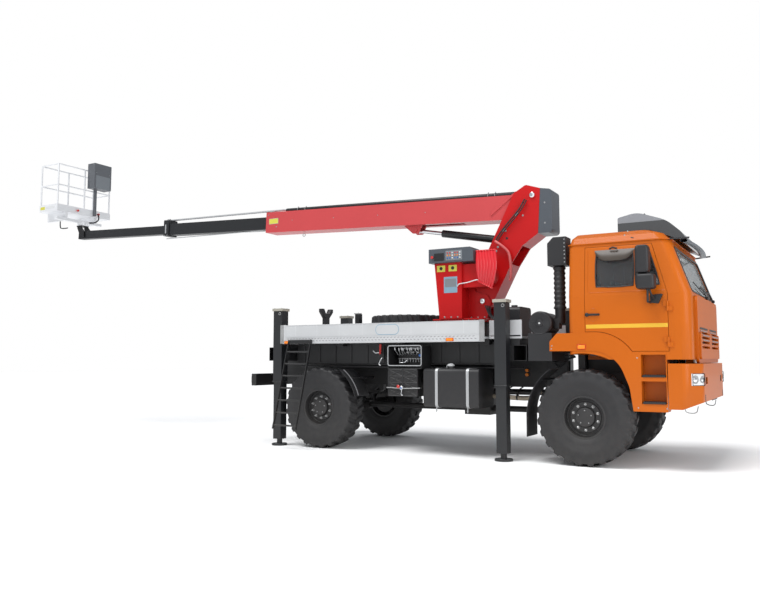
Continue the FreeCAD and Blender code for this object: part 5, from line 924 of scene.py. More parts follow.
@dataclass(frozen=True)
class Studio:
    """Floor, backdrop light, lamps and the camera at the photo's place.

    Attributes:
        sun_spread: The sun's width in the sky, in degrees.
        panels: Name, place, power and size of each soft panel.
        yaw: How far the camera is turned to the left of straight across, in degrees.
        pitch: How far it looks up, in degrees.
    """

    floor_half: float = 60.0
    sky_tone: tuple[float, ...] = (0.93, 0.96, 1.0, 1.0)
    sky_strength: float = 0.5
    sun_energy: float = 2.6
    sun_spread: float = 32.0
    sun_aim: Point = (0.25, 0.45, -1.0)
    panels: tuple[tuple[str, Point, float, float], ...] = (
        ("Side panel", (4.0, -16.0, 8.0), 240.0, 10.0),
        ("Front panel", (14.0, -6.0, 5.0), 520.0, 6.0),
    )
    panel_target: Point = (0.0, 0.0, 1.8)
    eye: Point = (2.6919, -11.0604, 1.3813)
    yaw: float = 30.23
    pitch: float = 4.88
    lens: float = 35.74
    sensor: float = 36.0
    far: float = 200.0

    def build(self) -> None:
        """Builds the studio."""
        self.floor()
        self.world()
        self.lamps()
        self.camera()

    def floor(self) -> None:
        """A plain pale floor on the ground."""
        mesh = bpy.data.meshes.new("Floor")
        half = self.floor_half
        corners = [(-half, -half, 0), (half, -half, 0), (half, half, 0), (-half, half, 0)]
        mesh.from_pydata(corners, [], [(0, 1, 2, 3)])
        material = bpy.data.materials.new("Studio floor")
        material.use_nodes = True
        shader = material.node_tree.nodes["Principled BSDF"]
        fill(shader, {"Base Color": (0.93, 0.93, 0.93, 1.0), "Roughness": 0.9})
        mesh.materials.append(material)
        self.place(bpy.data.objects.new("Floor", mesh))

    def world(self) -> None:
        """White to the camera, a soft even light to everything else."""
        world = bpy.data.worlds.new("Studio")
        world.use_nodes = True
        nodes, links = world.node_tree.nodes, world.node_tree.links
        nodes.clear()
        rays = nodes.new("ShaderNodeLightPath")
        mix = nodes.new("ShaderNodeMixShader")
        out = nodes.new("ShaderNodeOutputWorld")
        links.new(rays.outputs["Is Camera Ray"], mix.inputs[0])
        for place, tone, strength in ((1, self.sky_tone, self.sky_strength), (2, (1.0, 1.0, 1.0, 1.0), 1.0)):
            light = nodes.new("ShaderNodeBackground")
            fill(light, {"Color": tone, "Strength": strength})
            links.new(light.outputs[0], mix.inputs[place])
        links.new(mix.outputs[0], out.inputs["Surface"])
        bpy.context.scene.world = world

    def lamps(self) -> None:
        """One broad sun from high on the right and two soft panels."""
        sun = bpy.data.lights.new("Sun", "SUN")
        sun.energy = self.sun_energy
        sun.angle = math.radians(self.sun_spread)
        self.place(bpy.data.objects.new("Sun", sun), aim=Vector(self.sun_aim))
        for name, spot, energy, size in self.panels:
            light = bpy.data.lights.new(name, "AREA")
            light.energy = energy
            light.size = size
            panel = bpy.data.objects.new(name, light)
            panel.location = spot
            self.place(panel, aim=Vector(self.panel_target) - Vector(spot))

    def camera(self) -> None:
        """The photo's viewpoint."""
        data = bpy.data.cameras.new("Photo camera")
        data.sensor_fit = "HORIZONTAL"
        data.sensor_width = self.sensor
        data.lens = self.lens
        data.clip_end = self.far
        made = bpy.data.objects.new("Photo camera", data)
        made.location = Vector(self.eye) + ORIGIN
        yaw, pitch = math.radians(self.yaw), math.radians(self.pitch)
        ahead = Vector((-math.sin(yaw) * math.cos(pitch), math.cos(yaw) * math.cos(pitch), math.sin(pitch)))
        made.rotation_euler = ahead.to_track_quat("-Z", "Y").to_euler()
        bpy.context.scene.collection.objects.link(made)
        bpy.context.scene.camera = made

    @staticmethod
    def place(made: bpy.types.Object, aim: Vector | None = None) -> None:
        """Puts a piece of the studio into the scene.

        Args:
            made: The piece.
            aim: The direction that it faces, if it has one.
        """
        if aim is not None:
            made.rotation_euler = aim.to_track_quat("-Z", "Y").to_euler()
        bpy.context.scene.collection.objects.link(made)


@dataclass(frozen=True)
class FrameFinishes:
    """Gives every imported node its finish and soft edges.

    Attributes:
        plain: Nodes whose edges stay as they are.
    """

    edge: float = 0.004
    plain: Names = ("windscreen", "door_glass_left", "door_glass_right", "ram_rod", "lamps")

    def build(self) -> None:
        """Paints the nodes."""
        for finish, names in NODE_FINISHES.items():
            material = finish.material()
            for name in names:
                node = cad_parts[name]
                node.data.materials.clear()
                node.data.materials.append(material)
                if name not in self.plain:
                    soften(node, self.edge, weld=True)


def node_middle(name: str) -> Array:
    """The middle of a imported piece's box, from the axle origin."""
    low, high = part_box(name)
    return np.array((low + high) / 2 - ORIGIN)


def spokes(count: int, shift: float = 0.0) -> Array:
    """Directions spread evenly round a circle.

    Args:
        count: How many there are.
        shift: How far the first is turned, in radians.

    Returns:
        The cosine and sine of each, as rows.
    """
    angle = 2 * math.pi * np.arange(count) / count + shift
    return np.stack([np.cos(angle), np.sin(angle)], -1)


@dataclass(frozen=True)
class Tyre:
    """One off-road tyre: two rows of leaning lugs, ribbed shoulders and ringed sides.

    Attributes:
        twist: How far a lug leans back from crown to shoulder, in degrees.
        shoulder_drop: How much lower the shoulder stands than the crown.
        bead_rows: Section points beside the bead: Y and radius from it, and the share of the lug height.
        wall_rows: The same for the wall, Y from the side and radius from the bead.
        sharp: The angle in degrees above which an edge of it stays sharp.
    """

    radius: float = 0.63
    width: float = 0.42
    bead: float = 0.27
    bead_half: float = 0.15
    lugs: int = 24
    lug_height: float = 0.024
    twist: float = 6.5
    shoulder_drop: float = 0.015
    bead_rows: Route = (
        (0.0, 0.0, 0.0), (-0.012, 0.012, 0.0), (-0.02, 0.045, 0.0), (-0.034, 0.07, 0.0), (-0.034, 0.078, 0.0),
    )
    wall_rows: Route = (
        (0.018, 0.11, 0.0), (0.004, 0.165, 0.0), (0.0, 0.18, 0.0), (0.001, 0.215, 0.0), (0.004, 0.225, 0.0),
        (0.006, 0.262, 0.0), (0.01, 0.27, 0.25),
    )
    sharp: float = 50.0

    def outline(self) -> tuple[Array, Array, Array]:
        """The section from the inner bead round the tread to the outer one.

        Across the tread the radius falls with the square of the distance from the middle.

        Returns:
            Y, base radius and the share of the lug height at each point.
        """
        half = self.width / 2
        floor = self.radius - self.lug_height
        shoulder = floor - self.shoulder_drop
        side = np.concatenate([
            self.bead_rows + np.array([-self.bead_half, self.bead, 0.0]),
            self.wall_rows + np.array([-half, self.bead, 0.0]),
            [(-half + 0.009, floor - 0.03, 0.7), (-half + 0.012, shoulder - 0.004, 0.9)],
            [(-half + 0.022, shoulder + 0.004, 1.0)],
        ])
        y = np.linspace(-half + 0.03, -0.014, 9)
        crown = floor - self.shoulder_drop * (np.abs(y) / half) ** 2 + 0.001
        near = np.concatenate([side, np.stack([y, crown, np.ones(len(y))], -1)])
        middle = np.array([(-0.008, floor, 0.0), (0.008, floor, 0.0)])
        rows = np.concatenate([near, middle, near[::-1] * (-1.0, 1.0, 1.0)])
        return rows[:, 0], rows[:, 1], rows[:, 2]

    def points(self, centre: Array, flat: bool = False) -> Array:
        """Every point of the tyre's skin.

        A lug is where the angle, counted in lugs and shifted by the lean, lies within a quarter of its
        middle; its flanks rise with a smooth step. The lug height adds to the radius, and on the sides
        a part of it adds along Y.

        Args:
            centre: The tyre's middle.
            flat: Whether it lies flat, its axle upright.

        Returns:
            The points, rows round the tyre by columns across it.
        """
        y, base, share = self.outline()
        angle = np.linspace(0, 2 * np.pi, self.lugs * 14, endpoint=False)[:, None]
        pitch = 2 * np.pi / self.lugs
        across = np.clip(np.abs(y) / (self.width / 2), 0, 1)
        phase = np.sign(y) * pitch / 4 - np.radians(self.twist) * across
        turn = np.mod((angle - phase[None]) / pitch - 0.125 + 0.5, 1.0) - 0.5
        rise = np.clip((0.27 - np.abs(turn)) / 0.06, 0, 1)
        rise = rise * rise * (3 - 2 * rise)
        groove = np.exp(-(((np.abs(y) - 0.105) / 0.006) ** 2))[None]
        height = self.lug_height * share[None] * rise * (1 - 0.55 * groove)
        on_side = (np.abs(y) > self.width / 2 - 0.02)[None]
        radius = base[None] + np.where(on_side, height * 0.35, height)
        outward = np.where(on_side, height * 0.4, 0.0)
        points = np.zeros((len(angle), len(y), 3))
        points[..., 0] = radius * np.sin(angle)
        points[..., 2] = radius * np.cos(angle)
        points[..., 1] = y[None] + np.sign(y)[None] * outward
        if flat:
            points = points[..., [0, 2, 1]]
            points[..., 1] *= -1
        return points + centre


@dataclass(frozen=True)
class Wheels:
    """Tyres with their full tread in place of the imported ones, and the studs and rings of the rims.

    Attributes:
        hub: The hub's profile, as heights outward and radii.
    """

    studs: int = 10
    stud_circle: float = 0.168
    bolts: int = 5
    bolt_circle: float = 0.088
    hub: Outline = (
        (0.066, 0.205), (0.078, 0.2), (0.078, 0.135), (0.1, 0.128), (0.118, 0.122), (0.124, 0.105),
        (0.124, 0.0),
    )
    ring: Outline = ((0.058, 0.262), (0.07, 0.256), (0.07, 0.24), (0.06, 0.232), (0.058, 0.225))
    stud: Outline = (
        (0.074, 0.021), (0.08, 0.021), (0.08, 0.016), (0.1, 0.015), (0.104, 0.009), (0.118, 0.009),
    )
    bolt: Outline = ((0.12, 0.008), (0.131, 0.008))

    def build(self) -> None:
        """Builds the four road wheels."""
        for end, side in CORNERS:
            self.road_wheel(end, side)

    def road_wheel(self, end: str, side: Side) -> None:
        """One wheel's tyre and rim details.

        Args:
            end: Front or rear.
            side: The side of the vehicle.
        """
        label = f"{end}_{side.word}"
        centre = node_middle(f"tyre_{label}")
        body = f"wheel_{label}"
        tyre = Tyre()
        form = Form(f"tread_{label}")
        form.grid(tyre.points(centre), closed_u=True)
        form.make(TYRE, body, sharp=tyre.sharp, stands_for=(f"tyre_{label}",))
        hub = Form(f"hub_{label}")
        hub.lathe(self.hub, centre, side.turn, 40)
        hub.lathe(self.ring, centre, side.turn, 48)
        hub.make(RIM, body, bevel=0.002)
        studs = Form(f"studs_{label}")
        circle = self.stud_circle * spokes(self.studs, math.pi / self.studs)
        for spot in centre + ring_path(circle, Axis.Y, 0.0):
            studs.lathe(self.stud, spot, side.turn, 6)
        for spot in centre + ring_path(self.bolt_circle * spokes(self.bolts, 0.3), Axis.Y, 0.0):
            studs.lathe(self.bolt, spot, side.turn, 6)
        studs.make(STEEL, body)


BELT = 2.2
PANE_HIGH = 0.69


def cab_half(z: float | Array) -> float | Array:
    """Half the cab's width at a height: upright below the belt, leaning in above it."""
    return 1.245 - 0.085 * np.maximum(z - BELT, 0.0) / PANE_HIGH


def cab_nose(z: float | Array) -> float | Array:
    """How far forward the cab's front stands at a height: upright below the belt, leaning back above it."""
    return 1.35 - 0.24 * np.maximum(z - BELT, 0.0) / PANE_HIGH


@dataclass(frozen=True)
class CabGlazing:
    """Rubber round the panes, the smoked deflectors over the side windows, and the wipers.

    Attributes:
        quarter: Corners of the small pane before it.
        hood_post: Where its mount sits on the door frame, given for the left side.
        wipers: Foot, inner and outer end of each wiper, as Y and Z.
    """

    pane: Outline = ((0.2, 2.31), (0.68, 2.31), (0.68, 2.76), (0.2, 2.76))
    quarter: Outline = ((0.702, 2.31), (1.0, 2.31), (0.872, 2.76), (0.702, 2.76))
    screen_low: Flat = (-1.04, 2.23)
    screen_high: Flat = (1.04, 2.8)
    hood_top: float = 2.8
    hood_post: Route = ((0.385, 1.205, 2.806), (0.425, 1.215, 2.822), (0.48, 1.205, 2.806))
    wipers: tuple[Outline, ...] = (
        ((0.08, 2.212), (0.02, 2.262), (-0.68, 2.372)),
        ((0.78, 2.212), (0.72, 2.262), (0.02, 2.372)),
    )

    def build(self) -> None:
        """Builds the glazing's small pieces."""
        for side in Side:
            kit = Kit(f"window_{side.word}", f"door_{side.word}")
            for pane in (self.pane, self.quarter):
                kit[PLASTIC].tube(self.on_side(pane, side), 0.009, 8, closed=True)
            self.deflector(kit, side)
            kit.done()
        self.screen()

    def on_side(self, corners: Outline, side: Side) -> Array:
        """A pane's outline on the leaning side of the cab, its corners cut twice so that they bend softly.

        Args:
            corners: The pane's corners as X and Z.
            side: The side of the cab.

        Returns:
            The points of the outline.
        """
        flat = np.array(corners)
        for share in (0.06, 0.3):
            step = share * (np.roll(flat, -1, 0) - flat)
            flat = np.stack([flat + step, np.roll(flat, -1, 0) - step], 1).reshape(-1, 2)
        x, z = flat.T
        return np.stack([x, side.value * (cab_half(z) + 0.001), z], -1)

    def deflector(self, kit: Kit, side: Side) -> None:
        """The smoked hood over the square pane.

        Its lower edge rises towards both ends with the fourth power of the place along it; it stands out
        by a sine of the place across it, so that it is round in section.

        Args:
            kit: Where it is added.
            side: The side of the cab.
        """
        u = np.linspace(-1, 1, 25)[:, None]
        v = np.linspace(0, 1, 9)[None]
        drop = 0.15 * (1 - 0.65 * u**4)
        z = self.hood_top - drop * v
        x = 0.44 + 0.255 * u * (1 - 0.06 * v)
        lift = 0.004 + 0.034 * np.sin(v * np.pi * 0.62) * (1 - 0.75 * u**6)
        y = side.value * (cab_half(z) + lift)
        kit[SMOKED].grid(np.stack([x + 0 * z, y, z], -1))
        kit[PLASTIC].tube(side.at(*self.hood_post), 0.012)

    def screen(self) -> None:
        """The windscreen's rubber and two wipers that park over its lower half."""
        kit = Kit("screen", "chassis")
        y, z = rounded(self.screen_low, self.screen_high, 0.055, 5).T
        kit[PLASTIC].tube(np.stack([cab_nose(z) - 0.002, y, z], -1), 0.011, 8, closed=True)
        for (foot_y, foot_z), *ends in self.wipers:
            foot = (cab_nose(foot_z) + 0.03, foot_y, foot_z)
            start, end = (np.array([cab_nose(z) + 0.02, y, z]) for y, z in ends)
            middle = (start + end) / 2 + (0.014, 0.0, 0.006)
            knee = (cab_nose(2.32) + 0.045, foot_y * 0.6 + middle[1] * 0.4, 2.3)
            kit[PLASTIC].hose((foot, knee, tuple(middle)), 0.008, 8)
            kit[PLASTIC].tube(np.stack([start, end]), 0.008, 6)
            kit[PLASTIC].lathe(((-0.02, 0.022), (0.012, 0.022), (0.02, 0.014)), foot, Axis.X, 14)
        kit.done()


@dataclass(frozen=True)
class CabSides:
    """Door handles, the yellow stripe, pressed lines, steps, side lamps and the arms of the mirrors.

    Attributes:
        skin: How far the door's face stands from the middle.
        mast: X and distance from the middle of the mirrors' upright arm.
    """

    skin: float = 1.245
    stripe: Outline = ((0.07, 1.78), (1.078, 1.78), (1.078, 1.83), (0.07, 1.83))
    press: Outline = ((0.098, 2.8), (0.098, 2.28), (0.112, 2.252), (0.14, 2.243), (1.06, 2.243))
    treads: Flat = (0.862, 1.192)
    screws: Outline = ((-0.39, 1.56), (-0.395, 1.52), (0.7, 0.78), (0.7, 1.4), (1.04, 0.78))
    lamp: Point = (0.006, 2.0, 1.543)
    heads: tuple[tuple[Point, Point], ...] = (
        ((0.83, 1.405, 2.62), (0.084, 0.09, 0.176)),
        ((0.862, 1.4, 2.34), (0.112, 0.1, 0.096)),
    )
    mast: Flat = (0.894, 1.41)
    clamps: tuple[float, ...] = (2.69, 2.56, 2.37, 2.31)
    arm: Route = ((0.894, 1.41, 2.27), (0.915, 1.39, 2.19), (0.935, 1.3, 2.125))
    wedge: Outline = ((0.885, 2.085), (0.98, 2.072), (1.035, 2.185), (1.02, 2.19), (0.885, 2.18))

    def build(self) -> None:
        """Builds both sides."""
        for side in Side:
            self.door(side)
            self.steps(side)
            self.mirror(side)

    def door(self, side: Side) -> None:
        """The stripe, the handle in its recess and the pressed lines, which ride on a door.

        Args:
            side: The side of the cab.
        """
        kit = Kit(f"door_trim_{side.word}", f"door_{side.word}")
        kit[YELLOW].slab(self.stripe, side, self.skin - 0.001, self.skin + 0.0016)
        kit[PLASTIC].slab(rounded((0.075, 1.945), (0.25, 1.972), 0.013), side, 1.244, 1.252)
        kit[PLASTIC].slab(rounded((0.1, 1.95), (0.235, 1.968), 0.009), side, 1.262, 1.274)
        lock = ((-0.002, 0.026), (0.02, 0.024), (0.026, 0.016))
        kit[PLASTIC].knob(lock, (0.085, self.skin, 1.958), side, 20)
        kit[PLASTIC].tube(side.at((0.225, 1.248, 1.959), (0.228, 1.268, 1.959)), 0.008, 8)
        x, z = np.array(self.press).T
        kit[ORANGE].tube(np.stack([x, side.value * (cab_half(z) - 0.001), z], -1), 0.0055, 8)
        for height, start in ((2.0, 20), (1.91, 200)):
            bow = arc(tuple(side.at((0.165, self.skin, height))[0]), 0.04, start, start + 140, Axis.Y, 9)
            kit[ORANGE].tube(bow, 0.004, 6)
        kit.done(bevel=0.0008)

    def steps(self, side: Side) -> None:
        """The two toothed treads, the amber lamp on the wheel arch and its screws.

        Args:
            side: The side of the cab.
        """
        kit = Kit(f"arch_trim_{side.word}", "chassis")
        out = side.value
        for top in self.treads:
            kit[PLASTIC].box((0.76, out * 1.12, top - 0.03), (1.03, out * 1.262, top - 0.008))
            for tooth in np.arange(0.768, 1.02, 0.021):
                kit[PLASTIC].box((tooth, out * 1.125, top - 0.008), (tooth + 0.009, out * 1.258, top))
        skin = Skin(("wheel_arches",))
        spot = tuple(side.at(self.lamp)[0])
        skin.plate(kit[STEP_RED], spot, side.inward, (0.118, 0.07), 0.006, 0.008)
        skin.plate(kit[AMBER], spot, side.inward, (0.092, 0.046), 0.016, 0.008)
        for x, z in self.screws:
            skin.stud(kit[STEEL], (x, out * 2, z), side.inward, 0.006, 0.004)
        kit.done(bevel=0.0015)

    def mirror(self, side: Side) -> None:
        """Bulged backs of both mirror heads, their clamps, the bracket on the door and the lower arm.

        Args:
            side: The side of the cab.
        """
        kit = Kit(f"mirror_trim_{side.word}", f"door_{side.word}")
        for centre, half in self.heads:
            kit[PLASTIC].grid(self.head(side.at(centre)[0], half), closed_v=True)
        for z in self.clamps:
            spot = side.at((*self.mast, z))[0]
            kit[PLASTIC].lathe(((-0.024, 0.022), (0.024, 0.022)), spot, Axis.Z, 14)
        kit[PLASTIC].hose(side.at(*self.arm), 0.013, 10)
        kit[PLASTIC].slab(self.wedge, side, self.skin + 0.0005, 1.3)
        kit.done(bevel=0.004)

    @staticmethod
    def head(centre: Array, half: Point) -> Array:
        """A box with bulged faces: the powers 0.35 of sine and cosine over two angles, times the half sizes.

        Args:
            centre: Its middle.
            half: Half its size along each axis.

        Returns:
            The points, rows by columns.
        """
        up = np.linspace(-np.pi / 2, np.pi / 2, 25)[:, None]
        turn = np.linspace(0, 2 * np.pi, 48, endpoint=False)[None]
        ways = np.cos(up), np.sin(up), np.cos(turn), np.sin(turn)
        cos_up, sin_up, cos_turn, sin_turn = (np.sign(way) * np.abs(way) ** 0.35 for way in ways)
        points = np.stack([cos_up * cos_turn, cos_up * sin_turn, sin_up + 0 * turn], -1)
        return points * np.array(half) + centre


@dataclass(frozen=True)
class CabFront:
    """Painted-shade strips in the grille openings, headlamps, towing point, and the sun visor's rim and side
    rods.

    Attributes:
        bowls: Distance from the middle and radius of each lamp bowl.
        visor: Section of the visor's rim, as a distance forward and a height.
        visor_bow: Where the rim stands at the middle, and how it falls back with the square of Y.
        horn: Corners of the horn's small pyramid on the roof, its tip last.
    """

    grille_half: float = 0.475
    openings: tuple[float, ...] = (1.595, 1.655, 1.715, 1.775)
    bars: tuple[float, ...] = (1.625, 1.685, 1.745)
    bowls: Outline = ((1.135, 0.044), (1.04, 0.036))
    lamp_z: float = 1.135
    towing: Route = (
        (1.2, 0.98, 0.8), (1.215, 0.975, 0.735), (1.27, 0.95, 0.715), (1.33, 0.92, 0.728),
        (1.35, 0.905, 0.8),
    )
    visor: Outline = (
        (0.0, 2.91), (-0.004, 2.884), (0.02, 2.868), (0.076, 2.87), (0.084, 2.894), (0.064, 2.914),
    )
    visor_bow: Flat = (1.262, 0.07)
    rods: Route = ((0.64, 1.128, 2.945), (0.76, 1.132, 2.905), (1.05, 1.12, 2.895), (1.33, 1.03, 2.905))
    visor_bolts: Outline = ((0.56, 2.985), (0.64, 2.955), (0.6, 3.03))
    horn: Route = (
        (0.66, -0.56, 3.262), (0.78, -0.56, 3.25), (0.78, -0.66, 3.25), (0.66, -0.66, 3.262),
        (0.72, -0.61, 3.345),
    )

    def build(self) -> None:
        """Builds the front."""
        kit = Kit("front", "chassis")
        block = Skin(("cab_front", "cab_shell"))
        halves = (-self.grille_half, self.grille_half)
        # Black strips seated in each grille opening: painted shade of the dark space behind the grille.
        for z in self.openings:
            for y in halves:
                block.plate(kit[BLACK], (2.0, y, z), BACK, (0.73, 0.025), 0.003, 0.01)
        for y in halves:
            for z in self.bars:
                block.plate(kit[GRILLE_BAR], (2.0, y, z), BACK, (0.64, 0.012), 0.006, 0.005)
        bumper = Skin(("bumper",))
        for side in Side:
            self.headlamp(kit, side)
            bumper.plate(kit[BLACK], (2.5, side.value * 0.93, 0.905), BACK, (0.05, 0.085), 0.002, 0.004)
            kit[STEEL].hose(side.at(*self.towing), 0.007, 8)
        kit[BLACK].prism(rounded((-0.26, 0.845), (0.26, 0.955), 0.01), Axis.X, 1.428, 1.4395)
        kit.done(bevel=0.001)
        self.sun_visor()

    def headlamp(self, kit: Kit, side: Side) -> None:
        """Two bright bowls behind the lens of one headlamp, in a dark frame.

        Args:
            kit: Where they are added.
            side: The side of the cab.
        """
        lamp = Skin(("lamps",))
        for y, radius in self.bowls:
            start = (2.5, side.value * y, self.lamp_z)
            rim = ((-0.001, radius + 0.008), (0.004, radius + 0.007), (0.005, radius), (0.001, radius * 0.7))
            lamp.cap(kit[STEEL], start, BACK, rim, 28)
            bowl = ((0.0, radius * 0.9), (0.003, radius * 0.5), (0.006, radius * 0.3))
            lamp.cap(kit[CHROME], start, BACK, bowl, 24)
        spot, normal = lamp.touch((2.5, side.value * 1.09, self.lamp_z), BACK)
        outline = ring_path(rounded((-0.098, -0.073), (0.098, 0.073), 0.012), Axis.Z, 0.0)
        kit[PLASTIC].tube(outline @ facing(normal).T + spot, 0.005, 6, closed=True)

    def sun_visor(self) -> None:
        """The dark rim along the visor's front edge, its side rods, and the horn on the roof."""
        kit = Kit("visor_trim", "chassis")
        ahead, height = np.array(self.visor).T
        y = np.linspace(-0.9, 0.9, 25)[:, None]
        middle, fall = self.visor_bow
        rim = np.stack([middle - fall * y**2 + ahead, y + 0 * ahead, 0 * y + height], -1)
        kit[GREY_PLASTIC].grid(rim, closed_v=True)
        for side in Side:
            kit[PLASTIC].hose(side.at(*self.rods), 0.012, 10)
            for x, z in self.visor_bolts:
                kit[STEEL].knob(((-0.004, 0.012), (0.008, 0.01)), (x, 1.116, z), side, 12)
        faces = [[3, 2, 1, 0], [0, 1, 4], [1, 2, 4], [2, 3, 4], [3, 0, 4]]
        kit[PLASTIC].add(np.array(self.horn), faces)
        kit.done(bevel=0.006)


@dataclass(frozen=True)
class BehindCab:
    """The filter's ribbed lid, the screws of the raised intake, a silencer pipe and the pieces near it.

    Attributes:
        seam: X, lowest height and spacing of the intake's seam screws, and how many there are.
        label: What the blank yellow label is aimed at, seen from the camera.
        hoses: Y and sag of each hose under the filter.
    """

    centre: Flat = (-0.59, 1.87)
    lid: Outline = (
        (-0.002, 0.15), (0.004, 0.15), (0.006, 0.144), (0.003, 0.14), (0.003, 0.05), (0.01, 0.044),
        (0.012, 0.03),
    )
    lid_knob: Outline = ((0.01, 0.014), (0.016, 0.013), (0.018, 0.008))
    ribs: int = 28
    seam: tuple[float, float, float, int] = (-0.262, 2.7, 0.052, 7)
    caps: Outline = ((-0.3, 2.69), (-0.44, 2.69), (-0.3, 3.02))
    bands: Flat = (2.085, 2.63)
    pipe: Route = (
        (-0.78, -0.56, 0.93), (-0.86, -0.64, 0.86), (-0.96, -0.68, 0.832), (-1.3, -0.69, 0.845),
        (-1.445, -0.69, 0.85),
    )
    elbow: Route = ((-0.8, -0.42, 1.0), (-0.79, -0.5, 0.96), (-0.78, -0.56, 0.93))
    straps: Flat = (-1.08, -1.25)
    label: Point = (-0.84, -0.6, 1.494)
    valves: Flat = (1.225, 1.165)
    hoses: Outline = ((-0.48, 0.1), (-0.52, 0.16), (-0.44, 0.22))

    def build(self) -> None:
        """Builds what stands between cab and deck."""
        kit = Kit("intake_trim", "chassis")
        inward = Side.RIGHT.inward
        intake = Skin(("air_intake",))
        x, z = self.centre
        spot, _ = intake.touch((x, -3.0, z), inward)
        face = (x, -spot[1], z)
        kit[PLASTIC].knob(self.lid, face, Side.RIGHT, 48)
        for along in ring_path(spokes(self.ribs), Axis.Y, 0.0):
            middle = np.array([x, spot[1] - 0.004, z])
            kit[PLASTIC].tube(np.stack([middle + along * 0.052, middle + along * 0.138]), 0.0038, 5)
        kit[DECK].knob(self.lid_knob, face, Side.RIGHT, 16)
        seam_x, low, step, count = self.seam
        for i in range(count):
            intake.stud(kit[STEEL], (seam_x, -3.0, low + step * i), inward, 0.006, 0.005)
        for cap_x, cap_z in self.caps:
            intake.stud(kit[PLASTIC], (cap_x, -3.0, cap_z), inward, 0.009, 0.006)
        for height in self.bands:
            kit[PLASTIC].lathe(((-0.012, 0.086), (0.012, 0.086)), (-0.37, -0.9, height), Axis.Z, 32)
        kit.done(bevel=0.001)
        self.low_fittings()

    def low_fittings(self) -> None:
        """The silencer pipe, a blank yellow label, two amber caps by the frame and three hoses."""
        kit = Kit("frame_trim", "chassis")
        kit[WARM_STEEL].hose(self.pipe, 0.034, 18)
        for x in self.straps:
            kit[BLACK].lathe(((-0.012, 0.041), (0.012, 0.041)), (x, -0.686, 0.841), Axis.X, 20)
            kit[BLACK].tube(((x, -0.686, 0.87), (x, -0.56, 0.96), (x, -0.425, 0.985)), 0.01, 8)
        kit[BLACK].hose(self.elbow, 0.034, 16)
        rail = Skin(("subframe", "chassis_frame", "engine_and_driveline", "mudguards"))
        eye = np.array(Studio.eye)
        aim = tuple(np.array(self.label) - eye)
        rail.plate(kit[LABEL_YELLOW], Studio.eye, aim, (0.06, 0.1), 0.003, 0.006)
        for z in self.valves:
            aim = tuple(np.array([-0.955, -0.6, z]) - eye)
            rail.cap(kit[AMBER_CAP], Studio.eye, aim, ((-0.01, 0.024), (0.04, 0.024), (0.046, 0.018)), 16)
        for y, sag in self.hoses:
            ends = ((-0.3, y, 1.42), (-0.42, y - 0.03, 1.6 - sag), (-0.56, y, 1.5 - sag))
            kit[PLASTIC].hose((*ends, (-0.72, y + 0.04, 1.54)), 0.014, 8)
        kit.done(bevel=0.001)


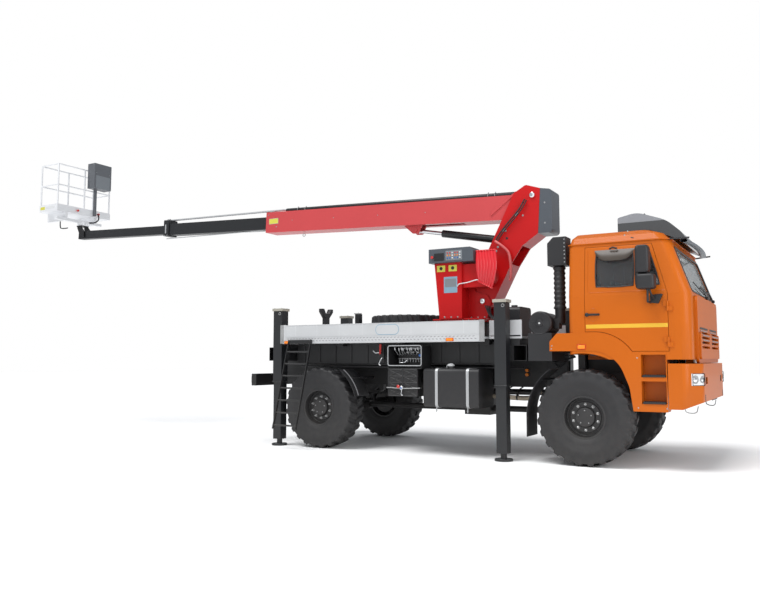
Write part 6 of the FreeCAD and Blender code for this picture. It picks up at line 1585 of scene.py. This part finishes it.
@dataclass(frozen=True)
class DeckTrim:
    """Boards' ledges, pressed strip, corner posts, lamps, blank label, hinges and the two boom rests.

    Attributes:
        face: How far a board's inner layer stands from the middle.
        ledges: Height of each ledge and how far it stands out.
        mark: Half a mark's length, its slant and half its height.
    """

    face: float = 1.249
    posts: Flat = (-4.863, -1.3825)
    post_screws: Flat = (1.9, 1.69)
    ledges: Outline = ((1.742, 0.0045), (1.64, 0.004), (1.926, 0.004))
    marks: Flat = (1.675, 1.71)
    mark: Point = (0.014, 0.01, 0.006)
    lamps: Outline = ((-4.76, 1.655), (-1.875, 1.664))
    label: Outline = ((-3.105, 1.748), (-2.7, 1.906))
    lamp_edges: tuple[tuple[float, Finish], ...] = ((0.715, REFLECTOR), (0.8, AMBER), (0.885, REFLECTOR))
    hinges: Flat = (0.3, 1.0)

    def build(self) -> None:
        """Builds the deck's small pieces."""
        kit = Kit("deck_trim", "chassis")
        for side in Side:
            self.board(kit, side)
        for side in Side:
            for x in self.posts:
                outline = rounded((x - 0.034, 1.636), (x + 0.034, 1.9345), 0.003)
                kit[WORN_ZINC].slab(outline, side, 1.255, 1.259)
                for z in self.post_screws:
                    kit[STEEL].knob(((-0.002, 0.009), (0.005, 0.008)), (x, 1.259, z), side, 10)
        self.rests(kit)
        self.rear(kit)
        kit.done(bevel=0.0008)

    def board(self, kit: Kit, side: Side) -> None:
        """One side board: three ledges, pressed marks in painted shade, two lamps and a blank label.

        Args:
            kit: Where it is added.
            side: The side of the deck.
        """
        out = side.value
        for z, deep in self.ledges:
            kit[DECK].box((-4.825, out * self.face, z - 0.004), (-1.42, out * (1.25 + deep), z + 0.004))
        # Each pressed mark is a thin dark plate: the shade inside the pressing, painted on.
        half, slant, high = self.mark
        for row, z in enumerate(self.marks):
            lean = np.array([-1.0, -1.0, 1.0, 1.0]) * (slant if row else -slant)
            shape = np.array([(-half, -high), (half, -high), (half, high), (-half, high)])
            shape[:, 0] += lean + (-0.002, -0.002, 0.002, 0.002)
            for x in np.arange(-4.78 + 0.03 * row, -1.46, 0.06):
                kit[PRESSED_MARK_SHADE].slab(shape + (x, z), side, self.face, 1.2507)
        for x, z in self.lamps:
            for wide, high, radius, finish, low, top in (
                (0.06, 0.024, 0.008, STEP_RED, self.face, 1.256),
                (0.05, 0.017, 0.006, AMBER, 1.25, 1.264),
            ):
                outline = rounded((x - wide, z - high), (x + wide, z + high), radius)
                kit[finish].slab(outline, side, low, top)
        low, high = np.array(self.label)
        for grow, finish, deep in ((0.0, LABEL_BLUE, 0.0016), (0.009, DECK, 0.0026)):
            outline = rounded(tuple(low + grow), tuple(high - grow), 0.075 - grow, 6)
            kit[finish].slab(outline, side, self.face, 1.25 + deep)
        for x in np.arange(-4.6, -1.6, 0.42):
            kit[PALE_LINE].box((x, out * self.face, 1.75), (x + 0.003, out * 1.2506, 1.92))

    def rests(self, kit: Kit) -> None:
        """Rubber faces of the boom's fork rest, and the worn plate with its bolts on the post rest.

        Args:
            kit: Where they are added.
        """
        for side in Side:
            out = side.value
            kit[PLASTIC].box((-4.905, out * 0.03, 2.12), (-4.84, out * 0.036, 2.122))
        post = Skin(("deck",))
        (_, _, top), _ = post.touch((-4.2, 0.0, 4.0), DOWN)
        plate = rounded((-4.24, -0.058), (-4.15, 0.058), 0.006)
        kit[WORN_ZINC].prism(plate, Axis.Z, top - SUNK, top + 0.014)
        for x in (-4.232, -4.158):
            for y in (-0.046, 0.046):
                post.stud(kit[STEEL], (x, y, 4.0), DOWN, 0.008, 0.022)

    def rear(self, kit: Kit) -> None:
        """Rear lamps on their plates and the hinges of the rear board.

        Args:
            kit: Where they are added.
        """
        for side in Side:
            out = side.value
            kit[PLASTIC].box((-5.716, out * 0.7, 0.989), (-5.696, out * 0.985, 1.091))
            for start, finish in self.lamp_edges:
                ends = sorted((out * start, out * (start + 0.078)))
                outline = rounded((ends[0], 0.995), (ends[1], 1.085), 0.008)
                kit[finish].prism(outline, Axis.X, -5.728, -5.712)
            for y in self.hinges:
                kit[STEEL].lathe(((-0.06, 0.012), (0.06, 0.012)), (-4.862, out * y, 1.64), Axis.Y, 12)


@dataclass(frozen=True)
class UnderDeck:
    """Apron plates with pressed ribs between frame and deck, broken where the lever box stands.

    Attributes:
        lengths: Where each plate starts and ends, along X.
    """

    lengths: Outline = ((-4.78, -2.905), (-2.318, -1.24))
    pipes: Point = (-0.93, -0.63, -0.33)

    def build(self) -> None:
        """Builds the aprons of both sides and the pipes between them."""
        kit = Kit("apron", "chassis")
        for side in Side:
            out = side.value
            for start, end in self.lengths:
                kit[BLACK].box((start, out * 0.935, 1.3), (end, out * 0.943, 1.628))
                for x in np.arange(start + 0.12, end - 0.05, 0.3):
                    kit[BLACK].slab(rounded((x, 1.33), (x + 0.045, 1.6), 0.015), side, 0.942, 0.955)
                kit[BLACK].tube(((start, out * 0.946, 1.31), (end, out * 0.946, 1.31)), 0.012, 8)
        for y in self.pipes:
            kit[PLASTIC].tube(((-4.7, y, 1.27), (-1.0, y, 1.262)), 0.012, 8)
        kit.done(bevel=0.0015)


@dataclass(frozen=True)
class Stabilisers:
    """Pale caps on the four leg columns, bolts at their collars and ribs on the foot plates.

    Attributes:
        cap: Half a cap's width.
        collar: Half a collar's width.
        bolt: How far a cap's bolts stand from its middle.
    """

    top: float = 2.199
    cap: float = 0.104
    collar: float = 0.0955
    bolt: float = 0.07
    foot: float = 0.118
    foot_top: float = 0.022

    def build(self) -> None:
        """Builds the four."""
        for end, side in CORNERS:
            self.column(end, side)
            self.foot_plate(end, side)

    def column(self, end: str, side: Side) -> None:
        """The cap, its eye and bolts, and the collar of one column.

        Args:
            end: Front or rear.
            side: The side of the vehicle.
        """
        label = f"{end}_{side.word}"
        kit = Kit(f"column_{label}", f"stabiliser_beam_{label}")
        middle = node_middle(f"stabiliser_leg_{label}")[:2]
        x, y = middle
        cap = rounded(tuple(middle - self.cap), tuple(middle + self.cap), 0.014)
        kit[CAP].prism(cap, Axis.Z, self.top - 0.03, self.top + 0.012)
        eye = arc((x + 0.05, y + side.value * 0.096, self.top - 0.075), 0.02, 0, 360, Axis.Y, 17)
        kit[STEEL].tube(eye, 0.005, 8)
        for dx in (-self.bolt, self.bolt):
            for dy in (-self.bolt, self.bolt):
                kit[STEEL].lathe(((0.01, 0.012), (0.019, 0.011)), (x + dx, y + dy, self.top), Axis.Z, 6)
        collar = rounded(tuple(middle - self.collar), tuple(middle + self.collar), 0.006, 3)
        kit[SATIN_BLACK].loop(collar, Axis.Z, 1.024, 0.006, 6)
        kit.done(bevel=0.002)

    def foot_plate(self, end: str, side: Side) -> None:
        """The ribs and lip of one foot plate.

        Args:
            end: Front or rear.
            side: The side of the vehicle.
        """
        leg = f"stabiliser_leg_{end}_{side.word}"
        kit = Kit(f"foot_{end}_{side.word}", leg)
        middle = node_middle(leg)[:2]
        kit[SATIN_BLACK].loop(middle + self.foot * spokes(40), Axis.Z, self.foot_top + 0.004, 0.006, 6)
        for along in spokes(4, math.pi / 4):
            rib = ring_path((middle + along * 0.05, middle + along * 0.112), Axis.Z, self.foot_top)
            kit[SATIN_BLACK].tube(rib, 0.007, 6)
        kit.done()


@dataclass(frozen=True)
class SideFittings:
    """Tank straps and cap, the lever box with its levers, the chock rack, pump handles and guard edges.

    Attributes:
        chock_face: Where their outer faces lie, along Y.
        pump: The two bright levers by the pump handle.
    """

    straps: Flat = (-2.1108, -1.6292)
    welds: Flat = (-2.296, -1.444)
    filler: Outline = ((0.0, 0.05), (0.02, 0.05), (0.026, 0.046), (0.028, 0.02))
    filler_wire: Route = (
        (-1.985, -1.11, 1.252), (-1.985, -1.11, 1.29), (-1.95, -1.11, 1.316), (-1.9, -1.11, 1.316),
        (-1.868, -1.11, 1.292),
    )
    levers: int = 9
    crank: Route = (
        (-2.74, -1.02, 1.345), (-2.735, -1.19, 1.34), (-2.64, -1.2, 1.335),
        (-2.59, -1.2, 1.375),
    )
    chocks: Flat = (-2.885, -2.64)
    chock_face: float = -1.24
    hook: Route = (
        (-2.642, -1.27, 0.945), (-2.65, -1.272, 0.89), (-2.642, -1.276, 0.858),
        (-2.622, -1.276, 0.866),
    )
    pump: tuple[Route, ...] = (
        ((-3.11, -1.07, 1.48), (-3.12, -1.13, 1.485), (-3.17, -1.135, 1.48), (-3.215, -1.13, 1.512)),
        (
            (-3.06, -1.07, 1.4), (-3.06, -1.13, 1.4), (-3.085, -1.135, 1.365), (-3.11, -1.13, 1.31),
            (-3.085, -1.13, 1.29),
        ),
    )

    def build(self) -> None:
        """Builds what hangs at the right side, and the guards' edges of both sides."""
        self.tank()
        self.lever_box()
        self.rack()
        self.handles()
        self.guards()

    def tank(self) -> None:
        """Pale straps round the tank, their tightening screws and the filler cap."""
        kit = Kit("tank_trim", "chassis")
        band = rounded((-1.2522, 0.6928), (-0.6828, 1.2572), 0.062, 6)
        for x in self.straps:
            kit[STRAP].prism(band, Axis.X, x - 0.0008, x + 0.0408)
            kit[STRAP].tube(((x + 0.02, -1.236, 0.7), (x + 0.02, -1.244, 0.632)), 0.007, 8)
            kit[STRAP].lathe(((-0.016, 0.013), (0.0, 0.013)), (x + 0.02, -1.243, 0.668), Axis.Z, 6)
        seam = rounded((-1.244, 0.701), (-0.691, 1.249), 0.055, 6)
        for x in self.welds:
            kit[FINE_BLACK].loop(seam, Axis.X, x, 0.004, 6)
        kit[DECK].lathe(self.filler, (-1.925, -1.11, 1.285), Axis.Z, 28)
        kit[DECK].hose(self.filler_wire, 0.006, 8)
        kit.done(bevel=0.0015)

    def lever_box(self) -> None:
        """The row of stabiliser levers on their valve block, in a box with a pale rounded rim."""
        kit = Kit("lever_trim", "chassis")
        kit[PALE_RIM].loop(rounded((-2.888, 1.29), (-2.332, 1.583), 0.03, 5), Axis.Y, -1.25, 0.0075, 8)
        kit[BLACK].box((-2.84, -1.01, 1.4), (-2.42, -0.945, 1.47))
        kit[STEEL].box((-2.85, -1.0, 1.385), (-2.41, -0.96, 1.4))
        kit[PALE_LINE].prism(rounded((-2.8, 1.535), (-2.42, 1.562), 0.004), Axis.Y, -0.942, -0.938)
        for i in range(self.levers):
            x = -2.815 + i * 0.046
            lean = 0.02 if i % 3 else -0.02
            top = (x + 0.006, -1.15 + lean, 1.52 - 0.006 * (i % 2))
            kit[LEVER].tube(((x, -1.0, 1.445), (x, -1.075, 1.452), top), 0.0065, 8)
            kit[LEVER].tube((top, (top[0], top[1] - 0.014, top[2] + 0.04)), np.array([0.01, 0.012]), 8)
            kit[LEVER].tube(((x, -1.01, 1.4), (x, -1.02, 1.34)), 0.005, 6)
        kit[CHROME].hose(self.crank, 0.009, 10, 6)
        knob = ((-0.012, 0.02), (0.012, 0.022), (0.018, 0.012))
        kit[BLUE_KNOB].knob(knob, (-2.392, 1.16, 1.44), Side.RIGHT, 18)
        kit[STEEL].tube(((-2.392, -0.96, 1.44), (-2.392, -1.15, 1.44)), 0.007, 8)
        for x in (-2.7, -2.62, -2.54):
            kit[PALE_LINE].prism(rounded((x, 1.475), (x + 0.05, 1.5), 0.003), Axis.Y, -1.013, -1.009)
        kit.done(bevel=0.0008)

    def rack(self) -> None:
        """Two ribbed wheel chocks, the bar that holds them and its knobs."""
        kit = Kit("rack_trim", "chassis")
        face = self.chock_face
        for start in self.chocks:
            end = start + 0.235
            kit[PLASTIC].loop(rounded((start, 0.85), (end, 1.23), 0.012, 3), Axis.Y, face, 0.009, 6)
            for z in (0.945, 1.04, 1.135):
                kit[PLASTIC].tube(((start, face - 0.002, z), (end, face - 0.002, z)), 0.007, 6)
            for z in 0.85 + 0.095 * np.arange(4):
                kit[PLASTIC].tube(((start, face - 0.001, z), (end, face - 0.001, z + 0.095)), 0.008, 6)
                kit[FINE_BLACK].tube(((start, face + 0.001, z + 0.095), (end, face + 0.001, z)), 0.006, 6)
        bar = ((-2.9, -1.256, 0.968), (-2.64, -1.268, 0.958), (-2.36, -1.256, 0.966))
        kit[STEEL].tube(bar, 0.0075, 8)
        for x in (-2.898, -2.362):
            kit[STEEL].tube(((x, -1.2, 0.967), (x, -1.262, 0.967)), 0.009, 8)
        for finish, profile, place, flats in (
            (REFLECTOR, ((-0.01, 0.02), (0.016, 0.024), (0.024, 0.014)), (-2.698, 1.272, 0.985), 18),
            (LEVER, ((-0.012, 0.026), (0.018, 0.028), (0.026, 0.016)), (-2.64, 1.276, 0.966), 20),
            (BLUE_KNOB, ((0.024, 0.014), (0.029, 0.012)), (-2.64, 1.276, 0.966), 16),
        ):
            kit[finish].knob(profile, place, Side.RIGHT, flats)
        kit[CHROME].hose(self.hook, 0.006, 8, 5)
        kit.done(bevel=0.0006)

    def handles(self) -> None:
        """The red pump handle and two bright levers left of the lever box, on a bracket of the subframe."""
        kit = Kit("pump_trim", "chassis")
        kit[BLACK].box((-3.15, -1.08, 1.38), (-3.05, -1.056, 1.62))
        grip = ((-3.096, -1.115, 1.61), (-3.096, -1.122, 1.46))
        kit[REFLECTOR].tube(grip, np.array([0.017, 0.014]), 14)
        kit[STEEL].tube(((-3.096, -1.06, 1.6), (-3.096, -1.116, 1.6)), 0.008, 8)
        for path in self.pump:
            kit[LEVER].hose(path, 0.009, 10, 5)
        kit.done(bevel=0.001)

    def guards(self) -> None:
        """A pale painted highlight along the edges of the rear wheels' guards."""
        kit = Kit("guard_trim", "chassis")
        for side in Side:
            # The pale tube is a painted highlight on the guard's edge.
            path = arc((-4.18, side.value * 1.131, 0.63), 0.7275, 16, 54, Axis.Y, 24)
            kit[GUARD_EDGE_HIGHLIGHT].tube(path, 0.01, 8)
        kit.done()


@dataclass(frozen=True)
class TurretTrim:
    """Labels, bolts and hoses of the turret, and the buttons of the ground console.

    Attributes:
        hoses: Y of each hose down to the deck.
        bearing: X of the turret's axis, radius of the bolts' circle and the deck's height there.
    """

    signs: Flat = (-2.366, -2.168)
    row: float = 2.03
    line: Route = (
        (-2.09, -0.498, 2.5), (-2.048, -0.512, 2.533), (-1.91, -0.514, 2.549), (-1.761, -0.51, 2.582),
        (-1.7, -0.47, 2.56),
    )
    hoses: Point = (-0.33, -0.29, -0.25)
    bearing: Point = (-2.04, 0.405, 1.985)
    bolts: int = 28
    buttons: tuple[tuple[Finish, float], ...] = ((BLUE_KNOB, 2.935), (AMBER_CAP, 2.975), (REFLECTOR, 3.015))
    corners: Outline = ((-2.238, 2.908), (-1.982, 2.908), (-2.238, 3.042), (-1.982, 3.042))
    button: Outline = ((0.0, 0.011), (0.01, 0.011), (0.012, 0.007))
    stop: Outline = ((-0.002, 0.012), (0.014, 0.012), (0.016, 0.024), (0.03, 0.022), (0.034, 0.012))

    def build(self) -> None:
        """Builds the turret's small pieces."""
        kit = Kit("turret_trim", "turret")
        skin = Skin(("turret",))
        inward = Side.RIGHT.inward
        for x in self.signs:
            skin.plate(kit[LABEL_YELLOW], (x, -1.0, 2.787), inward, (0.14, 0.098), 0.0018, 0.004)
            skin.plate(kit[PLASTIC], (x, -1.0, 2.79), inward, (0.052, 0.052), 0.0026, 0.02, 45.0)
        skin.plate(kit[LABEL_BLUE], (-2.206, -1.0, 2.53), inward, (0.226, 0.25), 0.0018, 0.004)
        skin.plate(kit[LABEL_GREY], (-2.206, -1.0, 2.56), inward, (0.19, 0.13), 0.0026, 0.004)
        for x in np.arange(-2.42, -1.7, 0.11):
            skin.stud(kit[STEEL], (x, -1.0, self.row), inward, 0.009, 0.007)
        axis_x, radius, top = self.bearing
        for x, y in (axis_x, 0.0) + radius * spokes(self.bolts):
            kit[STEEL].lathe(((-0.01, 0.014), (0.014, 0.014), (0.018, 0.01)), (x, y, top), Axis.Z, 6)
        self.fan(kit)
        kit[PALE_LINE].hose(self.line, 0.008, 8)
        for i, y in enumerate(self.hoses):
            shift = 0.02 * i
            above, below = (-1.7 + shift, y, 2.2), (-1.58 + shift, y, 1.995)
            kit[PLASTIC].hose((above, (-1.64, y, 2.06), below, (-1.52, y, 1.985)), 0.013, 8)
        kit.done(bevel=0.0008)
        self.console()

    def fan(self, kit: Kit) -> None:
        """The fan of red guard hoses beside the boom's foot.

        Across it a cosine makes seven ribs; down it a sine pushes it out and the lines draw together.

        Args:
            kit: Where it is added.
        """
        u = np.linspace(0, 1, 85)[None]
        v = np.linspace(0, 1, 21)[:, None]
        x = (-1.765 + 0.315 * u) * (1 - v) + (-1.74 + 0.23 * u) * v + 0.055 * np.sin(np.pi * v) * u
        z = 3.02 * (1 - v) + (2.56 - 0.12 * u) * v + 0 * u
        y = -0.505 - 0.05 * np.sin(np.pi * v * 0.9 + 0.2) - 0.011 * np.abs(np.sin(7 * np.pi * u))
        points = np.stack([x, y, z], -1)
        kit[GUARD_RED].grid(points)
        for edge in (0, -1):
            kit[GUARD_RED].tube(points[edge], 0.012, 8)

    def console(self) -> None:
        """The operating panel: a grey plate with rows of round buttons, a dark screen and a stop knob."""
        kit = Kit("console_trim", "turret")
        skin = Skin(("turret_console",))
        inward = Side.RIGHT.inward
        skin.plate(kit[LABEL_GREY], (-2.11, -1.2, 2.975), inward, (0.276, 0.15), 0.002, 0.006)
        skin.plate(kit[SATIN_BLACK], (-2.36, -1.2, 2.96), inward, (0.17, 0.12), 0.003, 0.01)
        for finish, z in self.buttons:
            for x in np.arange(-2.215, -2.0, 0.042):
                shown = finish if (round(x * 1000) // 42) % 3 else PALE_LINE
                skin.cap(kit[shown], (x, -1.2, z), inward, self.button, 12)
        skin.cap(kit[REFLECTOR], (-2.47, -1.2, 2.96), inward, self.stop, 18)
        for x, z in self.corners:
            skin.stud(kit[STEEL], (x, -1.2, z), inward, 0.005, 0.004)
        kit.done(bevel=0.0006)


@dataclass(frozen=True)
class BoomTrim:
    """Pins, bolts, hose guard, gusset, clamps, blank tip labels and the drawn rods of the boom.

    Attributes:
        lower_bolts: X, Z and radius of each bolt on the lower boom.
        pins: Where each bright pin is searched for, as X and Z, and its profile.
        wire: Ends of the wire between section 2 and the upper boom.
    """

    lower_bolts: Route = (
        (-1.41, 3.347, 0.012), (-1.538, 3.107, 0.012), (-1.566, 3.045, 0.012), (-1.13, 3.56, 0.01),
    )
    pins: tuple[tuple[Flat, Outline], ...] = (
        ((-0.975, 3.858), ((-0.004, 0.04), (0.01, 0.04), (0.014, 0.032), (0.014, 0.012))),
        ((-1.79, 2.278), ((-0.004, 0.042), (0.012, 0.042), (0.016, 0.034), (0.016, 0.012))),
    )
    cover_bolts: Outline = ((-0.79, 3.725), (-0.79, 3.418))
    guard: Route = (
        (-1.56, -0.25, 3.19), (-1.5, -0.262, 3.15), (-1.415, -0.266, 3.084), (-1.336, -0.268, 2.986),
        (-1.307, -0.268, 2.802), (-1.306, -0.266, 2.64), (-1.322, -0.262, 2.57),
    )
    hose: Route = (
        (-1.56, -0.24, 3.2), (-1.47, -0.236, 3.33), (-1.33, -0.244, 3.48), (-1.18, -0.246, 3.64),
        (-1.08, -0.24, 3.8),
    )
    hose_shift: Point = (0.026, 0.004, -0.02)
    clips: Outline = ((-1.44, 3.365), (-1.23, 3.59))
    label: Flat = (-5.923, 3.92)
    tip_bolts: Outline = ((-6.04, 4.04), (-5.86, 3.813))
    gusset: Outline = ((-1.641, 3.69), (-1.24, 3.947), (-1.292, 3.88), (-1.655, 3.6))
    clamps: tuple[float, ...] = (-5.48, -5.31, -1.76, -1.64)
    wire: Route = ((-8.829, 0.0, 3.85), (-6.302, 0.0, 3.806))
    rod: Route = ((-8.79, 0.0, 4.222), (-5.752, 0.0, 4.146))

    def build(self) -> None:
        """Builds the pieces of all boom bodies."""
        self.lower()
        self.upper()
        self.section()
        self.drawn("section_2_wire", self.wire, 0.009)
        self.drawn("section_2_rod", self.rod, 0.018)

    def lower(self) -> None:
        """Pin caps, the pink guard tube, hoses and bolts of the lower boom."""
        kit = Kit("lower_boom_trim", "lower_boom")
        skin = Skin(("lower_boom",))
        for side in Side:
            out = side.value
            for x, z, radius in self.lower_bolts:
                skin.stud(kit[STEEL], (x, out, z), side.inward, radius, 0.01)
            for (x, z), profile in self.pins:
                skin.cap(kit[CHROME], (x, out, z), side.inward, profile, 28)
            skin.stud(kit[STEEL], (-1.744, out, 2.33), side.inward, 0.009, 0.008)
            plug = ((-0.003, 0.02), (0.002, 0.02), (0.003, 0.014))
            skin.cap(kit[BLACK], (-1.39, out, 3.23), side.inward, plug, 18)
        cover = Skin(("boom_head_cover",))
        for side in Side:
            for x, z in self.cover_bolts:
                cover.stud(kit[STEEL], (x, side.value, z), side.inward, 0.009, 0.006)
        kit[GUARD_PINK].hose(self.guard, 0.021, 12, 6)
        path = smooth_path(self.hose, 6)
        kit[PLASTIC].tube(path, 0.012, 8)
        kit[PLASTIC].tube(path + self.hose_shift, 0.01, 8)
        for x, z in self.clips:
            skin.plate(kit[STEEL], (x, -1.0, z), Side.RIGHT.inward, (0.062, 0.022), 0.006, 0.004, 45.0)
        kit.done(bevel=0.001)

    def upper(self) -> None:
        """Gusset, knuckle bolts, hose clamps and the blank labels of the upper boom."""
        kit = Kit("upper_boom_trim", "upper_boom")
        skin = Skin(("upper_boom",))
        for side in Side:
            out = side.value
            for x in np.arange(-5.5, -1.9, 0.9):
                skin.stud(kit[STEEL], (x, out, 3.64 - 0.048 * x), side.inward, 0.006, 0.004)
            start = (self.label[0], out, self.label[1])
            skin.plate(kit[STRAP], start, side.inward, (0.214, 0.104), 0.0016, 0.006)
            skin.plate(kit[LABEL_YELLOW], start, side.inward, (0.2, 0.09), 0.0024, 0.006)
            for x, z in self.tip_bolts:
                skin.stud(kit[STEEL], (x, out, z), side.inward, 0.008, 0.008)
            spot, _ = skin.touch((-1.45, out, 3.78), side.inward)
            kit[ROSE].slab(self.gusset, side, abs(spot[1]) - SUNK, abs(spot[1]) + 0.014)
        tube = Skin(("boom_hose_tube",))
        for x in self.clamps:
            (_, _, top), _ = tube.touch((x, 0.0, 5.0), DOWN)
            ring = arc((x, 0.0, top - 0.04), 0.0435, 0, 360, Axis.X, 33)[:-1]
            kit[STEEL].tube(ring, 0.006, 6, closed=True)
            kit[STEEL].lathe(((0.0, 0.008), (0.02, 0.008)), (x, 0.0, top + 0.002), Axis.Z, 6)
        eye = arc((-5.354, 0.0, 3.64), 0.026, 0, 360, Axis.Y, 25)[:-1]
        kit[STEEL].tube(eye, 0.006, 8, closed=True)
        kit.done(bevel=0.001)

    def section(self) -> None:
        """The rod's holder on section 2, and the bolts and pale strips at that section's end."""
        kit = Kit("section_2_trim", "boom_section_2")
        kit[STEEL].lathe(((-0.03, 0.032), (0.03, 0.032)), (-8.765, 0.0, 4.222), Axis.X, 16)
        skin = Skin(("boom_section_2",))
        for side in Side:
            for x in (-8.77, -8.7):
                skin.stud(kit[STEEL], (x, side.value, 3.9), side.inward, 0.007, 0.006)
            skin.plate(kit[STRAP], (-8.74, side.value, 4.03), side.inward, (0.03, 0.18), 0.003, 0.004)
        kit.done(bevel=0.0006)

    @staticmethod
    def drawn(name: str, ends: Route, radius: float) -> None:
        """A straight bar between section 2 and the upper boom.

        Args:
            name: The piece's name.
            ends: Its end on section 2 and its end on the upper boom.
            radius: Its radius.
        """
        bar = Form(name)
        bar.tube(np.linspace(*ends, 24), radius, 12)
        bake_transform(bar.mesh_object(LEVER))


@dataclass(frozen=True)
class BasketTrim:
    """Blank labels of the basket's toe-board, its knobs, hook and cable, and the control box's details.

    Attributes:
        cable: The cable's radius and how far it swings.
    """

    knobs: Outline = ((-0.2, 4.66), (0.35, 4.66))
    knob: Outline = ((-0.004, 0.01), (0.026, 0.01), (0.03, 0.026), (0.052, 0.024), (0.058, 0.014))
    hook: Route = (
        (-11.682, -0.4, 4.44), (-11.676, -0.404, 4.33), (-11.65, -0.404, 4.262), (-11.54, -0.4, 4.246),
        (-11.45, -0.38, 4.252),
    )
    spine: Route = (
        (-11.262, 0.25, 4.64), (-11.225, 0.245, 4.56), (-11.23, 0.23, 4.49), (-11.3, 0.2, 4.445),
        (-11.38, 0.16, 4.44), (-11.44, 0.12, 4.45),
    )
    cable: Flat = (0.015, 0.0025)
    clips: Flat = (0.15, 0.42)
    screws: Outline = ((0.11, 5.25), (0.46, 5.25), (0.11, 5.56), (0.46, 5.56))

    def build(self) -> None:
        """Builds the basket's small pieces."""
        kit = Kit("basket_trim", "basket")
        skin = Skin(("basket",))
        for side in Side:
            far = side.value * 1.2
            skin.plate(kit[LABEL_YELLOW], (-11.89, far, 4.668), side.inward, (0.15, 0.064), 0.0015, 0.004)
            skin.plate(kit[PALE_LINE], (-11.64, far, 4.668), side.inward, (0.3, 0.058), 0.0015, 0.004)
        for y, z in self.knobs:
            skin.cap(kit[REFLECTOR], (-11.0, y, z), BACK, self.knob, 18)
        kit[SATIN_BLACK].hose(self.hook, 0.012, 10, 6)
        self.corrugated(kit)
        kit.done(bevel=0.0006)
        self.control_box()

    def corrugated(self, kit: Kit) -> None:
        """The corrugated cable from the control box to the mount; its radius swings with a sine along it.

        Args:
            kit: Where it is added.
        """
        path = smooth_path(self.spine, 24)
        radius, swing = self.cable
        wave = radius + swing * np.sin(np.arange(len(path)) * math.pi * 0.5)
        kit[PLASTIC].tube(path, wave, 12)

    def control_box(self) -> None:
        """The control box: its grey face plate, four screws and two clips on top."""
        kit = Kit("control_trim", "basket")
        skin = Skin(("basket_control_box",))
        for y in self.clips:
            skin.plate(kit[STEEL], (-11.285, y, 6.4), DOWN, (0.05, 0.036), 0.006, 0.004)
        skin.plate(kit[LABEL_GREY], (-10.6, 0.285, 5.35), BACK, (0.38, 0.3), 0.002, 0.01)
        for y, z in self.screws:
            skin.stud(kit[STEEL], (-10.6, y, z), BACK, 0.006, 0.004)
        kit.done(bevel=0.0006)


@dataclass(frozen=True)
class SpareWheel:
    """The spare wheel lying on the deck: a full tyre on a dished rim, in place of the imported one.

    Attributes:
        rim: The rim's profile from its lower edge to the disc, as heights and radii.
        rest: The profile from the disc to its upper edge.
    """

    rim: Outline = (
        (-0.17, 0.272), (-0.176, 0.262), (-0.15, 0.256), (-0.14, 0.215), (-0.03, 0.205), (-0.03, 0.12),
    )
    rest: Outline = (
        (0.0, 0.112), (0.0, 0.205), (0.14, 0.215), (0.15, 0.256), (0.176, 0.262), (0.17, 0.272),
    )

    def build(self) -> None:
        """Builds the tyre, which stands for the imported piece, with its rim and studs."""
        centre = node_middle("spare_wheel")
        tyre = Tyre()
        form = Form("spare_tyre")
        form.grid(tyre.points(centre, flat=True), closed_u=True)
        form.make(TYRE, "chassis", sharp=tyre.sharp, stands_for=("spare_wheel",))
        rim = Form("spare_rim")
        rim.lathe(self.rim + self.rest, centre, Axis.Z, 48)
        rim.make(RIM, "chassis", bevel=0.003)
        studs = Form("spare_studs")
        for spot in centre + ring_path(Wheels.stud_circle * spokes(Wheels.studs), Axis.Z, 0.0):
            studs.lathe(((0.0, 0.016), (0.008, 0.015)), spot, Axis.Z, 12)
        studs.make(PLASTIC, "chassis")


def main() -> None:
    """Builds the looks in order, from the studio to the smallest fittings."""
    logging.basicConfig(level=logging.INFO, format="%(message)s")
    assemblies = (
        Studio(), FrameFinishes(), Wheels(), SpareWheel(), CabGlazing(), CabSides(), CabFront(), BehindCab(),
        DeckTrim(), UnderDeck(), Stabilisers(), SideFittings(), TurretTrim(), BoomTrim(), BasketTrim(),
    )
    for assembly in assemblies:
        assembly.build()
        LOG.info("built %s", type(assembly).__name__)
    settings = bpy.context.scene.view_settings
    settings.view_transform = "Standard"
    settings.look = "None"


if __name__ == "__main__":
    main()
